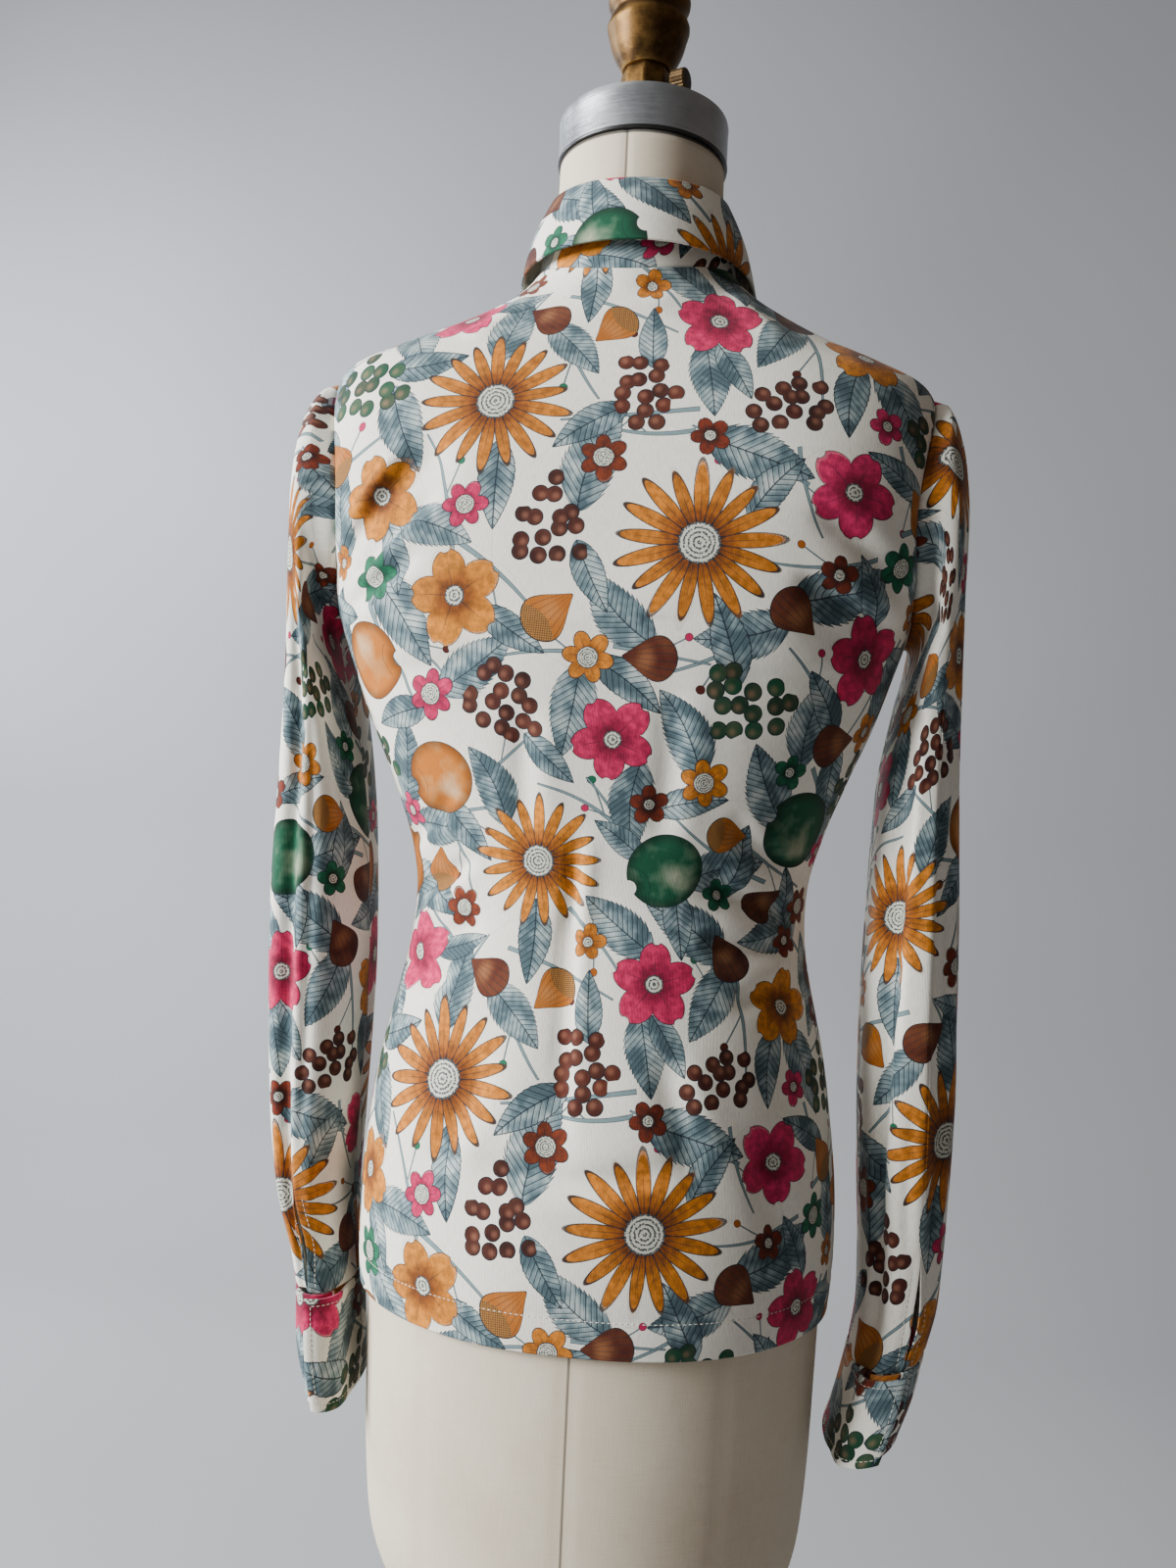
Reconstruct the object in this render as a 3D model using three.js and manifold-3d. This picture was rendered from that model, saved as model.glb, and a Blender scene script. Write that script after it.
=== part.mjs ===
// A buttoned shirt of printed jersey on a woman's dress form, with the form's stand.
// Millimetres, +Z up. The origin is on the floor, under the pole. The shirt's front faces -Y and
// its back +Y, so the wearer's left arm is at +X.
//
// The shirt is cut as a back, two fronts, two sleeves, two cuffs, a collar stand and a collar fall.
// Every piece is a thin wall between an outer surface and the same surface moved inwards. The
// surfaces are worked out from the tables of levels below, one row for each height or ring.
import * as THREE from "three";
import Module from "manifold-3d";
import { mergeVertices } from "three/addons/utils/BufferGeometryUtils.js";

const wasm = await Module();
wasm.setup();

const jersey = 1.5; // thickness of the jersey, with its turned edges
const standCloth = 1.3; // collar stand, pressed flat
const fallCloth = 1.4; // collar fall
const cuffCloth = 2; // cuff, two layers
const standGap = 1.4; // between the neckline and the collar stand, upwards
const armholeGap = 1; // between a sleeve's head and the armhole, outwards
const underarmHeight = 1192;
const shoulderHeight = 1347; // of the shoulder point, where the sleeve head starts
const necklineHeight = 1414; // at the side of the neck
const armholeTurn = THREE.MathUtils.degToRad(31); // half the armhole's width, as a turn from the side
const frontOverlap = 13; // each front past the centre line
const lapRise = 2.9; // right front over the left one
const lapRamp = 34; // width over which the right front rises onto the left one
const panelSeam = 0.0035; // turn left free at each side of a panel, about half a millimetre

// Shirt body, outside. at is the height at the side; back and front are depths from the middle;
// square is the exponent of the section's superellipse; dropBack and dropFront are how far the
// same ring lies lower at the centre back and front.
const shirtLevels = [
  { at: 795, half: 145, back: 116, front: 112, square: 2.15, dropBack: 0, dropFront: 0 },
  { at: 830, half: 147, back: 116.5, front: 111.5, square: 2.15, dropBack: 0, dropFront: 0 },
  { at: 870, half: 145.5, back: 114, front: 108, square: 2.15, dropBack: 0, dropFront: 0 },
  { at: 915, half: 140, back: 107, front: 103, square: 2.15, dropBack: 0, dropFront: 0 },
  { at: 955, half: 132.5, back: 97, front: 96.5, square: 2.15, dropBack: 0, dropFront: 0 },
  { at: 1000, half: 123, back: 86, front: 91, square: 2.2, dropBack: 0, dropFront: 0 },
  { at: 1038, half: 121, back: 80, front: 91, square: 2.2, dropBack: 0, dropFront: 0 },
  { at: 1072, half: 128.5, back: 83, front: 98, square: 2.3, dropBack: 0, dropFront: 0 },
  { at: 1105, half: 141, back: 89, front: 106, square: 2.4, dropBack: 0, dropFront: 0 },
  { at: 1140, half: 155.5, back: 96, front: 113, square: 2.5, dropBack: 0, dropFront: 0 },
  { at: 1165, half: 164, back: 100, front: 115, square: 2.6, dropBack: 0, dropFront: 0 },
  { at: 1192, half: 172, back: 102, front: 113, square: 2.8, dropBack: 0, dropFront: 0 },
  { at: 1225, half: 179, back: 101, front: 108, square: 2.9, dropBack: 0, dropFront: 0 },
  { at: 1262, half: 182.5, back: 97, front: 101, square: 3, dropBack: 0, dropFront: 0 },
  { at: 1300, half: 186, back: 89, front: 93, square: 2.9, dropBack: 0, dropFront: 0 },
  { at: 1325, half: 186.5, back: 82.5, front: 87.5, square: 2.7, dropBack: 1, dropFront: 2 },
  { at: 1347, half: 180, back: 76, front: 83, square: 2.5, dropBack: 3, dropFront: 12 },
  { at: 1360, half: 157, back: 72.5, front: 80, square: 2.35, dropBack: 6, dropFront: 22 },
  { at: 1377, half: 117, back: 68, front: 77, square: 2.2, dropBack: 9, dropFront: 35 },
  { at: 1393, half: 86, back: 65, front: 74.5, square: 2.1, dropBack: 12, dropFront: 47 },
  { at: 1405, half: 70, back: 63, front: 72, square: 2, dropBack: 14, dropFront: 56 },
  { at: 1414, half: 62, back: 61.5, front: 70, square: 2, dropBack: 16, dropFront: 62 },
];

// Dress form, in the same columns, from the rounded foot of its body to the top of the neck.
const formLevels = [
  { at: 598, half: 100, back: 78, front: 78, square: 2.1, dropBack: 0, dropFront: 0 },
  { at: 602, half: 108, back: 85, front: 85, square: 2.1, dropBack: 0, dropFront: 0 },
  { at: 609, half: 114.5, back: 91, front: 91, square: 2.1, dropBack: 0, dropFront: 0 },
  { at: 620, half: 122, back: 97, front: 97, square: 2.1, dropBack: 0, dropFront: 0 },
  { at: 636, half: 129, back: 103, front: 102, square: 2.1, dropBack: 0, dropFront: 0 },
  { at: 656, half: 133.5, back: 107, front: 105, square: 2.1, dropBack: 0, dropFront: 0 },
  { at: 700, half: 137, back: 110, front: 107, square: 2.1, dropBack: 0, dropFront: 0 },
  { at: 745, half: 138.5, back: 111, front: 107.5, square: 2.1, dropBack: 0, dropFront: 0 },
  { at: 795, half: 140, back: 111, front: 106.5, square: 2.1, dropBack: 0, dropFront: 0 },
  { at: 830, half: 141, back: 110.5, front: 105.5, square: 2.1, dropBack: 0, dropFront: 0 },
  { at: 870, half: 139.5, back: 108, front: 102, square: 2.1, dropBack: 0, dropFront: 0 },
  { at: 915, half: 134, back: 101, front: 97, square: 2.1, dropBack: 0, dropFront: 0 },
  { at: 955, half: 126.5, back: 91, front: 90.5, square: 2.1, dropBack: 0, dropFront: 0 },
  { at: 1000, half: 117.5, back: 80, front: 85, square: 2.1, dropBack: 0, dropFront: 0 },
  { at: 1038, half: 115.5, back: 74, front: 85, square: 2.1, dropBack: 0, dropFront: 0 },
  { at: 1072, half: 119.5, back: 77, front: 91, square: 2.15, dropBack: 0, dropFront: 0 },
  { at: 1105, half: 127, back: 83, front: 98, square: 2.2, dropBack: 0, dropFront: 0 },
  { at: 1140, half: 136, back: 89, front: 104, square: 2.2, dropBack: 0, dropFront: 0 },
  { at: 1165, half: 142, back: 93, front: 106, square: 2.25, dropBack: 0, dropFront: 0 },
  { at: 1192, half: 147, back: 95, front: 104, square: 2.3, dropBack: 0, dropFront: 0 },
  { at: 1225, half: 150, back: 94, front: 100, square: 2.4, dropBack: 0, dropFront: 0 },
  { at: 1262, half: 153, back: 89.5, front: 93, square: 2.5, dropBack: 0, dropFront: 0 },
  { at: 1300, half: 156, back: 81.5, front: 85, square: 2.5, dropBack: 0, dropFront: 0 },
  { at: 1325, half: 159, back: 75, front: 79.5, square: 2.4, dropBack: 1, dropFront: 2 },
  { at: 1343, half: 155, back: 70, front: 76, square: 2.3, dropBack: 4, dropFront: 11 },
  { at: 1353.7, half: 147, back: 67.5, front: 74, square: 2.25, dropBack: 6, dropFront: 18 },
  { at: 1361.9, half: 137, back: 65.5, front: 72.5, square: 2.2, dropBack: 8, dropFront: 24 },
  { at: 1371.9, half: 116, back: 63, front: 70.5, square: 2.1, dropBack: 10, dropFront: 32 },
  { at: 1381.9, half: 98, back: 60.5, front: 68.5, square: 2.05, dropBack: 11.5, dropFront: 39 },
  { at: 1389.9, half: 85.5, back: 58.5, front: 66.5, square: 2, dropBack: 13, dropFront: 44 },
  { at: 1396.8, half: 76, back: 56.5, front: 64.5, square: 2, dropBack: 14, dropFront: 48 },
  { at: 1403, half: 66, back: 55, front: 62.5, square: 2, dropBack: 14.5, dropFront: 50.5 },
  { at: 1410, half: 59, back: 53.8, front: 60.5, square: 2, dropBack: 14, dropFront: 51 },
  { at: 1424, half: 53, back: 52, front: 56.5, square: 2, dropBack: 11, dropFront: 40 },
  { at: 1442, half: 51.8, back: 51.2, front: 53, square: 2, dropBack: 6, dropFront: 22 },
  { at: 1464, half: 51.4, back: 51, front: 51.5, square: 2, dropBack: 2, dropFront: 6 },
  { at: 1483.7, half: 51.2, back: 51.2, front: 51.2, square: 2, dropBack: 0, dropFront: 0 },
];

const shoulderLean = 0.023; // the shirt sits a little higher on the left shoulder than on the right
const leanFrom = { height: 1230, rise: 90, side: 62, reach: 60 }; // where the lean starts, upwards and sideways
const troughFade = 40; // the back's troughs fade out over this depth from the side
const bust = { apart: 76, height: 1168, wide: 46, tall: 48, shirtRise: 11, formRise: 12.5 };

// Broad soft troughs in the back panel: from one end to the other, in x and z.
const backTroughs = [
  { x0: 108, z0: 1278, x1: 164, z1: 1226, wide: 15, deep: 7 },
  { x0: -122, z0: 1196, x1: -166, z1: 1168, wide: 15, deep: 5 },
  { x0: 16, z0: 1010, x1: 16, z1: 905, wide: 13, deep: 2.6 },
  { x0: -66, z0: 1046, x1: -112, z1: 1022, wide: 12, deep: 3 },
  { x0: 74, z0: 1010, x1: 116, z1: 968, wide: 12, deep: 3 },
];

// Sleeve rings. Each lies in the plane of the Y direction and the line from its inner point, next
// to the body, to its outer point. The first row is the armhole. The two sleeves hang differently.
const leftSleeveRings = [
  { innerX: 172, innerZ: 1192, outerX: 180, outerZ: 1347, middleY: 0, back: 53, front: 54, square: 2.2 },
  { innerX: 177, innerZ: 1190, outerX: 192, outerZ: 1345, middleY: 0, back: 56, front: 56, square: 2.2 },
  { innerX: 180, innerZ: 1185, outerX: 201, outerZ: 1331, middleY: 0, back: 57, front: 57, square: 2.2 },
  { innerX: 179.5, innerZ: 1176, outerX: 206, outerZ: 1305, middleY: 0, back: 57, front: 57, square: 2.2 },
  { innerX: 176, innerZ: 1162, outerX: 207.5, outerZ: 1268, middleY: 0, back: 56, front: 57, square: 2.3 },
  { innerX: 170, innerZ: 1142, outerX: 207.5, outerZ: 1222, middleY: 1, back: 55, front: 56, square: 2.3 },
  { innerX: 163, innerZ: 1112, outerX: 208, outerZ: 1166, middleY: 1, back: 53, front: 54, square: 2.4 },
  { innerX: 156.5, innerZ: 1072, outerX: 209.5, outerZ: 1104, middleY: 2, back: 51, front: 52, square: 2.4 },
  { innerX: 153, innerZ: 1026, outerX: 211.5, outerZ: 1040, middleY: 3, back: 49, front: 50, square: 2.4 },
  { innerX: 151, innerZ: 976, outerX: 211.5, outerZ: 980, middleY: 4, back: 47, front: 48, square: 2.4 },
  { innerX: 151, innerZ: 926, outerX: 208.5, outerZ: 926, middleY: 6, back: 45, front: 46, square: 2.4 },
  { innerX: 152, innerZ: 876, outerX: 203.5, outerZ: 876, middleY: 8, back: 44, front: 45, square: 2.3 },
  { innerX: 153, innerZ: 838, outerX: 196, outerZ: 838, middleY: 10, back: 42, front: 43, square: 2.3 },
  { innerX: 151, innerZ: 808, outerX: 186, outerZ: 808, middleY: 12, back: 40, front: 41, square: 2.2 },
  { innerX: 147, innerZ: 787, outerX: 181, outerZ: 787, middleY: 14, back: 38, front: 39, square: 2.2 },
];
const rightSleeveRings = [
  { innerX: 172, innerZ: 1192, outerX: 180, outerZ: 1347, middleY: 0, back: 53, front: 54, square: 2.2 },
  { innerX: 176, innerZ: 1190, outerX: 190.5, outerZ: 1337, middleY: 0, back: 56, front: 56, square: 2.2 },
  { innerX: 178, innerZ: 1185, outerX: 197, outerZ: 1323, middleY: 0, back: 57, front: 57, square: 2.2 },
  { innerX: 177, innerZ: 1176, outerX: 202.5, outerZ: 1300, middleY: 0, back: 57, front: 57, square: 2.2 },
  { innerX: 173.5, innerZ: 1161, outerX: 205.5, outerZ: 1266, middleY: 0, back: 56, front: 57, square: 2.3 },
  { innerX: 168, innerZ: 1140, outerX: 205.5, outerZ: 1220, middleY: -1, back: 55, front: 56, square: 2.3 },
  { innerX: 162.5, innerZ: 1110, outerX: 206.5, outerZ: 1164, middleY: -2, back: 53, front: 54, square: 2.4 },
  { innerX: 160, innerZ: 1072, outerX: 208.5, outerZ: 1102, middleY: -2, back: 51, front: 52, square: 2.5 },
  { innerX: 158.5, innerZ: 1024, outerX: 211, outerZ: 1038, middleY: -2, back: 49, front: 50, square: 2.5 },
  { innerX: 157.5, innerZ: 974, outerX: 213, outerZ: 978, middleY: -1, back: 47, front: 48, square: 2.5 },
  { innerX: 158, innerZ: 924, outerX: 214, outerZ: 924, middleY: 0, back: 45, front: 46, square: 2.5 },
  { innerX: 159.5, innerZ: 876, outerX: 212.5, outerZ: 876, middleY: 2, back: 44, front: 45, square: 2.4 },
  { innerX: 161.5, innerZ: 832, outerX: 210, outerZ: 834, middleY: 5, back: 42, front: 43, square: 2.3 },
  { innerX: 161.5, innerZ: 796, outerX: 207, outerZ: 801, middleY: 8, back: 40, front: 41, square: 2.2 },
  { innerX: 158, innerZ: 767, outerX: 200.5, outerZ: 777, middleY: 10, back: 38, front: 39, square: 2.2 },
];

// Long folds down the sleeves: ring is counted from the armhole, turn is in degrees round the ring,
// 0 at its outer point and 90 at the back. A fold runs from one ring and turn to another.
const leftSleeveFolds = [
  { ring0: 5.6, turn0: 76, ring1: 13.4, turn1: 66, wide: 12, deep: 8 },
  { ring0: 2.2, turn0: 128, ring1: 6.4, turn1: 150, wide: 15, deep: 9 },
  { ring0: 8, turn0: 246, ring1: 13, turn1: 262, wide: 14, deep: 7 },
  { ring0: 5, turn0: 305, ring1: 11, turn1: 292, wide: 14, deep: 6 },
];
const rightSleeveFolds = [
  { ring0: 4.8, turn0: 126, ring1: 12.6, turn1: 132, wide: 13, deep: 8 },
  { ring0: 3.4, turn0: 52, ring1: 11, turn1: 58, wide: 11, deep: 5 },
  { ring0: 8, turn0: 244, ring1: 13, turn1: 258, wide: 14, deep: 7 },
  { ring0: 5, turn0: 300, ring1: 11, turn1: 288, wide: 14, deep: 6 },
];

// Cuffs, from the seam with the sleeve to the free edge, in the columns of the sleeve rings.
const leftCuffRings = [
  { innerX: 146.6, innerZ: 786.2, outerX: 181.5, outerZ: 786.2, middleY: 14, back: 38.5, front: 39.5, square: 2.2 },
  { innerX: 144.2, innerZ: 752, outerX: 179.5, outerZ: 752, middleY: 14, back: 39, front: 40, square: 2.2 },
  { innerX: 142.6, innerZ: 719, outerX: 170.5, outerZ: 722, middleY: 14, back: 39, front: 40, square: 2.2 },
];
const rightCuffRings = [
  { innerX: 157.6, innerZ: 766.2, outerX: 201, outerZ: 776.2, middleY: 10, back: 38.5, front: 39.5, square: 2.2 },
  { innerX: 152, innerZ: 741, outerX: 196, outerZ: 752, middleY: 10, back: 39, front: 40, square: 2.2 },
  { innerX: 145, innerZ: 715, outerX: 187, outerZ: 727, middleY: 10, back: 39, front: 40, square: 2.2 },
];
const cuffLap = THREE.MathUtils.degToRad(48); // how far the cuff's ends pass over each other
const cuffLapRise = 6.6; // the upper end stands off the lower one, which carries the button
const cuffButtonWalk = cuffLap * 0.76; // from the lower end to its button
const cuffEdge = { left: 84, right: 75 }; // turn of the upper end's edge, in degrees
const slit = { tall: 66, reach: 34, widest: 0.42 }; // opening up into the sleeve from the cuff
const slitWidth = { left: 9, right: 4 };

// Collar. The stand rises from the neckline to its top; the fall turns over it and hangs outwards.
const standTop = { at: 1455.5, half: 54.4, back: 54, front: 60, square: 2, dropBack: 4, dropFront: 61 };
const standLap = 13;
const standLapFrom = { along: 0.86, over: 0.06 }; // the way round where the upper end starts to rise
const fallRoll = [
  { out: -1.2, up: 2.5 },
  { out: 0.4, up: 2.8 },
  { out: 2.2, up: 1.5 },
];
// Lower edge of the fall. fold is the turn from the centre back along the fold, in degrees, edge
// the turn of the edge point that belongs to it, and reach and height place that point.
const fallEdge = [
  { fold: 0, edge: 0, reach: 70, height: 1411.5 },
  { fold: 45, edge: 45, reach: 70.5, height: 1411.5 },
  { fold: 70, edge: 69, reach: 72, height: 1410.5 },
  { fold: 90, edge: 88, reach: 73.5, height: 1408.5 },
  { fold: 128, edge: 116, reach: 84, height: 1391 },
  { fold: 155, edge: 136, reach: 96, height: 1366 },
  { fold: 174, edge: 149, reach: 101, height: 1346 },
];
const fallBulge = 2.5;
const fallClear = { from: 130, over: 14 }; // turn in degrees where the fall clears the stand's upper end

const button = { radius: 5.6, cuffRadius: 4.2, thick: 2.2, rim: 1.3 };
const shank = { radius: 2, tall: 0.9, gap: 0.35 }; // under a button, down to the cloth
const frontButtonHeights = [1322, 1252, 1182, 1112, 1042, 972, 902];

const neckCap = { radius: 53, low: 1484, high: 1512, dome: 3 };
const finial = { stemRadius: 16.6, stemTop: 1553, sides: 8 };
const thumbScrew = { radius: 7.2, head: 9.5, shank: 3, height: 1536, gap: 0.4 };
const pole = { radius: 12.7, low: 34.4, high: 597.6 };
const base = { radius: 235, rim: 9, shoulder: 16, hubRadius: 34, hubTop: 34 };
const cageRods = { count: 8, radius: 2.6, half: 118.5, depth: 92, low: 392.4 };
const cageHoop = { radius: 3, height: 389, half: 118.5, depth: 92 };

const colours = {
  print: { color: 0xe4e0d4, roughness: 0.85 },
  linen: { color: 0xcbc2ae, roughness: 0.9 },
  steel: { color: 0xb4b7bb, roughness: 0.32, metalness: 1 },
  bronze: { color: 0x7d6239, roughness: 0.45, metalness: 1 },
  iron: { color: 0x1d1e20, roughness: 0.5, metalness: 0.7 },
  shell: { color: 0xe9e4d8, roughness: 0.3 },
};

const shirt = new THREE.Group();
shirt.name = "shirt";
const dressForm = new THREE.Group();
dressForm.name = "dress_form";

/** Value of one column of a table at a position, on a smooth curve through its rows. */
function column(rows, key, name, position) {
  const last = rows.length - 2;
  let i = rows.findIndex((row) => row[key] > position) - 1;
  if (i < 0) i = position < rows[0][key] ? 0 : last;
  const [p0, p1] = [rows[i], rows[i + 1]];
  const before = rows[Math.max(0, i - 1)];
  const after = rows[Math.min(rows.length - 1, i + 2)];
  const span = p1[key] - p0[key];
  const t = THREE.MathUtils.clamp((position - p0[key]) / span, 0, 1);
  const slope0 = ((p1[name] - before[name]) / (p1[key] - before[key])) * span;
  const slope1 = ((after[name] - p0[name]) / (after[key] - p0[key])) * span;
  const t2 = t * t;
  const t3 = t2 * t;
  return (
    (2 * t3 - 3 * t2 + 1) * p0[name] +
    (t3 - 2 * t2 + t) * slope0 +
    (3 * t2 - 2 * t3) * p1[name] +
    (t3 - t2) * slope1
  );
}

/** A whole row of a table at a position. */
function rowAt(rows, key, position) {
  const made = {};
  for (const name of Object.keys(rows[0])) {
    made[name] = name === key ? position : column(rows, key, name, position);
  }
  return made;
}

/** The factor that turns an ellipse's point into a superellipse's. */
function squared(turn, square) {
  const c = Math.abs(Math.cos(turn));
  const s = Math.abs(Math.sin(turn));
  return (c ** square + s ** square) ** (-1 / square);
}

const bell = (value) => Math.exp(-value * value);

/** Smooth step from 0 to 1. */
function ease(value) {
  const t = THREE.MathUtils.clamp(value, 0, 1);
  return t * t * (3 - 2 * t);
}

/** Point on the ring of one level; turn 0 is at +X and 90 degrees at the back. */
function ringPoint(level, turn) {
  const c = Math.cos(turn);
  const s = Math.sin(turn);
  const f = squared(turn, level.square);
  const depth = s >= 0 ? level.back : level.front;
  const drop = s >= 0 ? level.dropBack : level.dropFront;
  return new THREE.Vector3(level.half * c * f, depth * s * f, level.at - drop * s * s);
}

/** How much the bust moves the front out at a point. */
function bustRise(point, rise) {
  if (point.y >= 0) return 0;
  const across = bell((Math.abs(point.x) - bust.apart) / bust.wide);
  return rise * across * bell((point.z - bust.height) / bust.tall);
}

/** Distance from a point to a segment, in two columns. */
function fromSegment(x, z, f) {
  const dx = f.x1 - f.x0;
  const dz = f.z1 - f.z0;
  const along = ((x - f.x0) * dx + (z - f.z0) * dz) / (dx * dx + dz * dz);
  const t = THREE.MathUtils.clamp(along, 0, 1);
  return Math.hypot(x - f.x0 - t * dx, z - f.z0 - t * dz);
}

/** Depth of the troughs in the back at a point. */
function troughDepth(x, z) {
  return backTroughs.reduce((sum, f) => sum + f.deep * bell(fromSegment(x, z, f) / f.wide), 0);
}

/** Point on the ring of one level of the shirt, with its lean at the shoulders. */
function shirtRing(level, turn) {
  const p = ringPoint(level, turn);
  const high = ease((p.z - leanFrom.height) / leanFrom.rise);
  p.z += shoulderLean * p.x * high * ease((Math.abs(p.x) - leanFrom.side) / leanFrom.reach);
  return p;
}

/** Outer surface of the shirt's body. lap is 1 where the right front lies over the left one. */
function shirtPoint(height, turn, lap = 0) {
  const p = shirtRing(rowAt(shirtLevels, "at", height), turn);
  p.y -= bustRise(p, bust.shirtRise);
  if (p.y > 0) p.y -= troughDepth(p.x, p.z) * ease(p.y / troughFade);
  if (lap) p.y -= lapRise * ease((p.x + frontOverlap + lapRamp) / lapRamp);
  return p;
}

/** Outer surface of the dress form. */
function formPoint(height, turn) {
  const p = ringPoint(rowAt(formLevels, "at", height), turn);
  p.y -= bustRise(p, bust.formRise);
  return p;
}

/** How far the armhole cuts into a panel at a height, as a turn from the side. */
function armholeCut(height) {
  const middle = (underarmHeight + shoulderHeight) / 2;
  const reach = (shoulderHeight - underarmHeight) / 2;
  const t = (height - middle) / reach;
  return Math.abs(t) >= 1 ? 0 : armholeTurn * Math.sqrt(1 - t * t);
}

/** Outward normal of a surface at a place, from close neighbours. */
function normalOf(surface, u, v, du, dv) {
  const alongU = surface(u + du, v).sub(surface(u - du, v));
  const alongV = surface(u, v + dv).sub(surface(u, v - dv));
  return alongU.cross(alongV).normalize();
}

/** A closed wall between two grids of points; the grid may close on itself along its rows. */
function wallGeometry(outer, inner, closed) {
  const rows = outer.length;
  const cols = outer[0].length;
  const across = closed ? cols : cols - 1;
  const faces = [];
  const quad = (a, b, c, d) => faces.push(a, b, c, a, c, d);
  for (let i = 0; i < rows - 1; i++) {
    for (let j = 0; j < across; j++) {
      const k = (j + 1) % cols;
      quad(outer[i][j], outer[i][k], outer[i + 1][k], outer[i + 1][j]);
      quad(inner[i][k], inner[i][j], inner[i + 1][j], inner[i + 1][k]);
    }
  }
  for (let j = 0; j < across; j++) {
    const k = (j + 1) % cols;
    quad(inner[0][j], inner[0][k], outer[0][k], outer[0][j]);
    quad(outer[rows - 1][j], outer[rows - 1][k], inner[rows - 1][k], inner[rows - 1][j]);
  }
  if (!closed) {
    for (let i = 0; i < rows - 1; i++) {
      const end = cols - 1;
      quad(inner[i][0], outer[i][0], outer[i + 1][0], inner[i + 1][0]);
      quad(outer[i][end], inner[i][end], inner[i + 1][end], outer[i + 1][end]);
    }
  }
  return new THREE.BufferGeometry().setFromPoints(faces);
}

/** Wall of a surface(row, place): rows and places are lists, and thick is taken off inwards. */
function shell(surface, rows, placesOf, thick, closed, du = 0.5, dv = 0.004) {
  const outer = rows.map((row) => placesOf(row).map((place) => surface(row, place)));
  const inner = rows.map((row, i) =>
    placesOf(row).map((place, j) => {
      const n = normalOf((v, u) => surface(u, v), place, row, dv, du);
      return outer[i][j].clone().addScaledVector(n, -thick);
    }),
  );
  return wallGeometry(outer, inner, closed);
}

/** A three.js geometry as a manifold solid. */
function solidOf(geometry) {
  const bare = geometry.index ? geometry.toNonIndexed() : geometry.clone();
  bare.deleteAttribute("normal");
  bare.deleteAttribute("uv");
  const merged = mergeVertices(bare, 1e-3);
  return new wasm.Manifold(
    new wasm.Mesh({
      numProp: 3,
      vertProperties: merged.attributes.position.array,
      triVerts: new Uint32Array(merged.index.array),
    }),
  );
}

/** A manifold solid as a three.js geometry. */
function geometryOf(solid) {
  const mesh = solid.getMesh();
  const made = new THREE.BufferGeometry();
  made.setAttribute("position", new THREE.BufferAttribute(mesh.vertProperties, 3));
  made.setIndex(new THREE.BufferAttribute(mesh.triVerts, 1));
  return made;
}

/** Adds a named mesh to a group. */
function addPiece(group, name, geometry, finish) {
  const mesh = new THREE.Mesh(geometry, new THREE.MeshStandardMaterial(finish));
  mesh.name = name;
  group.add(mesh);
  return mesh;
}

/** Evenly spaced numbers from one value to another. */
function spaced(from, to, count) {
  return Array.from({ length: count + 1 }, (_, i) => from + ((to - from) * i) / count);
}

// Heights of the panels' rows, closer round the armhole's ends and over the shoulder.
const panelRows = [
  795, 850, 910, 960, 1005, 1038, 1072, 1105, 1140, 1170, 1192, 1198, 1216, 1245, 1275, 1305, 1330,
  1343, 1347, 1358, 1372, 1386, 1400, 1414,
];

/** Back panel, from side seam to side seam and up to the neckline. */
function makeBack() {
  const places = (height) => {
    const cut = armholeCut(height) + panelSeam;
    return spaced(cut, Math.PI - cut, 18);
  };
  return shell((h, t) => shirtPoint(h, t), panelRows, places, jersey, false);
}

/** One front; the right one, at -X, laps over the left one. */
function makeFront(isLeft) {
  const middle = isLeft ? -Math.PI / 2 : (3 * Math.PI) / 2;
  const places = (height) => {
    const lap = Math.asin(frontOverlap / rowAt(shirtLevels, "at", height).half);
    const cut = armholeCut(height) + panelSeam;
    return isLeft ? spaced(middle - lap, -cut, 11) : spaced(Math.PI + cut, middle + lap, 11);
  };
  return shell((h, t) => shirtPoint(h, t, isLeft ? 0 : 1), panelRows, places, jersey, false);
}

/** Depth of a sleeve's folds at a ring and turn. */
function sleeveFoldDepth(folds, ring, turn) {
  const degrees = THREE.MathUtils.radToDeg(turn);
  let sum = 0;
  for (const f of folds) {
    const t = (ring - f.ring0) / (f.ring1 - f.ring0);
    if (t < -0.3 || t > 1.3) continue;
    const fade = ease((t + 0.3) / 0.4) * ease((1.3 - t) / 0.4);
    const at = f.turn0 + (f.turn1 - f.turn0) * THREE.MathUtils.clamp(t, 0, 1);
    const off = ((((degrees - at) % 360) + 540) % 360) - 180;
    sum += f.deep * fade * bell(off / f.wide);
  }
  return sum;
}

/** Point on a sleeve or cuff ring; side is 1 at the left arm and -1 at the right one. */
function armPoint(rings, folds, ring, turn, side) {
  const row = rowAt(rings, "ring", ring);
  const c = Math.cos(turn);
  const s = Math.sin(turn);
  const f = squared(turn, row.square);
  const x = (row.innerX + row.outerX) / 2 + ((row.outerX - row.innerX) / 2) * c * f;
  const z = (row.innerZ + row.outerZ) / 2 + ((row.outerZ - row.innerZ) / 2) * c * f;
  const y = row.middleY + (s >= 0 ? row.back : row.front) * s * f;
  const p = new THREE.Vector3(x, y, z);
  const middle = new THREE.Vector3(
    (row.innerX + row.outerX) / 2,
    row.middleY,
    (row.innerZ + row.outerZ) / 2,
  );
  const inwards = middle.sub(p).normalize();
  p.addScaledVector(inwards, sleeveFoldDepth(folds, ring, turn));
  p.x *= side;
  return p;
}

const numbered = (rings) => rings.map((row, ring) => ({ ring, ...row }));

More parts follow.
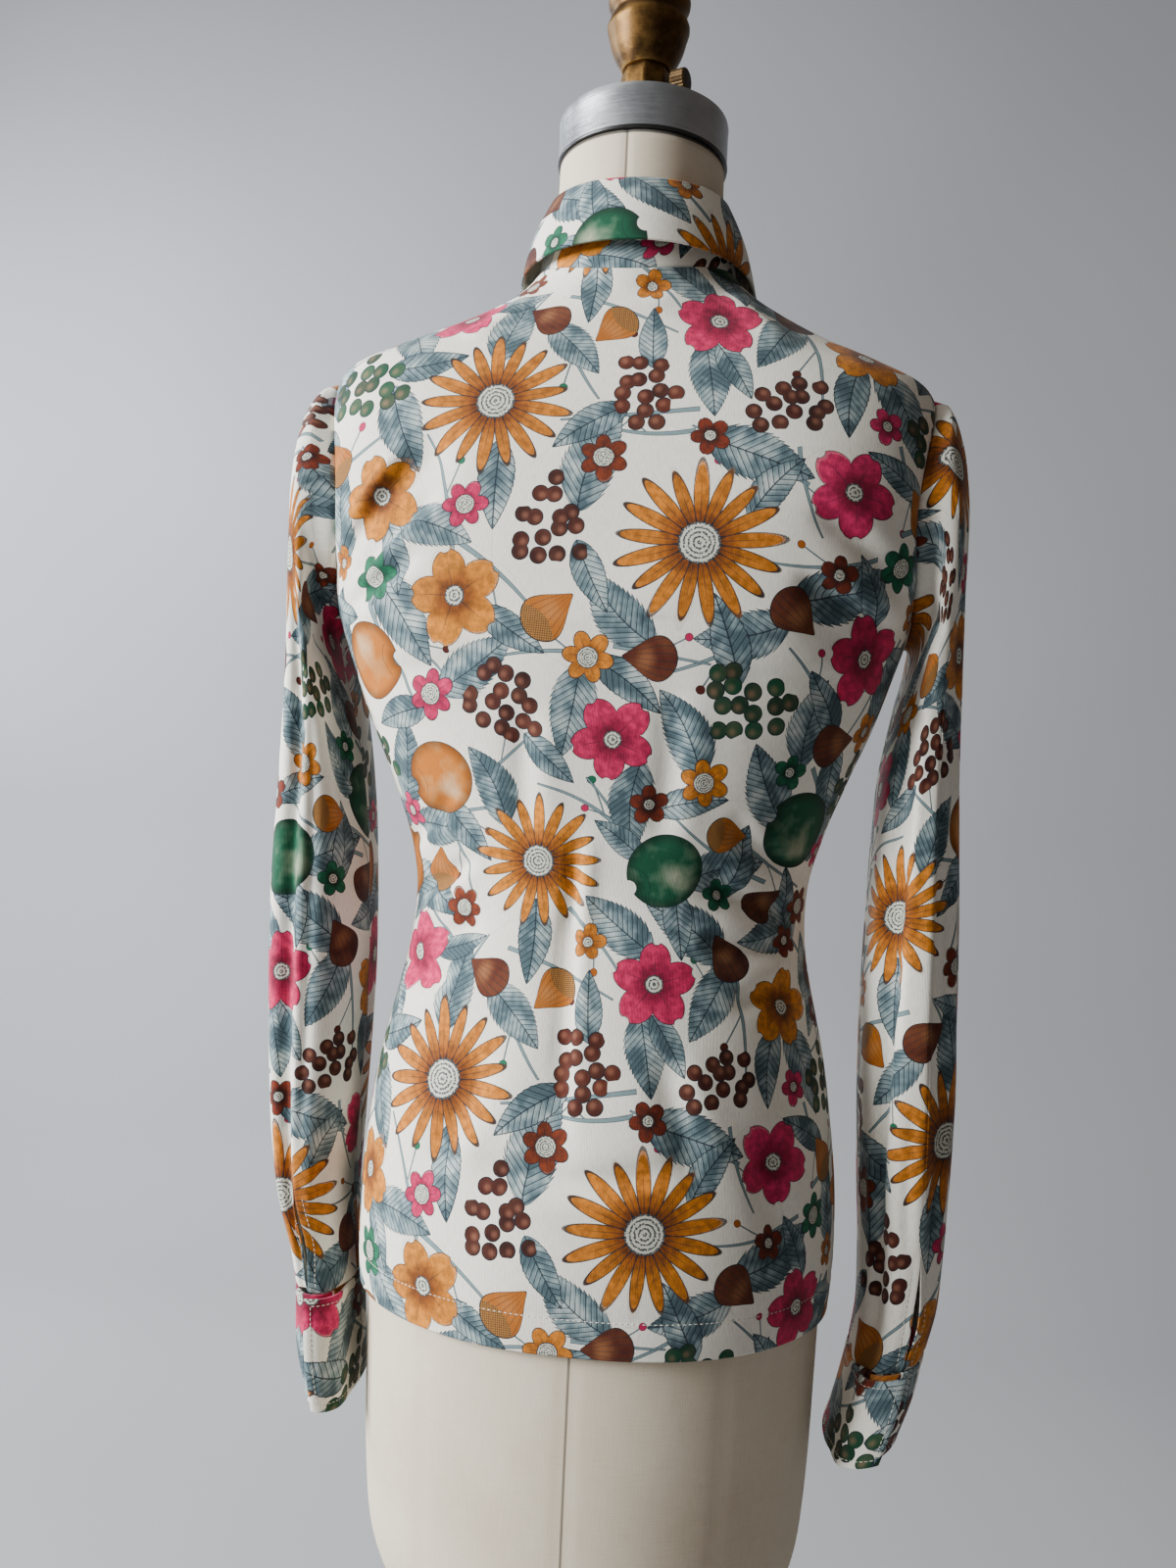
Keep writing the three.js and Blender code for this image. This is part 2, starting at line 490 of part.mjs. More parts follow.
/** Outer surface of a sleeve; its first ring follows the edge of the armhole. */
function sleevePoint(rings, folds, ring, turn, side) {
  if (ring >= 1) return armPoint(rings, folds, ring, turn, side);
  const middle = (underarmHeight + shoulderHeight) / 2;
  const reach = (shoulderHeight - underarmHeight) / 2;
  const level = rowAt(shirtLevels, "at", middle + reach * Math.cos(turn));
  const away = armholeTurn * Math.sin(turn);
  const edge = shirtRing(level, side > 0 ? away : Math.PI - away);
  edge.x += armholeGap * side;
  return edge.lerp(armPoint(rings, folds, 1, turn, side), Math.max(0, ring));
}

/** Leaf-shaped cutter that opens the sleeve above the cuff, at the back. */
function slitCutter(rings, edge, wide, side) {
  const last = rings.length - 1;
  const turn = THREE.MathUtils.degToRad(edge);
  const low = armPoint(rings, [], last, turn, side);
  const outline = new THREE.Shape();
  outline.moveTo(-0.6, -6);
  outline.lineTo(0.6, -6);
  outline.lineTo(wide / 2, slit.tall * slit.widest);
  outline.lineTo(0.4, slit.tall);
  outline.lineTo(-0.4, slit.tall);
  outline.lineTo(-wide / 2, slit.tall * slit.widest);
  outline.closePath();
  const cutter = new THREE.ExtrudeGeometry(outline, { depth: slit.reach, bevelEnabled: false });
  cutter.rotateX(Math.PI / 2);
  cutter.translate(low.x, low.y + slit.reach * 0.6, low.z);
  return cutter;
}

/** A sleeve: a hollow tube from the cuff up to the armhole, with a slit at the back. */
function makeSleeve(rings, folds, edge, wide, side) {
  const last = rings.length - 1;
  const around = spaced(0, 2 * Math.PI, 24).slice(0, -1);
  const rows = spaced(-last, -1, last - 1).concat([-0.4, 0]);
  const surface = (up, turn) => sleevePoint(rings, folds, -up, turn * side, side);
  const tube = solidOf(shell(surface, rows, () => around, jersey, true, 0.01));
  return geometryOf(tube.subtract(solidOf(slitCutter(rings, edge, wide, side))));
}

/** Outer surface of a cuff. walk goes round it from the end that lies underneath. */
function cuffPoint(rings, edge, ring, walk, side) {
  const turn = THREE.MathUtils.degToRad(edge) + cuffLap - walk;
  const p = armPoint(rings, [], ring, turn, side);
  const last = 2 * Math.PI + cuffLap;
  const rise = cuffLapRise * ease((walk - last + cuffLap * 1.6) / (cuffLap * 0.6));
  const row = rowAt(rings, "ring", ring);
  const middle = new THREE.Vector3(
    (side * (row.innerX + row.outerX)) / 2,
    row.middleY,
    (row.innerZ + row.outerZ) / 2,
  );
  return p.addScaledVector(p.clone().sub(middle).normalize(), rise);
}

/** A cuff: a band whose upper end laps over its lower end at the back. */
function makeCuff(rings, edge, side) {
  const sweep = 2 * Math.PI + cuffLap;
  const surface = (up, along) =>
    cuffPoint(rings, edge, -up, side < 0 ? along : sweep - along, side);
  const rows = spaced(-(rings.length - 1), 0, 3);
  return shell(surface, rows, () => spaced(0, sweep, 30), cuffCloth, false, 0.01);
}

/** Outer surface of the collar stand, by height and by the way round; its right end is on top. */
function standPoint(rise, along) {
  const foot = { ...rowAt(shirtLevels, "at", necklineHeight), at: necklineHeight + standGap };
  const level = {};
  for (const name of Object.keys(foot)) {
    level[name] = THREE.MathUtils.lerp(foot[name], standTop[name], rise);
  }
  const lap = Math.asin(standLap / level.half);
  const turn = -Math.PI / 2 - lap + along * (2 * Math.PI + 2 * lap);
  const p = ringPoint(level, turn);
  const over = lapRise * ease((along - standLapFrom.along) / standLapFrom.over);
  p.y += over * Math.sin(turn);
  p.x += over * Math.cos(turn);
  return p;
}

/** Collar stand: from the neckline up to the fold. */
function makeStand() {
  const places = () => spaced(0, 1, 42);
  return shell(standPoint, [0, 0.5, 1], places, standCloth, false, 0.01, 0.001);
}

/** Collar fall: over the top of the stand, then down and out to its edge and points. */
function makeFall() {
  const rows = [0, 1, 2, 3, 4, 5];
  const leafRows = rows.length - fallRoll.length;
  const surface = (row, fold) => {
    const away = Math.abs(fold);
    const side = Math.sign(fold) || 1;
    const turn = Math.PI / 2 - THREE.MathUtils.degToRad(fold);
    const top = ringPoint(standTop, turn);
    const outwards = new THREE.Vector3(Math.cos(turn), Math.sin(turn), 0);
    const clear = lapRise * ease((away - fallClear.from) / fallClear.over);
    const roll = (i) => {
      const { out, up } = rowAt(
        fallRoll.map((r, n) => ({ n, ...r })),
        "n",
        i,
      );
      return top.clone().addScaledVector(outwards, out + clear).add(new THREE.Vector3(0, 0, up));
    };
    if (row <= fallRoll.length - 1) return roll(row);
    const e = rowAt(fallEdge, "fold", away);
    const edgeTurn = THREE.MathUtils.degToRad(e.edge) * side;
    const edge = new THREE.Vector3(Math.sin(edgeTurn) * e.reach, Math.cos(edgeTurn) * e.reach, e.height);
    const t = (row - fallRoll.length + 1) / leafRows;
    return roll(fallRoll.length - 1)
      .lerp(edge, t)
      .addScaledVector(outwards, fallBulge * Math.sin(Math.PI * t));
  };
  const end = fallEdge[fallEdge.length - 1].fold;
  return shell(surface, rows, () => spaced(-end, end, 32), fallCloth, false, 0.02, 0.2);
}

/** A flat round button with a low rim, over a shank of thread; its face is towards +Z. */
function makeButton(radius) {
  const { thick, rim } = button;
  const profile = [
    [0, -shank.tall],
    [shank.radius, -shank.tall],
    [shank.radius, 0],
    [radius, 0],
    [radius, thick],
    [radius - rim, thick],
    [radius - rim - 0.6, thick - 0.6],
    [0, thick - 0.6],
  ].map(([r, z]) => new THREE.Vector2(r, z));
  return new THREE.LatheGeometry(profile, 12).rotateX(Math.PI / 2);
}

/** Sets a button on the piece that carries it, where the normal at a point meets that piece. */
function placeButton(name, carrier, point, normal, radius = button.radius) {
  const mesh = addPiece(shirt, name, makeButton(radius), colours.shell);
  const ray = new THREE.Raycaster(point.clone().addScaledVector(normal, 3), normal.clone().negate());
  const seat = ray.intersectObject(carrier)[0].point;
  mesh.position.copy(seat).addScaledVector(normal, shank.gap + shank.tall);
  mesh.quaternion.setFromUnitVectors(new THREE.Vector3(0, 0, 1), normal);
}

/** A lathe about Z from rows of radius and height. */
function turned(rows, segments) {
  const profile = rows.map(([r, z]) => new THREE.Vector2(r, z));
  return new THREE.LatheGeometry(profile, segments).rotateX(Math.PI / 2);
}

/** The dress form's body, one smooth closed solid from the foot to the neck. */
function makeFormBody() {
  const around = spaced(0, 2 * Math.PI, 32).slice(0, -1);
  const heights = [598, 602, 609, 620, 636, 656, 745, 830, 915, 955, 1000, 1038, 1072, 1105, 1140];
  heights.push(1170, 1205, 1262, 1300, 1325, 1343, 1353.7, 1361.9, 1371.9, 1381.9, 1389.9);
  heights.push(1396.8, 1403, 1410);
  heights.push(1424, 1442, 1483.7);
  const rings = heights.map((height) => around.map((turn) => formPoint(height, turn)));
  const faces = [];
  const cols = around.length;
  for (let i = 0; i < rings.length - 1; i++) {
    for (let j = 0; j < cols; j++) {
      const k = (j + 1) % cols;
      faces.push(rings[i][j], rings[i][k], rings[i + 1][k]);
      faces.push(rings[i][j], rings[i + 1][k], rings[i + 1][j]);
    }
  }
  for (const [ring, up] of [[rings[0], false], [rings[rings.length - 1], true]]) {
    const centre = new THREE.Vector3(0, 0, ring[0].z);
    for (let j = 0; j < cols; j++) {
      const k = (j + 1) % cols;
      faces.push(centre, ring[up ? j : k], ring[up ? k : j]);
    }
  }
  return new THREE.BufferGeometry().setFromPoints(faces);
}

/** Cast finial: an eight-sided stem under a turned urn. */
function makeFinial() {
  const low = neckCap.high + neckCap.dome + 0.4;
  const urn = [
    [0, 1546], [16.2, 1546], [19.5, 1553], [22.5, 1560], [24.3, 1567], [25.8, 1572], [25.4, 1576],
    [22.6, 1580], [22.8, 1582], [25.6, 1587], [25.6, 1592], [22.5, 1597], [14, 1600], [11.5, 1604],
    [13.5, 1609], [17, 1616], [17.6, 1623], [15, 1631], [9, 1638], [4, 1642], [0, 1643],
  ];
  const { stemRadius, stemTop, sides } = finial;
  const stem = [[0, low], [stemRadius, low], [stemRadius, stemTop - 5], [0, stemTop - 5]];
  return geometryOf(solidOf(turned(urn, 18)).add(solidOf(turned(stem, sides))));
}

/** Round cast base with a raised hub for the pole. */
function makeBase() {
  const { radius, rim, shoulder, hubRadius, hubTop } = base;
  return turned(
    [
      [0, 0], [radius, 0], [radius, rim - 3], [radius - 3, rim], [radius * 0.55, shoulder - 2],
      [hubRadius + 14, shoulder], [hubRadius, shoulder + 8], [hubRadius - 8, hubTop], [0, hubTop],
    ],
    40,
  );
}

addPiece(shirt, "back_panel", makeBack(), colours.print);
addPiece(shirt, "left_front", makeFront(true), colours.print);
const rightFront = addPiece(shirt, "right_front", makeFront(false), colours.print);
for (const [name, side, rings, folds, cuffRings] of [
  ["left", 1, leftSleeveRings, leftSleeveFolds, leftCuffRings],
  ["right", -1, rightSleeveRings, rightSleeveFolds, rightCuffRings],
]) {
  const edge = cuffEdge[name];
  const sleeve = makeSleeve(numbered(rings), folds, edge, slitWidth[name], side);
  addPiece(shirt, name + "_sleeve", sleeve, colours.print);
  const cuff = makeCuff(numbered(cuffRings), edge, side);
  const carrier = addPiece(shirt, name + "_cuff", cuff, colours.print);
  const surface = (walk, up) => cuffPoint(numbered(cuffRings), edge, -up, walk, side);
  const normal = normalOf(surface, cuffButtonWalk, -1, 0.1, 0.1);
  if (side > 0) normal.negate();
  const place = surface(cuffButtonWalk, -1);
  placeButton(name + "_cuff_button", carrier, place, normal, button.cuffRadius);
}
const stand = addPiece(shirt, "collar_stand", makeStand(), colours.print);
addPiece(shirt, "collar_fall", makeFall(), colours.print);

const standMiddle = 0.968; // the way round to the centre front, on the upper end
const standNormal = normalOf((a, r) => standPoint(r, a), standMiddle, 0.42, 0.01, 0.1);
placeButton("stand_button", stand, standPoint(0.42, standMiddle), standNormal, button.cuffRadius);
frontButtonHeights.forEach((height, i) => {
  const turn = (3 * Math.PI) / 2;
  const surface = (t, h) => shirtPoint(h, t, 1);
  const normal = normalOf(surface, turn, height, 0.02, 4);
  placeButton("front_button_" + (i + 1), rightFront, shirtPoint(height, turn, 1), normal);
});

addPiece(dressForm, "form_body", makeFormBody(), colours.linen);
addPiece(
  dressForm,
  "neck_cap",
  turned(
    [
      [0, neckCap.low], [neckCap.radius, neckCap.low], [neckCap.radius, neckCap.high - 0.8],
      [neckCap.radius - 0.8, neckCap.high], [neckCap.radius * 0.6, neckCap.high + 1.6],
      [22, neckCap.high + neckCap.dome], [0, neckCap.high + neckCap.dome],
    ],
    36,
  ),
  colours.steel,
);
addPiece(dressForm, "finial", makeFinial(), colours.bronze);
const screw = addPiece(
  dressForm,
  "thumb_screw",
  turned(
    [
      [0, 0], [thumbScrew.shank, 0], [thumbScrew.shank, 2.4], [thumbScrew.radius, 2.4],
      [thumbScrew.radius, thumbScrew.head + 2.4], [0, thumbScrew.head + 2.4],
    ],
    18,
  ),
  colours.bronze,
);
const stemFlat = finial.stemRadius * Math.cos(Math.PI / finial.sides);
const screwTurn = Math.PI - Math.PI / finial.sides;
screw.position.set(
  Math.cos(screwTurn) * (stemFlat + thumbScrew.gap),
  Math.sin(screwTurn) * (stemFlat + thumbScrew.gap),
  thumbScrew.height,
);
screw.quaternion.setFromUnitVectors(
  new THREE.Vector3(0, 0, 1),
  new THREE.Vector3(Math.cos(screwTurn), Math.sin(screwTurn), 0),
);
addPiece(
  dressForm,
  "pole",
  turned([[0, pole.low], [pole.radius, pole.low], [pole.radius, pole.high], [0, pole.high]], 20),
  colours.iron,
);
addPiece(dressForm, "base", makeBase(), colours.iron);

for (let i = 0; i < cageRods.count; i++) {
  const turn = (2 * Math.PI * i) / cageRods.count;
  const x = cageRods.half * Math.cos(turn);
  const y = cageRods.depth * Math.sin(turn);
  const clear = 0.4;
  let top = 598;
  const reach = (height) => {
    const p = formPoint(height, turn);
    return Math.hypot(p.x, p.y);
  };
  while (top < 640 && reach(top) < Math.hypot(x, y) - cageRods.radius) top += 0.1;
  addPiece(
    dressForm,
    "cage_rod_" + (i + 1),
    turned(
      [
        [0, cageRods.low], [cageRods.radius, cageRods.low], [cageRods.radius, top - clear],
        [0, top - clear],
      ],
      8,
    ).translate(x, y, 0),
    colours.iron,
  );
}

/** The hoop that joins the cage's rods at their lower ends. */
function makeHoop() {
  const steps = 24;
  const sides = 6;
  const faces = [];
  const at = (i, j) => {
    const turn = (2 * Math.PI * i) / steps;
    const tube = (2 * Math.PI * j) / sides + Math.PI / sides;
    const out = cageHoop.radius * Math.cos(tube);
    return new THREE.Vector3(
      (cageHoop.half + out) * Math.cos(turn),
      (cageHoop.depth + out) * Math.sin(turn),
      cageHoop.height + cageHoop.radius * Math.sin(tube),
    );
  };
  for (let i = 0; i < steps; i++) {
    for (let j = 0; j < sides; j++) {
      faces.push(at(i, j), at(i + 1, j), at(i + 1, j + 1));
      faces.push(at(i, j), at(i + 1, j + 1), at(i, j + 1));
    }
  }
  return new THREE.BufferGeometry().setFromPoints(faces);
}
addPiece(dressForm, "cage_hoop", makeHoop(), colours.iron);

const part = new THREE.Group();
part.add(shirt, dressForm);

export default part;
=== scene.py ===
"""A buttoned shirt of printed jersey on a dress form with its stand, seen from behind.

The tables of levels are the part's own, in millimetres. Each cloth piece is a fine thin shell on
its solid's surface, with its creases placed one by one.
"""
import logging
import math
from collections.abc import Callable, Iterable
from dataclasses import dataclass
from enum import Enum

import bmesh
import bpy
import numpy as np
from mathutils import Matrix, Vector


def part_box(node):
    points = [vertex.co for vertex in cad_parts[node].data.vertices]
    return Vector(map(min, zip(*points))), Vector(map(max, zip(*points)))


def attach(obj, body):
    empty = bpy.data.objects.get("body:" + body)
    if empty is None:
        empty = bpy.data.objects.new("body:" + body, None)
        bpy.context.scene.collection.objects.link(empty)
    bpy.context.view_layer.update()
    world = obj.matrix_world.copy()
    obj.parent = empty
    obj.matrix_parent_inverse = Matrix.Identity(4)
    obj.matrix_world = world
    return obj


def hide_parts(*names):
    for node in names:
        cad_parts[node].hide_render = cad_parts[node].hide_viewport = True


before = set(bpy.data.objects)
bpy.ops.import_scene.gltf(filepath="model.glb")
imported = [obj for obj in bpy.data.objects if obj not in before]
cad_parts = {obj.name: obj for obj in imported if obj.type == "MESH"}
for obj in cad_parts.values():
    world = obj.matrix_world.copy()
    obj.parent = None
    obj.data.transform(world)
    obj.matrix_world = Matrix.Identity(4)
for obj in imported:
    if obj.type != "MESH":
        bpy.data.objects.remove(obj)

Array = np.ndarray
Level = dict[str, Array]
LOG = logging.getLogger("shirt")
MM = 0.001
BODY = "root"
HALF_TURN = math.pi
FULL_TURN = 2 * math.pi
PATTERN_MAP = "pattern"
MIX_FIRST, MIX_SECOND, MIX_COLOUR = 6, 7, 2


def bell(value: Array) -> Array:
    """Round hump of height 1 at 0."""
    return np.exp(-np.square(value))


def ease(value: Array) -> Array:
    """Smooth step from 0 to 1."""
    t = np.clip(value, 0.0, 1.0)
    return t * t * (3 - 2 * t)


def unit(vectors: Array) -> Array:
    """Vectors of length 1 in the same directions."""
    return vectors / np.maximum(np.linalg.norm(vectors, axis=-1, keepdims=True), 1e-9)


def crossed(rows: Array, columns: Array) -> tuple[Array, Array]:
    """The rows' values and the columns' values on the grid of both."""
    return rows[:, None] + 0 * columns, columns + 0 * rows[:, None]


@dataclass(frozen=True)
class Table:
    """Rows of numbers under named columns, read on a smooth curve through the rows."""

    names: tuple[str, ...]
    rows: tuple[tuple[float, ...], ...]

    @staticmethod
    def numbered(names: tuple[str, ...], rows: tuple[tuple[float, ...], ...]) -> "Table":
        """Table whose first column counts its rows from 0.

        Args:
            names: names of the columns after the count.
            rows: values of those columns.

        Returns:
            The table, with the column "row" in front.
        """
        return Table(("row", *names), tuple((float(i), *row) for i, row in enumerate(rows)))

    def at(self, position: Array) -> Level:
        """Whole rows at positions along the first column.

        Args:
            position: values of the first column, in an array of any shape.

        Returns:
            An array of that shape for each column.
        """
        data = np.array(self.rows, float)
        keys = data[:, 0]
        last = len(keys) - 1
        i = np.clip(np.searchsorted(keys, position, side="right") - 1, 0, last - 1)
        low, high = np.maximum(i - 1, 0), np.minimum(i + 2, last)
        span = keys[i + 1] - keys[i]
        t = np.clip((position - keys[i]) / span, 0.0, 1.0)[..., None]
        slope0 = (data[i + 1] - data[low]) * (span / (keys[i + 1] - keys[low]))[..., None]
        slope1 = (data[high] - data[i]) * (span / (keys[high] - keys[i]))[..., None]
        t2, t3 = t * t, t * t * t
        made = (2 * t3 - 3 * t2 + 1) * data[i] + (t3 - 2 * t2 + t) * slope0
        made += (3 * t2 - 2 * t3) * data[i + 1] + (t3 - t2) * slope1
        level = {name: made[..., k] for k, name in enumerate(self.names)}
        level[self.names[0]] = np.asarray(position, float) + 0 * made[..., 0]
        return level


LEVEL = ("at", "half", "back", "front", "square", "dropBack", "dropFront")
RING = ("innerX", "innerZ", "outerX", "outerZ", "middleY", "back", "front", "square")

SHIRT_LEVELS = Table(LEVEL, (
    (795, 145, 116, 112, 2.15, 0, 0),
    (830, 147, 116.5, 111.5, 2.15, 0, 0),
    (870, 145.5, 114, 108, 2.15, 0, 0),
    (915, 140, 107, 103, 2.15, 0, 0),
    (955, 132.5, 97, 96.5, 2.15, 0, 0),
    (1000, 123, 86, 91, 2.2, 0, 0),
    (1038, 121, 80, 91, 2.2, 0, 0),
    (1072, 128.5, 83, 98, 2.3, 0, 0),
    (1105, 141, 89, 106, 2.4, 0, 0),
    (1140, 155.5, 96, 113, 2.5, 0, 0),
    (1165, 164, 100, 115, 2.6, 0, 0),
    (1192, 172, 102, 113, 2.8, 0, 0),
    (1225, 179, 101, 108, 2.9, 0, 0),
    (1262, 182.5, 97, 101, 3, 0, 0),
    (1300, 186, 89, 93, 2.9, 0, 0),
    (1325, 186.5, 82.5, 87.5, 2.7, 1, 2),
    (1347, 180, 76, 83, 2.5, 3, 12),
    (1360, 157, 72.5, 80, 2.35, 6, 22),
    (1377, 117, 68, 77, 2.2, 9, 35),
    (1393, 86, 65, 74.5, 2.1, 12, 47),
    (1405, 70, 63, 72, 2, 14, 56),
    (1414, 62, 61.5, 70, 2, 16, 62),
))
FORM_LEVELS = Table(LEVEL, (
    (598, 100, 78, 78, 2.1, 0, 0),
    (602, 108, 85, 85, 2.1, 0, 0),
    (609, 114.5, 91, 91, 2.1, 0, 0),
    (620, 122, 97, 97, 2.1, 0, 0),
    (636, 129, 103, 102, 2.1, 0, 0),
    (656, 133.5, 107, 105, 2.1, 0, 0),
    (700, 137, 110, 107, 2.1, 0, 0),
    (745, 138.5, 111, 107.5, 2.1, 0, 0),
    (795, 140, 111, 106.5, 2.1, 0, 0),
    (830, 141, 110.5, 105.5, 2.1, 0, 0),
    (870, 139.5, 108, 102, 2.1, 0, 0),
    (915, 134, 101, 97, 2.1, 0, 0),
    (955, 126.5, 91, 90.5, 2.1, 0, 0),
    (1000, 117.5, 80, 85, 2.1, 0, 0),
    (1038, 115.5, 74, 85, 2.1, 0, 0),
    (1072, 119.5, 77, 91, 2.15, 0, 0),
    (1105, 127, 83, 98, 2.2, 0, 0),
    (1140, 136, 89, 104, 2.2, 0, 0),
    (1165, 142, 93, 106, 2.25, 0, 0),
    (1192, 147, 95, 104, 2.3, 0, 0),
    (1225, 150, 94, 100, 2.4, 0, 0),
    (1262, 153, 89.5, 93, 2.5, 0, 0),
    (1300, 156, 81.5, 85, 2.5, 0, 0),
    (1325, 159, 75, 79.5, 2.4, 1, 2),
    (1343, 155, 70, 76, 2.3, 4, 11),
    (1353.7, 147, 67.5, 74, 2.25, 6, 18),
    (1361.9, 137, 65.5, 72.5, 2.2, 8, 24),
    (1371.9, 116, 63, 70.5, 2.1, 10, 32),
    (1381.9, 98, 60.5, 68.5, 2.05, 11.5, 39),
    (1389.9, 85.5, 58.5, 66.5, 2, 13, 44),
    (1396.8, 76, 56.5, 64.5, 2, 14, 48),
    (1403, 66, 55, 62.5, 2, 14.5, 50.5),
    (1410, 59, 53.8, 60.5, 2, 14, 51),
    (1424, 53, 52, 56.5, 2, 11, 40),
    (1442, 51.8, 51.2, 53, 2, 6, 22),
    (1464, 51.4, 51, 51.5, 2, 2, 6),
    (1483.7, 51.2, 51.2, 51.2, 2, 0, 0),
))
LEFT_SLEEVE_RINGS = Table.numbered(RING, (
    (172, 1192, 180, 1347, 0, 53, 54, 2.2),
    (177, 1190, 192, 1345, 0, 56, 56, 2.2),
    (180, 1185, 201, 1331, 0, 57, 57, 2.2),
    (179.5, 1176, 206, 1305, 0, 57, 57, 2.2),
    (176, 1162, 207.5, 1268, 0, 56, 57, 2.3),
    (170, 1142, 207.5, 1222, 1, 55, 56, 2.3),
    (163, 1112, 208, 1166, 1, 53, 54, 2.4),
    (156.5, 1072, 209.5, 1104, 2, 51, 52, 2.4),
    (153, 1026, 211.5, 1040, 3, 49, 50, 2.4),
    (151, 976, 211.5, 980, 4, 47, 48, 2.4),
    (151, 926, 208.5, 926, 6, 45, 46, 2.4),
    (152, 876, 203.5, 876, 8, 44, 45, 2.3),
    (153, 838, 196, 838, 10, 42, 43, 2.3),
    (151, 808, 186, 808, 12, 40, 41, 2.2),
    (147, 787, 181, 787, 14, 38, 39, 2.2),
))
RIGHT_SLEEVE_RINGS = Table.numbered(RING, (
    (172, 1192, 180, 1347, 0, 53, 54, 2.2),
    (176, 1190, 190.5, 1337, 0, 56, 56, 2.2),
    (178, 1185, 197, 1323, 0, 57, 57, 2.2),
    (177, 1176, 202.5, 1300, 0, 57, 57, 2.2),
    (173.5, 1161, 205.5, 1266, 0, 56, 57, 2.3),
    (168, 1140, 205.5, 1220, -1, 55, 56, 2.3),
    (162.5, 1110, 206.5, 1164, -2, 53, 54, 2.4),
    (160, 1072, 208.5, 1102, -2, 51, 52, 2.5),
    (158.5, 1024, 211, 1038, -2, 49, 50, 2.5),
    (157.5, 974, 213, 978, -1, 47, 48, 2.5),
    (158, 924, 214, 924, 0, 45, 46, 2.5),
    (159.5, 876, 212.5, 876, 2, 44, 45, 2.4),
    (161.5, 832, 210, 834, 5, 42, 43, 2.3),
    (161.5, 796, 207, 801, 8, 40, 41, 2.2),
    (158, 767, 200.5, 777, 10, 38, 39, 2.2),
))
LEFT_CUFF_RINGS = Table.numbered(RING, (
    (146.6, 786.2, 181.5, 786.2, 14, 38.5, 39.5, 2.2),
    (144.2, 752, 179.5, 752, 14, 39, 40, 2.2),
    (142.6, 719, 170.5, 722, 14, 39, 40, 2.2),
))
RIGHT_CUFF_RINGS = Table.numbered(RING, (
    (157.6, 766.2, 201, 776.2, 10, 38.5, 39.5, 2.2),
    (152, 741, 196, 752, 10, 39, 40, 2.2),
    (145, 715, 187, 727, 10, 39, 40, 2.2),
))
FALL_ROLL = Table.numbered(("out", "up"), ((-1.2, 2.5), (0.4, 2.8), (2.2, 1.5)))
FALL_EDGE = Table(("fold", "edge", "reach", "height"), (
    (0, 0, 70, 1411.5),
    (45, 45, 70.5, 1411.5),
    (70, 69, 72, 1410.5),
    (90, 88, 73.5, 1408.5),
    (128, 116, 84, 1391),
    (155, 136, 96, 1366),
    (174, 149, 101, 1346),
))
STAND_TOP = {
    "at": 1455.5, "half": 54.4, "back": 54.0, "front": 60.0, "square": 2.0,
    "dropBack": 4.0, "dropFront": 61.0,
}


CREASE_POINTS = 15
RIDGE_AWAY = 1.7
RIDGE_WIDE = 1.1


@dataclass(frozen=True)
class Crease:
    """A soft trough along a bent line, with a lower ridge beside it, in millimetres.

    The line runs through three places of the surface. A negative depth makes it a ridge, and
    a negative ridge puts the side ridge on the other hand.
    """

    start: tuple[float, float]
    middle: tuple[float, float]
    end: tuple[float, float]
    wide: float
    deep: float
    ridge: float = 0.3
    fade: float = 0.3

    def depth(self, across: Array, up: Array) -> Array:
        """How far the crease takes the surface inwards.

        Args:
            across: places across the cloth.
            up: places up the cloth.

        Returns:
            Depths, in an array of the same shape.
        """
        steps = np.linspace(0, 1, CREASE_POINTS)[:, None]
        a, b, c = (np.array(p, float) for p in (self.start, self.middle, self.end))
        line = (1 - steps) ** 2 * a + 2 * (1 - steps) * steps * (2 * b - (a + c) / 2)
        line = line + steps ** 2 * c
        best = np.full(across.shape, 1e9)
        side = np.zeros(across.shape)
        along = np.zeros(across.shape)
        for i in range(len(line) - 1):
            d = line[i + 1] - line[i]
            px, pz = across - line[i][0], up - line[i][1]
            t = np.clip((px * d[0] + pz * d[1]) / (d @ d), 0, 1)
            gap = np.hypot(px - t * d[0], pz - t * d[1])
            near = gap < best
            best = np.where(near, gap, best)
            side = np.where(near, np.sign(px * d[1] - pz * d[0]), side)
            along = np.where(near, (i + t) / (len(line) - 1), along)
        strength = ease(along / self.fade) * ease((1 - along) / self.fade)
        off = side * best / self.wide
        return self.deep * strength * (bell(off) - self.ridge * bell((off - RIDGE_AWAY) / RIDGE_WIDE))


def crease_depth(creases: Iterable[Crease], across: Array, up: Array) -> Array:
    """Depth of several creases together."""
    return sum((c.depth(across, up) for c in creases), np.zeros(across.shape))


def squared(turn: Array, square: Array) -> Array:
    """The factor that turns an ellipse's point into a superellipse's."""
    c, s = np.abs(np.cos(turn)), np.abs(np.sin(turn))
    return (c ** square + s ** square) ** (-1 / square)


def ring_points(level: Level, turn: Array) -> Array:
    """Points on the rings of levels; turn 0 is at +X and a quarter turn at the back.

    Args:
        level: the level's columns.
        turn: places round the ring, in radians.

    Returns:
        Points in millimetres.
    """
    c, s = np.cos(turn), np.sin(turn)
    f = squared(turn, level["square"])
    behind = s >= 0
    depth = np.where(behind, level["back"], level["front"])
    drop = np.where(behind, level["dropBack"], level["dropFront"])
    return np.stack([level["half"] * c * f, depth * s * f, level["at"] - drop * s * s], axis=-1)


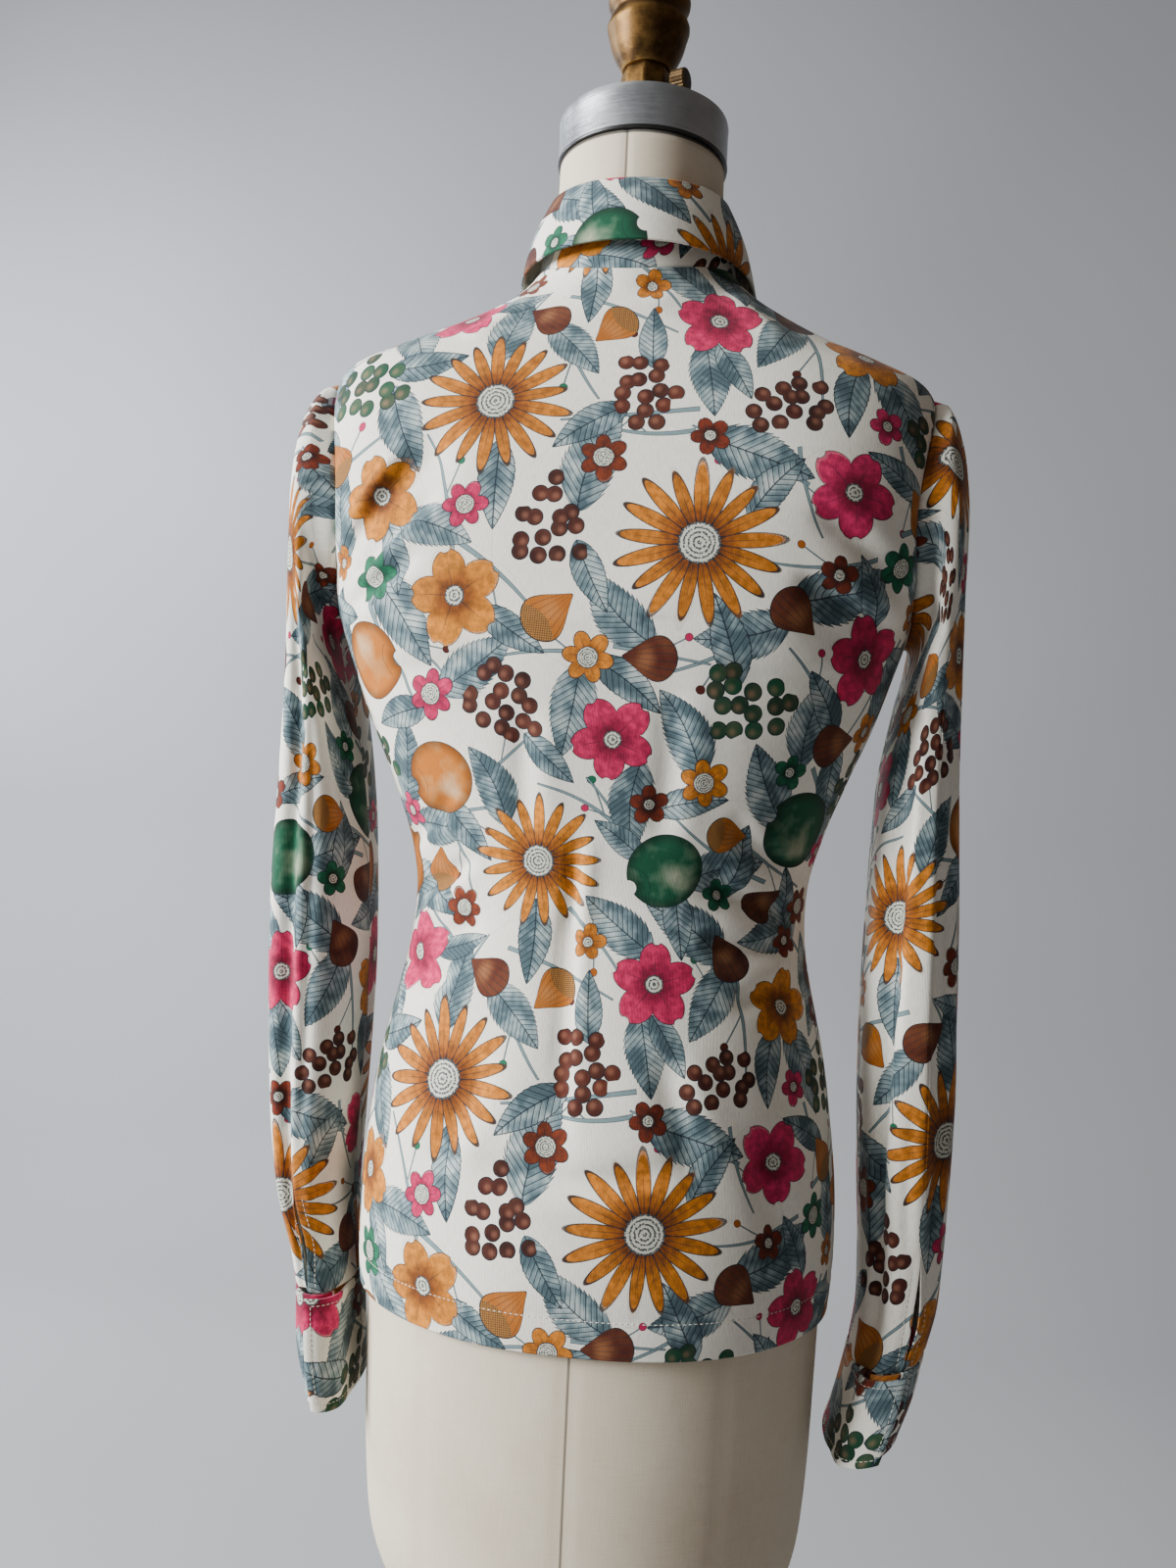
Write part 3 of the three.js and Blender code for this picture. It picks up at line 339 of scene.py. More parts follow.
@dataclass(frozen=True)
class Bust:
    """The two breasts of the form, and how far they push the shirt out."""

    apart: float = 76
    height: float = 1168
    wide: float = 46
    tall: float = 48
    shirt_rise: float = 11
    form_rise: float = 12.5

    def rise(self, points: Array, most: float) -> Array:
        """How far the front moves out at points."""
        across = bell((np.abs(points[..., 0]) - self.apart) / self.wide)
        up = bell((points[..., 2] - self.height) / self.tall)
        return np.where(points[..., 1] < 0, most * across * up, 0.0)


BUST = Bust()


def form_points(height: Array, turn: Array) -> Array:
    """Outer surface of the dress form, in millimetres."""
    points = ring_points(FORM_LEVELS.at(height), turn)
    points[..., 1] -= BUST.rise(points, BUST.form_rise)
    return points


class FormProbe:
    """Reach of the form from its axis, by height and direction, to keep cloth off it."""

    heights = np.linspace(700, 1330, 211)
    angles = np.linspace(-HALF_TURN, HALF_TURN, 361)

    def __init__(self) -> None:
        """Measures the form's surface on a fine grid."""
        grid = form_points(*crossed(self.heights, np.linspace(0, FULL_TURN, 721)))
        rows = []
        for row in grid:
            angle = np.arctan2(row[:, 1], row[:, 0])
            order = np.argsort(angle)
            reach = np.hypot(row[:, 0], row[:, 1])
            rows.append(np.interp(self.angles, angle[order], reach[order], period=FULL_TURN))
        self.reach = np.array(rows)

    def clear(self, points: Array, least: float) -> Array:
        """Pushes points outwards where they come nearer to the form than a distance.

        Args:
            points: points in millimetres.
            least: the distance to keep, in millimetres.

        Returns:
            The points, moved where that was needed.
        """
        angle = np.arctan2(points[..., 1], points[..., 0])
        a = (angle - self.angles[0]) / (self.angles[1] - self.angles[0])
        h = (points[..., 2] - self.heights[0]) / (self.heights[1] - self.heights[0])
        a0 = np.clip(a.astype(int), 0, len(self.angles) - 2)
        h0 = np.clip(h.astype(int), 0, len(self.heights) - 2)
        fa, fh = np.clip(a - a0, 0, 1), np.clip(h - h0, 0, 1)
        low = self.reach[h0, a0] * (1 - fa) + self.reach[h0, a0 + 1] * fa
        high = self.reach[h0 + 1, a0] * (1 - fa) + self.reach[h0 + 1, a0 + 1] * fa
        limit = low * (1 - fh) + high * fh + least
        reach = np.hypot(points[..., 0], points[..., 1])
        inside = points[..., 2] < self.heights[-1]
        grow = np.where(inside & (reach < limit), limit / np.maximum(reach, 1e-6), 1.0)
        moved = points.copy()
        moved[..., 0] *= grow
        moved[..., 1] *= grow
        return moved


def grid_normals(points: Array, closed: bool, flip: bool) -> Array:
    """Outward normals of a grid of points.

    Args:
        points: rows and columns of points.
        closed: whether each row comes back to its start.
        flip: whether the grid winds the other way.

    Returns:
        A unit normal for each point.
    """
    if closed:
        around = np.roll(points, -1, axis=1) - np.roll(points, 1, axis=1)
    else:
        around = np.gradient(points, axis=1)
    normal = np.cross(around, np.gradient(points, axis=0))
    return unit(-normal if flip else normal)


@dataclass
class Patch:
    """A grid of points on a cloth surface, with its flat pattern, in millimetres."""

    points: Array
    across: Array
    up: Array
    closed: bool = False
    flip: bool = False
    spread: bool = False
    origin: tuple[float, float] = (0.0, 0.0)
    pattern: Array | None = None

    @staticmethod
    def measured(points: Array, **values: object) -> "Patch":
        """Patch of a grid of points, with its lengths along rows and columns as its flat pattern."""
        return Patch(points, arc_columns(points), arc_rows(points), **values)

    def from_sides(self) -> Array:
        """Length along each row to the nearer of its two ends."""
        return np.minimum(self.across, self.across[:, -1:] - self.across)

    def flat_size(self) -> tuple[float, float]:
        """Width and height of the flat pattern in metres, as unwrapped or else as measured."""
        if self.pattern is None:
            return float(self.across.max()) * MM, float(self.up.max()) * MM
        wide, tall = np.ptp(self.pattern, axis=(0, 1))
        return float(wide) * MM, float(tall) * MM

    def flatten(self, obj: bpy.types.Object, faces: Array) -> None:
        """Lays a bent panel flat by unwrapping it, to its true size and with its grain upright.

        Args:
            obj: the panel's object, with the UV map "pattern".
            faces: corners of its faces.
        """
        select_only(obj)
        bpy.ops.object.mode_set(mode="EDIT")
        bpy.ops.mesh.select_all(action="SELECT")
        bpy.ops.uv.unwrap(method="CONFORMAL", margin=0.0, correct_aspect=False)
        bpy.ops.object.mode_set(mode="OBJECT")
        loops = np.zeros(faces.size * 2, np.float32)
        obj.data.uv_layers[PATTERN_MAP].data.foreach_get("uv", loops)
        flat = np.zeros((self.across.size, 2))
        flat[faces.ravel()] = loops.reshape(-1, 2)
        found = flat[:, 0] + 1j * flat[:, 1]
        wanted = (self.across + 1j * self.up).ravel()
        found -= found.mean()
        turn = np.vdot(found, wanted - wanted.mean())
        corners = found[faces]
        first, second = corners[:, 2] - corners[:, 0], corners[:, 3] - corners[:, 1]
        area = np.abs(np.imag(np.conj(first) * second)).sum() / 2
        grow = math.sqrt(sheet_area(self) / MM / MM / area)
        laid = found * turn / abs(turn) * grow
        self.pattern = np.stack([laid.real, laid.imag], axis=-1).reshape(*self.across.shape, 2)
        obj.data.uv_layers[PATTERN_MAP].data.foreach_set(
            "uv", self.flat_places(faces).astype(np.float32).ravel())

    def normals(self) -> Array:
        """Outward normals of the grid."""
        return grid_normals(self.points, self.closed, self.flip)

    def sink(self, depth: Array) -> None:
        """Moves the surface inwards along its normals by depths in millimetres."""
        self.points = self.points - self.normals() * depth[..., None]

    def place(self, row: Array, column: Array) -> tuple[Array, Array]:
        """Points and normals between the grid's points.

        Args:
            row: places along the rows' count.
            column: places along the columns' count.

        Returns:
            The points and their normals.
        """
        normals = self.normals()
        rows, columns = self.points.shape[:2]
        i = np.clip(np.floor(row).astype(int), 0, rows - 2)
        j = np.clip(np.floor(column).astype(int), 0, columns - 2)
        fr, fc = (row - i)[..., None], (column - j)[..., None]

        def mix(grid: Array) -> Array:
            """Value of a grid at the places."""
            low = grid[i, j] * (1 - fc) + grid[i, j + 1] * fc
            return low * (1 - fr) + (grid[i + 1, j] * (1 - fc) + grid[i + 1, j + 1] * fc) * fr

        return mix(self.points), unit(mix(normals))

    def trace(self, across: Array, up: Array, from_end: bool = False) -> tuple[Array, Array]:
        """Points and normals of a line on the cloth, given by lengths in millimetres.

        Args:
            across: lengths from the first column, or from the last one.
            up: lengths from the first row.
            from_end: whether across is measured from the last column.

        Returns:
            The points and their normals.
        """
        rows = np.interp(up, self.up[:, -1 if from_end else 0], np.arange(len(self.up)))
        columns = []
        for row, length in zip(rows.astype(int), across):
            run = self.across[row]
            wanted = run[-1] - length if from_end else length
            columns.append(float(np.interp(wanted, run, np.arange(len(run)))))
        return self.place(rows, np.array(columns))

    def faces(self) -> Array:
        """Corners of every face, as numbers of points."""
        rows, columns = self.points.shape[:2]
        i, j = np.meshgrid(np.arange(rows - 1), np.arange(columns - (not self.closed)), indexing="ij")
        k = (j + 1) % columns
        corners = np.stack([i * columns + j, i * columns + k, (i + 1) * columns + k,
                            (i + 1) * columns + j], axis=-1).reshape(-1, 4)
        return corners[:, ::-1] if self.flip else corners

    def flat_places(self, faces: Array) -> Array:
        """Flat pattern at each corner of the faces, in metres."""
        flat = np.stack([self.across, self.up], axis=-1) if self.pattern is None else self.pattern
        return (flat.reshape(-1, 2)[faces] + self.origin) * MM


def arc_columns(points: Array) -> Array:
    """Length along each row from its first column."""
    steps = np.linalg.norm(np.diff(points, axis=1), axis=-1)
    return np.concatenate([np.zeros((len(points), 1)), np.cumsum(steps, axis=1)], axis=1)


def arc_rows(points: Array) -> Array:
    """Length along each column from the first row."""
    steps = np.linalg.norm(np.diff(points, axis=0), axis=-1)
    return np.concatenate([np.zeros((1, points.shape[1])), np.cumsum(steps, axis=0)], axis=0)


def edged(width: float, step: float) -> Array:
    """Even places from 0 to 1 over a width, closer together next to both ends."""
    fine, start = np.array([0.0, 0.7, 1.6, 2.8]), 4.6
    middle = np.linspace(start, width - start, max(2, round((width - 2 * start) / step)) + 1)
    return np.concatenate([fine, middle, width - fine[::-1]]) / width


def linear(code: str) -> tuple[float, float, float, float]:
    """Linear colour of a six-figure code, with full alpha."""
    parts = [int(code[i:i + 2], 16) / 255 for i in (1, 3, 5)]
    made = [c / 12.92 if c <= 0.04045 else ((c + 0.055) / 1.055) ** 2.4 for c in parts]
    return (made[0], made[1], made[2], 1.0)


Value = bpy.types.NodeSocket | float | tuple[float, ...]


class Graph:
    """A node tree, written as plain sums."""

    def __init__(self, tree: bpy.types.NodeTree) -> None:
        """Takes the tree that the nodes go into."""
        self.tree = tree

    def node(self, kind: str, **settings: object) -> bpy.types.Node:
        """Adds a node and sets its properties."""
        made = self.tree.nodes.new(kind)
        for key, value in settings.items():
            setattr(made, key, value)
        return made

    def feed(self, value: Value, socket: bpy.types.NodeSocket) -> None:
        """Links a socket to an input, or sets the input's value."""
        if isinstance(value, bpy.types.NodeSocket):
            self.tree.links.new(value, socket)
        else:
            socket.default_value = value

    def fill(self, node: bpy.types.Node, **values: Value) -> bpy.types.Node:
        """Feeds named inputs of a node; an underscore stands for a space."""
        for key, value in values.items():
            self.feed(value, node.inputs[key.replace("_", " ")])
        return node

    def math(self, operation: str, *values: Value, clamp: bool = False) -> bpy.types.NodeSocket:
        """Result of a Math node."""
        made = self.node("ShaderNodeMath", operation=operation, use_clamp=clamp)
        for value, socket in zip(values, made.inputs):
            self.feed(value, socket)
        return made.outputs[0]

    def add(self, *values: Value) -> bpy.types.NodeSocket:
        """Sum of values."""
        total = values[0]
        for value in values[1:]:
            total = self.math("ADD", total, value)
        return total

    def times(self, *values: Value) -> bpy.types.NodeSocket:
        """Product of values."""
        total = values[0]
        for value in values[1:]:
            total = self.math("MULTIPLY", total, value)
        return total

    def less(self, a: Value, b: Value) -> bpy.types.NodeSocket:
        """Difference of two values."""
        return self.math("SUBTRACT", a, b)

    def scaled(self, value: Value, factor: Value, offset: Value, clamp: bool = False) -> bpy.types.NodeSocket:
        """Value times a factor, plus an offset."""
        return self.math("MULTIPLY_ADD", value, factor, offset, clamp=clamp)

    def over(self, a: Value, b: Value) -> bpy.types.NodeSocket:
        """Quotient of two values."""
        return self.math("DIVIDE", a, b)

    def below(self, a: Value, b: Value) -> bpy.types.NodeSocket:
        """1 where the first value is the lower one, and 0 elsewhere."""
        return self.math("LESS_THAN", a, b)

    def above(self, a: Value, b: Value) -> bpy.types.NodeSocket:
        """1 where the first value is the higher one, and 0 elsewhere."""
        return self.math("GREATER_THAN", a, b)

    def lower(self, a: Value, b: Value) -> bpy.types.NodeSocket:
        """The lower of two values."""
        return self.math("MINIMUM", a, b)

    def higher(self, a: Value, b: Value) -> bpy.types.NodeSocket:
        """The higher of two values."""
        return self.math("MAXIMUM", a, b)

    def sine(self, value: Value) -> bpy.types.NodeSocket:
        """Sine of an angle in radians."""
        return self.math("SINE", value)

    def size(self, value: Value) -> bpy.types.NodeSocket:
        """A value without its sign."""
        return self.math("ABSOLUTE", value)

    def floor(self, value: Value) -> bpy.types.NodeSocket:
        """The whole number at or below a value."""
        return self.math("FLOOR", value)

    def fract(self, value: Value) -> bpy.types.NodeSocket:
        """What a value has beyond its whole number."""
        return self.math("FRACT", value)

    def hypot(self, a: Value, b: Value) -> bpy.types.NodeSocket:
        """Length of a flat vector."""
        return self.math("SQRT", self.scaled(a, a, self.times(b, b)))

    def smooth(self, value: Value, low: float, high: float) -> bpy.types.NodeSocket:
        """Smooth step from 0 at low to 1 at high; it falls where low is above high."""
        made = self.node("ShaderNodeMapRange", interpolation_type="SMOOTHSTEP")
        first, last = (1.0, 0.0) if low > high else (0.0, 1.0)
        self.fill(made, Value=value, From_Min=min(low, high), From_Max=max(low, high),
                  To_Min=first, To_Max=last)
        return made.outputs["Result"]

    def mix(self, share: Value, first: Value, second: Value, blend: str = "MIX") -> bpy.types.NodeSocket:
        """Mixture of two colours."""
        made = self.node("ShaderNodeMix", data_type="RGBA", blend_type=blend)
        self.feed(share, made.inputs["Factor"])
        self.feed(first, made.inputs[MIX_FIRST])
        self.feed(second, made.inputs[MIX_SECOND])
        return made.outputs[MIX_COLOUR]

    def shaded(self, colour: Value, tone: Value) -> bpy.types.NodeSocket:
        """Colour made darker by a tone below 1."""
        return self.mix(1.0, colour, self.vector(tone, tone, tone), "MULTIPLY")

    def parts(self, vector: Value) -> tuple[bpy.types.NodeSocket, ...]:
        """The three numbers of a vector."""
        made = self.node("ShaderNodeSeparateXYZ")
        self.feed(vector, made.inputs[0])
        return tuple(made.outputs)

    def vector(self, *values: Value) -> bpy.types.NodeSocket:
        """Vector of three numbers."""
        made = self.node("ShaderNodeCombineXYZ")
        for value, socket in zip(values, made.inputs):
            self.feed(value, socket)
        return made.outputs[0]

    def noise(self, vector: Value, scale: Value, detail: float = 2.0, rough: float = 0.5,
              dimensions: str = "3D") -> bpy.types.NodeSocket:
        """Value of a noise texture."""
        made = self.node("ShaderNodeTexNoise", noise_dimensions=dimensions)
        return self.fill(made, Vector=vector, Scale=scale, Detail=detail, Roughness=rough).outputs[0]

    def chance(self, value: Value) -> bpy.types.NodeSocket:
        """A number from 0 to 1 that belongs to a value."""
        made = self.node("ShaderNodeTexWhiteNoise", noise_dimensions="1D")
        self.feed(value, made.inputs["W"])
        return made.outputs["Value"]

    def choice(self, value: Value, colours: tuple[str, ...]) -> bpy.types.NodeSocket:
        """One of several colours, by a number from 0 to 1."""
        made = self.node("ShaderNodeValToRGB")
        ramp = made.color_ramp
        ramp.interpolation = "CONSTANT"
        ramp.elements[0].color = linear(colours[0])
        ramp.elements[1].position = 1 / len(colours)
        ramp.elements[1].color = linear(colours[1])
        for i, code in enumerate(colours[2:], 2):
            ramp.elements.new(i / len(colours)).color = linear(code)
        self.feed(value, made.inputs[0])
        return made.outputs[0]

    def ramp(self, value: Value, stops: tuple[tuple[float, str], ...]) -> bpy.types.NodeSocket:
        """Colour on a ramp of positions and colour codes."""
        made = self.node("ShaderNodeValToRGB")
        elements = made.color_ramp.elements
        elements[0].position, elements[0].color = stops[0][0], linear(stops[0][1])
        elements[1].position, elements[1].color = stops[-1][0], linear(stops[-1][1])
        for position, code in stops[1:-1]:
            elements.new(position).color = linear(code)
        self.feed(value, made.inputs[0])
        return made.outputs[0]

    def group(self, tree: bpy.types.NodeTree, **values: Value) -> bpy.types.Node:
        """Places a node group and feeds its named inputs."""
        return self.fill(self.node("ShaderNodeGroup", node_tree=tree), **values)

    def place(self) -> bpy.types.NodeSocket:
        """Place on the piece, in metres."""
        return self.node("ShaderNodeTexCoord").outputs["Object"]

    def pattern(self) -> bpy.types.NodeSocket:
        """Place on the flat pattern, in metres."""
        return self.node("ShaderNodeUVMap", uv_map=PATTERN_MAP).outputs[0]

    def relief(self, height: Value, strength: float, distance: float) -> bpy.types.NodeSocket:
        """Normal of a surface with a fine relief."""
        bump = self.node("ShaderNodeBump")
        return self.fill(bump, Strength=strength, Distance=distance, Height=height).outputs[0]


def new_group(name: str, inputs: dict[str, str],
              outputs: dict[str, str]) -> tuple[Graph, dict[str, bpy.types.NodeSocket], bpy.types.Node]:
    """Starts a shader node group.

    Args:
        name: name of the group.
        inputs: kind of each named input: Float, Vector or Color.
        outputs: kind of each named output.

    Returns:
        The graph, its inputs by name, and the node that takes its outputs.
    """
    tree = bpy.data.node_groups.new(name, "ShaderNodeTree")
    for title, kind in inputs.items():
        tree.interface.new_socket(title, in_out="INPUT", socket_type="NodeSocket" + kind)
    for title, kind in outputs.items():
        tree.interface.new_socket(title, in_out="OUTPUT", socket_type="NodeSocket" + kind)
    graph = Graph(tree)
    entry = graph.node("NodeGroupInput")
    return graph, {title: entry.outputs[title] for title in inputs}, graph.node("NodeGroupOutput")


class Motif(Enum):
    """Motifs of the print, from the lowest layer to the uppermost."""

    STEM = "stem"
    TWIG = "twig"
    LEAF = "leaf"
    FROND = "frond"
    BERRIES = "berries"
    NUT = "nut"
    FRUIT = "fruit"
    ROSETTE = "rosette"
    POSY = "posy"
    BLOSSOM = "blossom"
    DAISY = "daisy"


@dataclass(frozen=True)
class MotifSize:
    """Half length and half width of a motif in millimetres, and how many a repeat holds."""

    half_long: float
    half_wide: float
    count: int
    tuck: float = 0.0


MOTIF_SIZES: dict[Motif, MotifSize] = {
    Motif.DAISY: MotifSize(43, 43, 3),
    Motif.FRUIT: MotifSize(24, 23, 5),
    Motif.BLOSSOM: MotifSize(27, 27, 8),
    Motif.BERRIES: MotifSize(30, 24, 7),
    Motif.NUT: MotifSize(15, 12.5, 12),
    Motif.ROSETTE: MotifSize(14.5, 14.5, 9),
    Motif.POSY: MotifSize(12, 12, 13),
    Motif.LEAF: MotifSize(28, 14, 32, 9),
    Motif.FROND: MotifSize(23, 9.5, 30, 8),
    Motif.STEM: MotifSize(36, 8, 17),
    Motif.TWIG: MotifSize(28, 7, 17),
}
ROUND_MOTIFS = (Motif.DAISY, Motif.FRUIT, Motif.BLOSSOM, Motif.BERRIES, Motif.NUT, Motif.ROSETTE, Motif.POSY)
LONG_MOTIFS = (Motif.LEAF, Motif.FROND, Motif.STEM, Motif.TWIG)
SOFT_MOTIFS = (Motif.LEAF, Motif.FROND, Motif.FRUIT, Motif.NUT, Motif.BERRIES)
Circle = tuple[float, float, float]


@dataclass(frozen=True)
class LeafStyle:
    """How far a leaf's body stays inside its half width, and how long its teeth are."""

    inset: float
    teeth: float


@dataclass(frozen=True)
class FlowerStyle:
    """A flower's petals in shares of its radius, its colours, and how close its heart's rings are."""

    count: float
    middle: float
    long: float
    wide: float
    notch: float
    heart: float
    petals: tuple[str, ...]
    bases: tuple[str, ...]
    rings: float


LEAVES = {Motif.LEAF: LeafStyle(1.6, 1.8), Motif.FROND: LeafStyle(0.5, 0.6)}
FLOWERS = {
    Motif.DAISY: FlowerStyle(17.0, 0.595, 0.42, 0.092, 0.0, 0.245,
                             ("#C98A34", "#CF8F36"),
                             ("#8A5216", "#925A1A"), 2.7),
    Motif.BLOSSOM: FlowerStyle(5.0, 0.56, 0.45, 0.385, 0.13, 0.2,
                               ("#D8487C", "#D24374", "#DA5082", "#D09239", "#D8487C"),
                               ("#9C2552", "#9C2552", "#A62C5A", "#8F5A1E", "#9C2552"), 3.0),
    Motif.ROSETTE: FlowerStyle(6.0, 0.58, 0.42, 0.32, 0.0, 0.4,
                               ("#CC8D38", "#2C7D60", "#CC8D38", "#C43C6E", "#8A4A2B"),
                               ("#95601F", "#134C3A", "#95601F", "#8E1F49", "#54291A"), 5.0),
    Motif.POSY: FlowerStyle(5.0, 0.57, 0.43, 0.37, 0.1, 0.28,
                            ("#2C7D60", "#8A452B", "#CE4377", "#8A452B", "#C98A34"),
                            ("#134C3A", "#54291A", "#8E1F49", "#54291A", "#95601F"), 5.0),
}


class PrintLayout:
    """Where the motifs of one repeat of the print lie, scattered so that they hardly overlap."""

    no_neighbour = 200.0
    round_tries = 500
    long_tries = 160
    most_room = 1.6

    def __init__(self, wide: float = 345, tall: float = 390, seed: int = 11) -> None:
        """Scatters the motifs.

        Args:
            wide: width of the repeat in millimetres.
            tall: its height.
            seed: start of the scattering.
        """
        self.size = np.array([wide, tall])
        self.random = np.random.default_rng(seed)
        self.places: dict[Motif, Array] = {}
        self.taken: list[Circle] = []
        for motif in ROUND_MOTIFS:
            self.scatter(motif)
        flowers = list(self.taken)
        for motif in LONG_MOTIFS:
            self.attach(motif, flowers)

    def gaps(self, x: Array, y: Array, taken: list[Circle]) -> Array:
        """Clear distance from places to the nearest of the taken circles, over the repeat's edges."""
        least = np.full(np.shape(x), self.no_neighbour)
        wide, tall = self.size
        for tx, ty, radius in taken:
            dx = (x - tx + wide / 2) % wide - wide / 2
            dy = (y - ty + tall / 2) % tall - tall / 2
            least = np.minimum(least, np.hypot(dx, dy) - radius)
        return least

    def scatter(self, motif: Motif) -> None:
        """Places a round motif where there is most room."""
        size = MOTIF_SIZES[motif]
        reach = (size.half_long + size.half_wide) / 2
        ample = reach * self.most_room
        rows = []
        own: list[Circle] = []
        for _ in range(size.count):
            x, y = (self.random.uniform(0, side, self.round_tries) for side in self.size)
            room = np.minimum(self.gaps(x, y, self.taken), self.gaps(x, y, own) * 0.7)
            best = int(np.argmax(np.where(room > ample, ample - room * 0.2, room)))
            scale = self.random.uniform(0.92, 1.08)
            angle, seed = self.random.uniform(0, FULL_TURN), self.random.uniform(0, 1)
            self.taken.append((x[best], y[best], reach))
            own.append((x[best], y[best], reach))
            rows.append((x[best], y[best], angle, scale, seed))
        self.places[motif] = np.array(rows)

    def attach(self, motif: Motif, flowers: list[Circle]) -> None:
        """Places a long motif with its foot under the edge of a flower, where there is room."""
        size = MOTIF_SIZES[motif]
        rows = []
        own: list[Circle] = []
        for _ in range(size.count):
            pick = self.random.integers(0, len(flowers), self.long_tries)
            angle = self.random.uniform(0, FULL_TURN, self.long_tries)
            base = np.array(flowers)[pick]
            away = base[:, 2] * 0.8 + size.half_long - size.tuck
            x, y = base[:, 0] + np.cos(angle) * away, base[:, 1] + np.sin(angle) * away
            tip_x = x + np.cos(angle) * size.half_long * 0.5
            tip_y = y + np.sin(angle) * size.half_long * 0.5
            room = self.gaps(tip_x, tip_y, self.taken) + 0.6 * self.gaps(x, y, own)
            best = int(np.argmax(room))
            own.append((x[best], y[best], size.half_long * 0.8))
            lean = self.random.normal(0, 0.2)
            rows.append((x[best], y[best], angle[best] + lean, self.random.uniform(0.85, 1.15),
                         self.random.uniform(0, 1)))
        self.places[motif] = np.array(rows)
        self.taken.extend((x, y, size.half_wide) for x, y, *_ in rows)

    def local(self, motif: Motif, flat: Array) -> Array:
        """Places of face corners in the frame of the nearest motif of a kind.

        Args:
            motif: the kind.
            flat: flat pattern at the corners of each face, in millimetres.

        Returns:
            Along, across and the motif's own number, for each corner.
        """
        size = MOTIF_SIZES[motif]
        middle = flat.mean(axis=1)
        best = np.full(len(flat), 1e9)
        made = np.zeros((*flat.shape[:2], 3))
        for x, y, angle, scale, seed in self.places[motif]:
            away = middle - (x, y)
            turns = np.round(away / self.size)
            away = away - turns * self.size
            c, s = math.cos(angle), math.sin(angle)
            along = (away[:, 0] * c + away[:, 1] * s) / scale
            across = (-away[:, 0] * s + away[:, 1] * c) / scale
            measure = np.hypot(along / size.half_long, across / size.half_wide)
            near = measure < best
            best = np.where(near, measure, best)
            corner = flat[near] - (x, y) - (turns * self.size)[near][:, None, :]
            made[near, :, 0] = (corner[..., 0] * c + corner[..., 1] * s) / scale
            made[near, :, 1] = (-corner[..., 0] * s + corner[..., 1] * c) / scale
            made[near, :, 2] = seed
        return made


PETAL_MEASURES = ("Edge", "Heart Edge", "Along", "Chance", "Side")


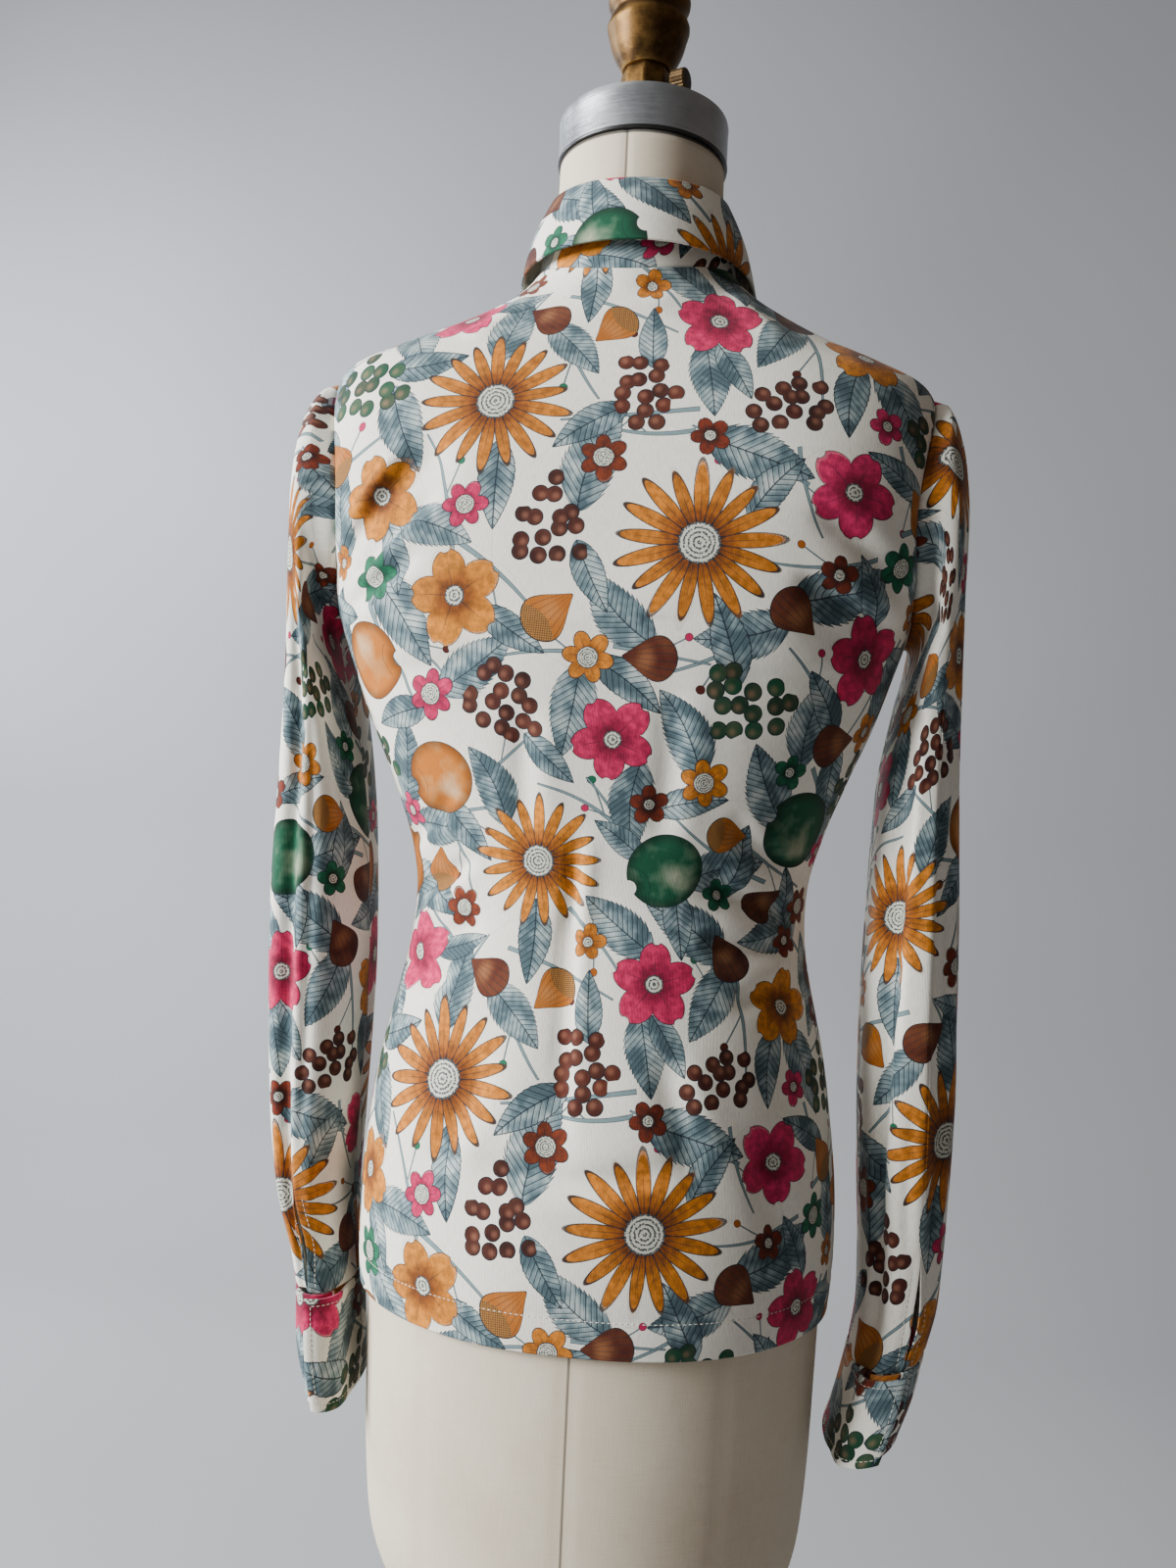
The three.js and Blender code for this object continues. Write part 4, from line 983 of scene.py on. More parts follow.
class MotifGroups:
    """Node groups that draw the motifs of the print, built once."""

    ink = "#2C3A46"
    leaf_tones = ((0.0, "#66797F"), (0.3, "#889A9E"), (0.6, "#AAB7B8"), (1.0, "#D6DBD6"))
    fruit_skins = ("#1B6B50", "#C78530", "#C93C68", "#1B6B50", "#C78530")
    fruit_glow = "#E4DCC6"
    fruit_shade = "#4A4038"
    nut_shells = ("#5E2E1E", "#6E3822", "#6A3320", "#5B2B1E", "#BC7C2E")
    nut_gleam = "#D8A878"
    nut_cup = "#B98B4A"
    cup_seeds = 0.74
    berry_skins = ("#57281C", "#642F1F", "#1B6248", "#642F1F", "#57281C", "#642F1F")
    berry_gleam = "#D9A58C"
    stem_tone = "#93A6A9"
    bud_tones = ("#B9772C", "#6B3325", "#C43C6E", "#2A8063")
    soft_edge = (-0.12, 0.1)
    outline_ink = 0.88
    line_ink = 0.85
    flower_line = 0.5
    heart_line = 0.35
    leaf_line = 0.55
    fruit_line = 0.5
    nut_line = 0.5
    berry_line = 0.6
    stem_line = 0.3
    petal_seeds = 97.0
    berry_seeds = 31.0
    vein_pitch = 4.0
    berry_pitch = 10.4
    berry_half = 5.0

    def __init__(self) -> None:
        """Builds the groups."""
        self.petals = self.build_petals()
        self.flower = self.build_flower()
        self.leaf = self.build_leaf()
        self.fruit = self.build_fruit()
        self.nut = self.build_nut()
        self.berries = self.build_berries()
        self.stem = self.build_stem()

    def inked(self, g: Graph, mask: Value, strength: float, colour: Value) -> bpy.types.NodeSocket:
        """Colour with pen strokes over it where the mask is 1."""
        return g.mix(g.times(mask, strength), colour, linear(self.ink))

    def finish(self, g: Graph, out: bpy.types.Node, colour: Value, edge: Value, line: Value) -> None:
        """Draws the pen line round a motif and puts out its colour and mask.

        Args:
            g: the group's graph.
            out: the node that takes its outputs.
            colour: colour inside.
            edge: distance from the outline in millimetres, above 0 inside.
            line: half the pen line's width.
        """
        pen = g.below(edge, line)
        g.fill(out, Colour=self.inked(g, pen, self.outline_ink, colour), Mask=g.smooth(edge, *self.soft_edge))

    def build_petals(self) -> bpy.types.NodeTree:
        """Distances from the petals and heart of a round flower."""
        g, given, out = new_group("petals", {
            "Place": "Vector", "Count": "Float", "Radius": "Float", "Middle": "Float", "Long": "Float",
            "Wide": "Float", "Notch": "Float", "Heart": "Float",
        }, dict.fromkeys(PETAL_MEASURES, "Float"))
        x, y, seed = g.parts(given["Place"])
        reach = g.hypot(x, y)
        share = g.over(given["Count"], FULL_TURN)
        turn = g.times(g.add(g.math("ARCTAN2", y, x), HALF_TURN), share)
        index = g.floor(turn)
        off = g.over(g.less(g.less(turn, index), 0.5), share)
        chance = g.chance(g.scaled(seed, self.petal_seeds, index))
        radius = g.times(given["Radius"], g.scaled(chance, 0.14, 0.9))
        u = g.times(reach, g.math("COSINE", off))
        v = g.times(reach, g.sine(off))
        du = g.over(g.less(u, g.times(given["Middle"], radius)), g.times(given["Long"], radius))
        dv = g.over(v, g.times(given["Wide"], radius))
        oval = g.times(g.less(1.0, g.hypot(du, dv)), g.times(given["Wide"], radius))
        bite = g.less(g.hypot(g.less(u, g.times(radius, 1.07)), v), g.times(given["Notch"], radius))
        heart = g.less(g.times(given["Heart"], given["Radius"]), reach)
        g.fill(out, Edge=g.lower(oval, bite), Heart_Edge=heart, Along=g.over(u, radius),
               Chance=chance, Side=v)
        return g.tree

    def build_flower(self) -> bpy.types.NodeTree:
        """Colours of a flower from the distances of its petals and heart."""
        g, given, out = new_group("flower", {
            **dict.fromkeys(PETAL_MEASURES, "Float"), "Petal": "Color", "Base": "Color", "Heart": "Color",
            "Rings": "Float", "Mottle": "Float", "Grain": "Float",
        }, {"Colour": "Color", "Mask": "Float"})
        wash = g.scaled(given["Mottle"], 0.5, 0.72)
        wash = g.times(wash, g.scaled(given["Chance"], 0.22, 0.89))
        petal = g.mix(g.smooth(given["Along"], 0.62, 0.2), given["Petal"], given["Base"])
        vein = g.below(g.size(given["Side"]), 0.22)
        vein = g.times(vein, g.smooth(given["Along"], 0.9, 0.45))
        veined = self.inked(g, vein, 0.6, g.shaded(petal, wash))
        petals = self.inked(g, g.below(given["Edge"], self.flower_line), self.line_ink, veined)
        rings = g.sine(g.times(given["Heart Edge"], given["Rings"]))
        dots = g.smooth(g.scaled(rings, 0.24, given["Grain"]), 0.5, 0.68)
        heart = self.inked(g, dots, self.line_ink, given["Heart"])
        heart = self.inked(g, g.below(given["Heart Edge"], self.heart_line), 0.8, heart)
        inside = g.above(given["Heart Edge"], 0.0)
        edge = g.higher(given["Edge"], given["Heart Edge"])
        g.fill(out, Colour=g.mix(inside, petals, heart), Mask=g.smooth(edge, *self.soft_edge))
        return g.tree

    def build_leaf(self) -> bpy.types.NodeTree:
        """A toothed leaf with a midrib and side veins."""
        g, given, out = new_group("leaf", {
            "Place": "Vector", "Half Long": "Float", "Half Wide": "Float", "Mottle": "Float", "Teeth": "Float",
        }, {"Colour": "Color", "Mask": "Float"})
        x, y, seed = g.parts(given["Place"])
        long = given["Half Long"]
        t = g.scaled(g.over(x, long), 0.5, 0.5, clamp=True)
        bend = g.times(g.less(seed, 0.5), 0.014, g.times(x, x))
        side = g.add(y, bend)
        away = g.size(side)
        swell = g.math("POWER", g.sine(g.times(g.math("POWER", t, 0.78), HALF_TURN)), 0.85)
        slant = g.over(g.less(x, g.times(away, 0.9)), self.vein_pitch)
        tooth = g.fract(g.add(slant, 0.4))
        width = g.times(g.scaled(tooth, given["Teeth"], given["Half Wide"]), swell)
        edge = g.less(width, away)
        between = g.fract(slant)
        vein = g.times(g.below(between, 0.16), g.above(edge, 0.6))
        rib = g.below(away, 0.4)
        lit = g.above(side, 0.0)
        tone = g.add(g.times(given["Mottle"], 0.9), g.times(lit, 0.16), g.times(seed, 0.2),
                     g.times(between, 0.22), -0.42)
        colour = g.ramp(tone, self.leaf_tones)
        colour = self.inked(g, g.higher(vein, rib), 0.8, colour)
        self.finish(g, out, colour, edge, self.leaf_line)
        return g.tree

    def build_fruit(self) -> bpy.types.NodeTree:
        """A round fruit with a dark hollow at its stalk."""
        g, given, out = new_group("fruit", {"Place": "Vector", "Radius": "Float", "Mottle": "Float"},
                                  {"Colour": "Color", "Mask": "Float"})
        x, y, seed = g.parts(given["Place"])
        reach = g.hypot(x, g.times(y, 1.06))
        dip = g.hypot(g.less(x, g.times(given["Radius"], 1.04)), y)
        edge = g.lower(g.less(given["Radius"], reach), g.less(dip, g.times(given["Radius"], 0.2)))
        colour = g.choice(seed, self.fruit_skins)
        glow = g.hypot(g.add(x, 6.0), g.less(y, 7.0))
        light = g.add(g.smooth(glow, 15.0, 1.0), g.times(given["Mottle"], 0.8), -0.4)
        pale = g.mix(g.times(g.higher(light, 0.0), 0.42), colour, linear(self.fruit_glow))
        shade = g.smooth(edge, 8.0, 0.0)
        dark = g.mix(g.times(shade, 0.5), pale, linear(self.fruit_shade), "MULTIPLY")
        lines = g.below(g.size(g.less(dip, g.times(given["Radius"], 0.55))), 0.25)
        lines = g.times(lines, g.below(g.size(y), 9.0))
        self.finish(g, out, self.inked(g, lines, 0.6, dark), edge, self.fruit_line)
        return g.tree

    def build_nut(self) -> bpy.types.NodeTree:
        """A nut in its cup."""
        g, given, out = new_group("nut", {"Place": "Vector", "Half Long": "Float", "Half Wide": "Float",
                                          "Mottle": "Float"}, {"Colour": "Color", "Mask": "Float"})
        x, y, seed = g.parts(given["Place"])
        long, wide = given["Half Long"], given["Half Wide"]
        taper = g.times(wide, g.smooth(x, 22.0, -10.0))
        oval = g.hypot(g.over(x, long), g.over(y, g.add(taper, 1.5)))
        edge = g.times(g.less(1.0, oval), wide)
        shell = g.choice(seed, self.nut_shells)
        gleam = g.smooth(g.hypot(g.less(x, 2.0), g.times(y, 0.7)), 7.5, 0.5)
        lines = g.smooth(g.sine(g.times(g.over(y, g.add(taper, 2.0)), 22.0)), 0.6, 1.0)
        body = g.mix(g.add(g.times(gleam, 0.3), g.times(given["Mottle"], 0.16)), shell, linear(self.nut_gleam))
        body = self.inked(g, lines, 0.35, body)
        cup = g.below(x, g.scaled(g.times(y, y), -0.03, -2.5))
        scale_a = g.fract(g.times(g.add(x, y), 0.62))
        scale_b = g.fract(g.times(g.less(x, y), 0.62))
        net = g.below(g.lower(scale_a, scale_b), 0.26)
        cup_colour = self.inked(g, net, 0.75, linear(self.nut_cup))
        colour = g.mix(g.times(cup, g.above(seed, self.cup_seeds)), body, cup_colour)
        self.finish(g, out, colour, edge, self.nut_line)
        return g.tree

    def build_berries(self) -> bpy.types.NodeTree:
        """A bunch of small round berries."""
        g, given, out = new_group("berries", {"Place": "Vector", "Mottle": "Float"},
                                  {"Colour": "Color", "Mask": "Float"})
        x, y, seed = g.parts(given["Place"])
        cell = g.node("ShaderNodeTexVoronoi", voronoi_dimensions="2D", feature="F1")
        pitch = self.berry_pitch
        shift = g.times(seed, self.berry_seeds)
        shifted = g.vector(g.add(shift, g.over(x, pitch)), g.over(y, pitch), 0.0)
        g.fill(cell, Vector=shifted, Scale=1.0, Randomness=0.52)
        cx, cy, _ = g.parts(cell.outputs["Position"])
        middle_x = g.times(g.less(cx, shift), pitch)
        middle_y = g.times(cy, pitch)
        flank = g.scaled(middle_x, 0.3, 19.0)
        bunch = g.hypot(g.over(middle_x, 27.0), g.over(middle_y, flank))
        edge = g.scaled(cell.outputs["Distance"], -pitch, self.berry_half)
        edge = g.less(edge, g.times(g.above(bunch, 1.0), 50.0))
        skin = g.choice(seed, self.berry_skins)
        tone = g.scaled(g.chance(g.add(cx, cy)), 0.5, 0.62)
        skin = g.shaded(skin, tone)
        glint = g.hypot(g.less(g.less(x, middle_x), 1.0), g.less(g.less(y, middle_y), 1.0))
        light = g.times(g.smooth(glint, 3.4, 0.3), 0.26)
        colour = g.mix(g.add(light, g.times(given["Mottle"], 0.14)), skin, linear(self.berry_gleam))
        self.finish(g, out, colour, edge, self.berry_line)
        return g.tree

    def build_stem(self) -> bpy.types.NodeTree:
        """A thin bent stem with side shoots that end in small buds."""
        g, given, out = new_group("stem", {"Place": "Vector", "Half Long": "Float", "Thick": "Float"},
                                  {"Colour": "Color", "Mask": "Float"})
        x, y, seed = g.parts(given["Place"])
        long = given["Half Long"]
        curve = g.times(g.less(seed, 0.5), 0.012, g.times(x, x))
        side = g.less(y, curve)
        ends = g.less(long, g.size(x))
        main = g.less(g.times(given["Thick"], g.scaled(g.over(x, long), -0.3, 0.8)),
                      g.size(side))
        hand = g.math("SIGN", g.less(g.fract(g.times(seed, 7.0)), 0.5))
        shoot_side = g.less(g.times(side, hand), g.times(g.add(x, 4.0), 0.75))
        out_reach = g.lower(g.add(x, 4.0), g.less(13.0, x))
        shoot = g.lower(g.less(0.55, g.size(shoot_side)), out_reach)
        bud = g.less(2.4, g.hypot(g.less(x, 13.0), g.less(g.times(side, hand), 12.7)))
        edge = g.higher(g.lower(main, ends), g.higher(shoot, bud))
        colour = g.mix(g.above(bud, 0.0), linear(self.stem_tone), g.choice(seed, self.bud_tones))
        self.finish(g, out, colour, edge, self.stem_line)
        return g.tree


class PrintedCloth:
    """The print with its cloth, as materials for the right side and the reverse."""

    ground = "#F4F1E7"
    reverse_veil = "#E6E1D0"
    heart = "#D9D8CC"
    depth = 1.38
    stem_thick = 1.3
    wale = 0.00085
    course = 0.0011

    def __init__(self) -> None:
        """Draws the print once, as a node group for both sides."""
        self.layout = PrintLayout()
        self.groups = MotifGroups()
        self.tree = self.build_print()
        self.knit = self.build_knit()
        self.face = self.build_material("printed_jersey", 0.0)
        self.reverse = self.build_material("printed_jersey_reverse", 0.5)

    def build_print(self) -> bpy.types.NodeTree:
        """All the motifs, laid over each other on the ivory ground."""
        g, _, out = new_group("print", {}, {"Colour": "Color"})
        flat = g.pattern()
        mottle = g.smooth(g.noise(flat, 210, 2, 0.6, "2D"), 0.2, 0.8)
        wash = g.smooth(g.noise(flat, 70, 2, 0.55, "2D"), 0.22, 0.78)
        grain = g.noise(flat, 900, 1, 0.5, "2D")
        colour: Value = linear(self.ground)
        for motif in Motif:
            place = g.node("ShaderNodeAttribute", attribute_name="print_" + motif.value).outputs["Vector"]
            drawn = self.draw(g, motif, place, wash if motif in SOFT_MOTIFS else mottle, grain)
            colour = g.mix(drawn.outputs["Mask"], colour, drawn.outputs["Colour"])
        deep = g.fill(g.node("ShaderNodeGamma"), Color=colour, Gamma=self.depth)
        g.fill(out, Colour=deep.outputs[0])
        return g.tree

    def draw(self, g: Graph, motif: Motif, place: Value, mottle: Value, grain: Value) -> bpy.types.Node:
        """Draws one kind of motif.

        Args:
            g: the print's graph.
            motif: the kind.
            place: where each point lies in its nearest motif.
            mottle: uneven wash of the colours.
            grain: fine dots.

        Returns:
            The node with the motif's colour and mask.
        """
        size = MOTIF_SIZES[motif]
        groups = self.groups
        if motif in (Motif.STEM, Motif.TWIG):
            return g.group(groups.stem, Place=place, Half_Long=size.half_long, Thick=self.stem_thick)
        if motif in LEAVES:
            style = LEAVES[motif]
            return g.group(groups.leaf, Place=place, Half_Long=size.half_long,
                           Half_Wide=size.half_wide - style.inset, Mottle=mottle, Teeth=style.teeth)
        if motif is Motif.BERRIES:
            return g.group(groups.berries, Place=place, Mottle=mottle)
        if motif is Motif.NUT:
            return g.group(groups.nut, Place=place, Half_Long=size.half_long, Half_Wide=size.half_wide,
                           Mottle=mottle)
        if motif is Motif.FRUIT:
            return g.group(groups.fruit, Place=place, Radius=size.half_long, Mottle=mottle)
        return self.draw_flower(g, motif, place, mottle, grain)

    def draw_flower(self, g: Graph, motif: Motif, place: Value, mottle: Value, grain: Value) -> bpy.types.Node:
        """Draws one kind of round flower; the arguments are those of draw."""
        style = FLOWERS[motif]
        shape = g.group(self.groups.petals, Place=place, Count=style.count, Radius=MOTIF_SIZES[motif].half_long,
                        Middle=style.middle, Long=style.long, Wide=style.wide, Notch=style.notch,
                        Heart=style.heart)
        measures = {name.replace(" ", "_"): shape.outputs[name] for name in PETAL_MEASURES}
        seed = g.parts(place)[2]
        return g.group(self.groups.flower, **measures, Petal=g.choice(seed, style.petals),
                       Base=g.choice(seed, style.bases), Heart=linear(self.heart), Rings=style.rings,
                       Mottle=mottle, Grain=grain)

    def build_knit(self) -> bpy.types.NodeTree:
        """Relief and shade of the fine knit: wales up the cloth, slight courses and loose fibres."""
        g, _, out = new_group("knit", {}, {"Height": "Float", "Shade": "Float"})
        flat = g.pattern()
        u, v, _ = g.parts(flat)
        rib = g.sine(g.times(u, FULL_TURN / self.wale))
        course = g.sine(g.times(v, FULL_TURN / self.course))
        slub = g.noise(g.vector(u, g.times(v, 0.12), 0.0), 1500, 2, 0.6, "2D")
        fuzz = g.noise(flat, 2600, 1, 0.5, "2D")
        height = g.add(g.times(rib, 0.3), g.times(course, 0.14), g.times(slub, 0.5), g.times(fuzz, 0.35))
        shade = g.scaled(slub, 0.36, g.scaled(rib, 0.03, 0.8))
        g.fill(out, Height=height, Shade=shade)
        return g.tree

    def build_material(self, name: str, fade: float) -> bpy.types.Material:
        """One side of the cloth.

        Args:
            name: name of the material.
            fade: how far the print shows weaker than on the right side.

        Returns:
            The material.
        """
        material = bpy.data.materials.new(name)
        material.use_nodes = True
        g = Graph(material.node_tree)
        shader = material.node_tree.nodes["Principled BSDF"]
        knit = g.group(self.knit)
        printed = g.group(self.tree).outputs["Colour"]
        if fade:
            printed = g.mix(fade, printed, linear(self.reverse_veil))
        g.fill(shader, Base_Color=g.shaded(printed, knit.outputs["Shade"]), Roughness=0.82, Sheen_Weight=0.12,
               Sheen_Roughness=0.45, Specular_IOR_Level=0.25,
               Normal=g.relief(knit.outputs["Height"], 0.35, 0.00025))
        return material

    def dress(self, obj: bpy.types.Object, flat: Array) -> None:
        """Gives a cloth piece both materials and the places of its motifs.

        Args:
            obj: the piece.
            flat: flat pattern at the corners of each face, in millimetres.
        """
        obj.data.materials.append(self.face)
        obj.data.materials.append(self.reverse)
        for motif in Motif:
            layer = obj.data.attributes.new("print_" + motif.value, "FLOAT_VECTOR", "CORNER")
            layer.data.foreach_set("vector", self.layout.local(motif, flat).astype(np.float32).ravel())


def wander(across: Array, up: Array, seed: float) -> Array:
    """Slow uneven rise and fall of hanging cloth, from -1 to 1."""
    a = np.sin(across / 31 + seed) * np.sin(up / 43 + 2.1 * seed)
    b = np.sin(across / 17 - up / 26 + 3.7 * seed)
    c = np.sin(across / 11.5 + up / 15 + 1.3 * seed) * np.sin(up / 19 - seed)
    return (a + 0.6 * b + 0.35 * c) / 1.95


def select_only(obj: bpy.types.Object) -> None:
    """Selects one object alone and makes it active."""
    if bpy.context.object and bpy.context.object.mode != "OBJECT":
        bpy.ops.object.mode_set(mode="OBJECT")
    bpy.ops.object.select_all(action="DESELECT")
    obj.select_set(True)
    bpy.context.view_layer.objects.active = obj


def add_modifier(obj: bpy.types.Object, kind: str, **values: object) -> None:
    """Adds a modifier and sets its values."""
    modifier = obj.modifiers.new(kind.title(), kind)
    for key, value in values.items():
        setattr(modifier, key, value)


def apply_modifiers(obj: bpy.types.Object) -> None:
    """Applies all modifiers of an object, in their order."""
    select_only(obj)
    for modifier in list(obj.modifiers):
        bpy.ops.object.modifier_apply(modifier=modifier.name)


def settle(obj: bpy.types.Object, nodes: Iterable[str]) -> bpy.types.Object:
    """Applies an object's place, and ties it to the part.

    Args:
        obj: the new piece.
        nodes: the CAD nodes that it stands for.

    Returns:
        The same object.
    """
    select_only(obj)
    bpy.ops.object.transform_apply(location=True, rotation=True, scale=True)
    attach(obj, BODY)
    if nodes:
        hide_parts(*nodes)
    LOG.info("%s: %d faces", obj.name, len(obj.data.polygons))
    return obj


def mesh_object(name: str, points: Array, faces: list) -> bpy.types.Object:
    """Object of a mesh given in millimetres, smooth shaded."""
    mesh = bpy.data.meshes.new(name)
    mesh.from_pydata((points.reshape(-1, 3) * MM).tolist(), [], faces)
    mesh.shade_smooth()
    obj = bpy.data.objects.new(name, mesh)
    bpy.context.collection.objects.link(obj)
    return obj


class PieceKind(Enum):
    """Kinds of cloth wall, by the thickness of their layers in millimetres."""

    SINGLE = 1.15
    STAND = 1.3
    FALL = 1.4
    CUFF = 2.0


def cloth_object(name: str, patch: Patch, kind: PieceKind) -> bpy.types.Object:
    """Thin wall of cloth on a patch, with its flat pattern as a UV map.

    Args:
        name: name of the piece.
        patch: the outer surface.
        kind: how many layers the wall has.

    Returns:
        The object, whose second material faces inwards, except on a cuff, whose inner face takes the first.
    """
    faces = patch.faces()
    obj = mesh_object(name, patch.points, faces.tolist())
    layer = obj.data.uv_layers.new(name=PATTERN_MAP)
    layer.data.foreach_set("uv", patch.flat_places(faces).astype(np.float32).ravel())
    if patch.spread:
        patch.flatten(obj, faces)
    PRINT.dress(obj, patch.flat_places(faces) / MM)
    if not patch.closed:
        weld(obj)
    inside = 0 if kind is PieceKind.CUFF else 1
    add_modifier(obj, "SOLIDIFY", thickness=kind.value * MM, offset=-1, use_even_offset=True,
                 material_offset=inside, use_quality_normals=True)
    return obj


def weld(obj: bpy.types.Object) -> None:
    """Joins points that lie in the same place."""
    mesh = bmesh.new()
    mesh.from_mesh(obj.data)
    bmesh.ops.remove_doubles(mesh, verts=mesh.verts, dist=1e-6)
    mesh.to_mesh(obj.data)
    mesh.free()


@dataclass(frozen=True)
class Thread:
    """Sewing thread in millimetres, and the share of the pitch that a stitch fills."""

    radius: float = 0.24
    share: float = 0.72
    pitch: float = 3.1
    sunk: float = 0.75
    sides: int = 6


SEAM_THREAD = Thread()
CUFF_THREAD = Thread(pitch=3.0)
BUTTONHOLE_THREAD = Thread(0.42, 0.98, 0.9)
STITCH_PROFILE = Table(("away", "thick", "lift"), (
    (-1.0, 0.25, 0.15),
    (-0.8, 0.75, 0.7),
    (0.0, 1.0, 1.0),
    (0.8, 0.75, 0.7),
    (1.0, 0.25, 0.15),
))


def stitched(name: str, places: Array, normals: Array, thread: Thread) -> bpy.types.Object:
    """A row of stitches along a line on the cloth.

    Args:
        name: name of the piece.
        places: the line's points, close together.
        normals: the cloth's normals there.
        thread: the thread's sizes.

    Returns:
        One object with all the stitches.
    """
    lengths = np.concatenate([[0], np.cumsum(np.linalg.norm(np.diff(places, axis=0), axis=1))])
    count = max(1, int(lengths[-1] / thread.pitch))
    starts = (np.arange(count) + 0.5) * lengths[-1] / count

    def along(grid: Array, at: Array) -> Array:
        """Values of a grid of the line at lengths along it."""
        return np.stack([np.interp(at, lengths, grid[:, k]) for k in range(3)], axis=-1)

    half = thread.pitch * thread.share / 2
    middle, normal = along(places, starts), unit(along(normals, starts))
    ahead = unit(along(places, starts + half) - along(places, starts - half))
    sideways = np.cross(normal, ahead)
    away, thick, lift = np.array(STITCH_PROFILE.rows).T[..., None]
    centres = middle[:, None] + ahead[:, None] * away * half
    centres = centres + normal[:, None] * (lift - thread.sunk) * thread.radius
    turns = np.arange(thread.sides)[:, None] * FULL_TURN / thread.sides
    rim = sideways[:, None] * np.cos(turns) + normal[:, None] * np.sin(turns)
    points = centres[:, :, None] + rim[:, None] * (thick * thread.radius)[..., None]
    rings, sides = len(STITCH_PROFILE.rows), thread.sides
    faces = []
    for first in range(0, count * rings * sides, rings * sides):
        for i, j in np.ndindex(rings - 1, sides):
            a, b = first + i * sides + j, first + i * sides + (j + 1) % sides
            faces.append((a, b, b + sides, a + sides))
        last = first + (rings - 1) * sides
        faces.append(tuple(first + j for j in reversed(range(sides))))
        faces.append(tuple(last + j for j in range(sides)))
    obj = mesh_object(name, points, faces)
    obj.data.materials.append(THREAD_FINISH.material())
    return settle(obj, ())


@dataclass(frozen=True)
class Trough:
    """A broad soft trough of the back, from one place to another in x and z."""

    start: tuple[float, float]
    end: tuple[float, float]
    wide: float
    deep: float

    def depth(self, x: Array, z: Array) -> Array:
        """Depth of the trough at places."""
        dx, dz = self.end[0] - self.start[0], self.end[1] - self.start[1]
        along = ((x - self.start[0]) * dx + (z - self.start[1]) * dz) / (dx * dx + dz * dz)
        t = np.clip(along, 0, 1)
        gap = np.hypot(x - self.start[0] - t * dx, z - self.start[1] - t * dz)
        return self.deep * bell(gap / self.wide)


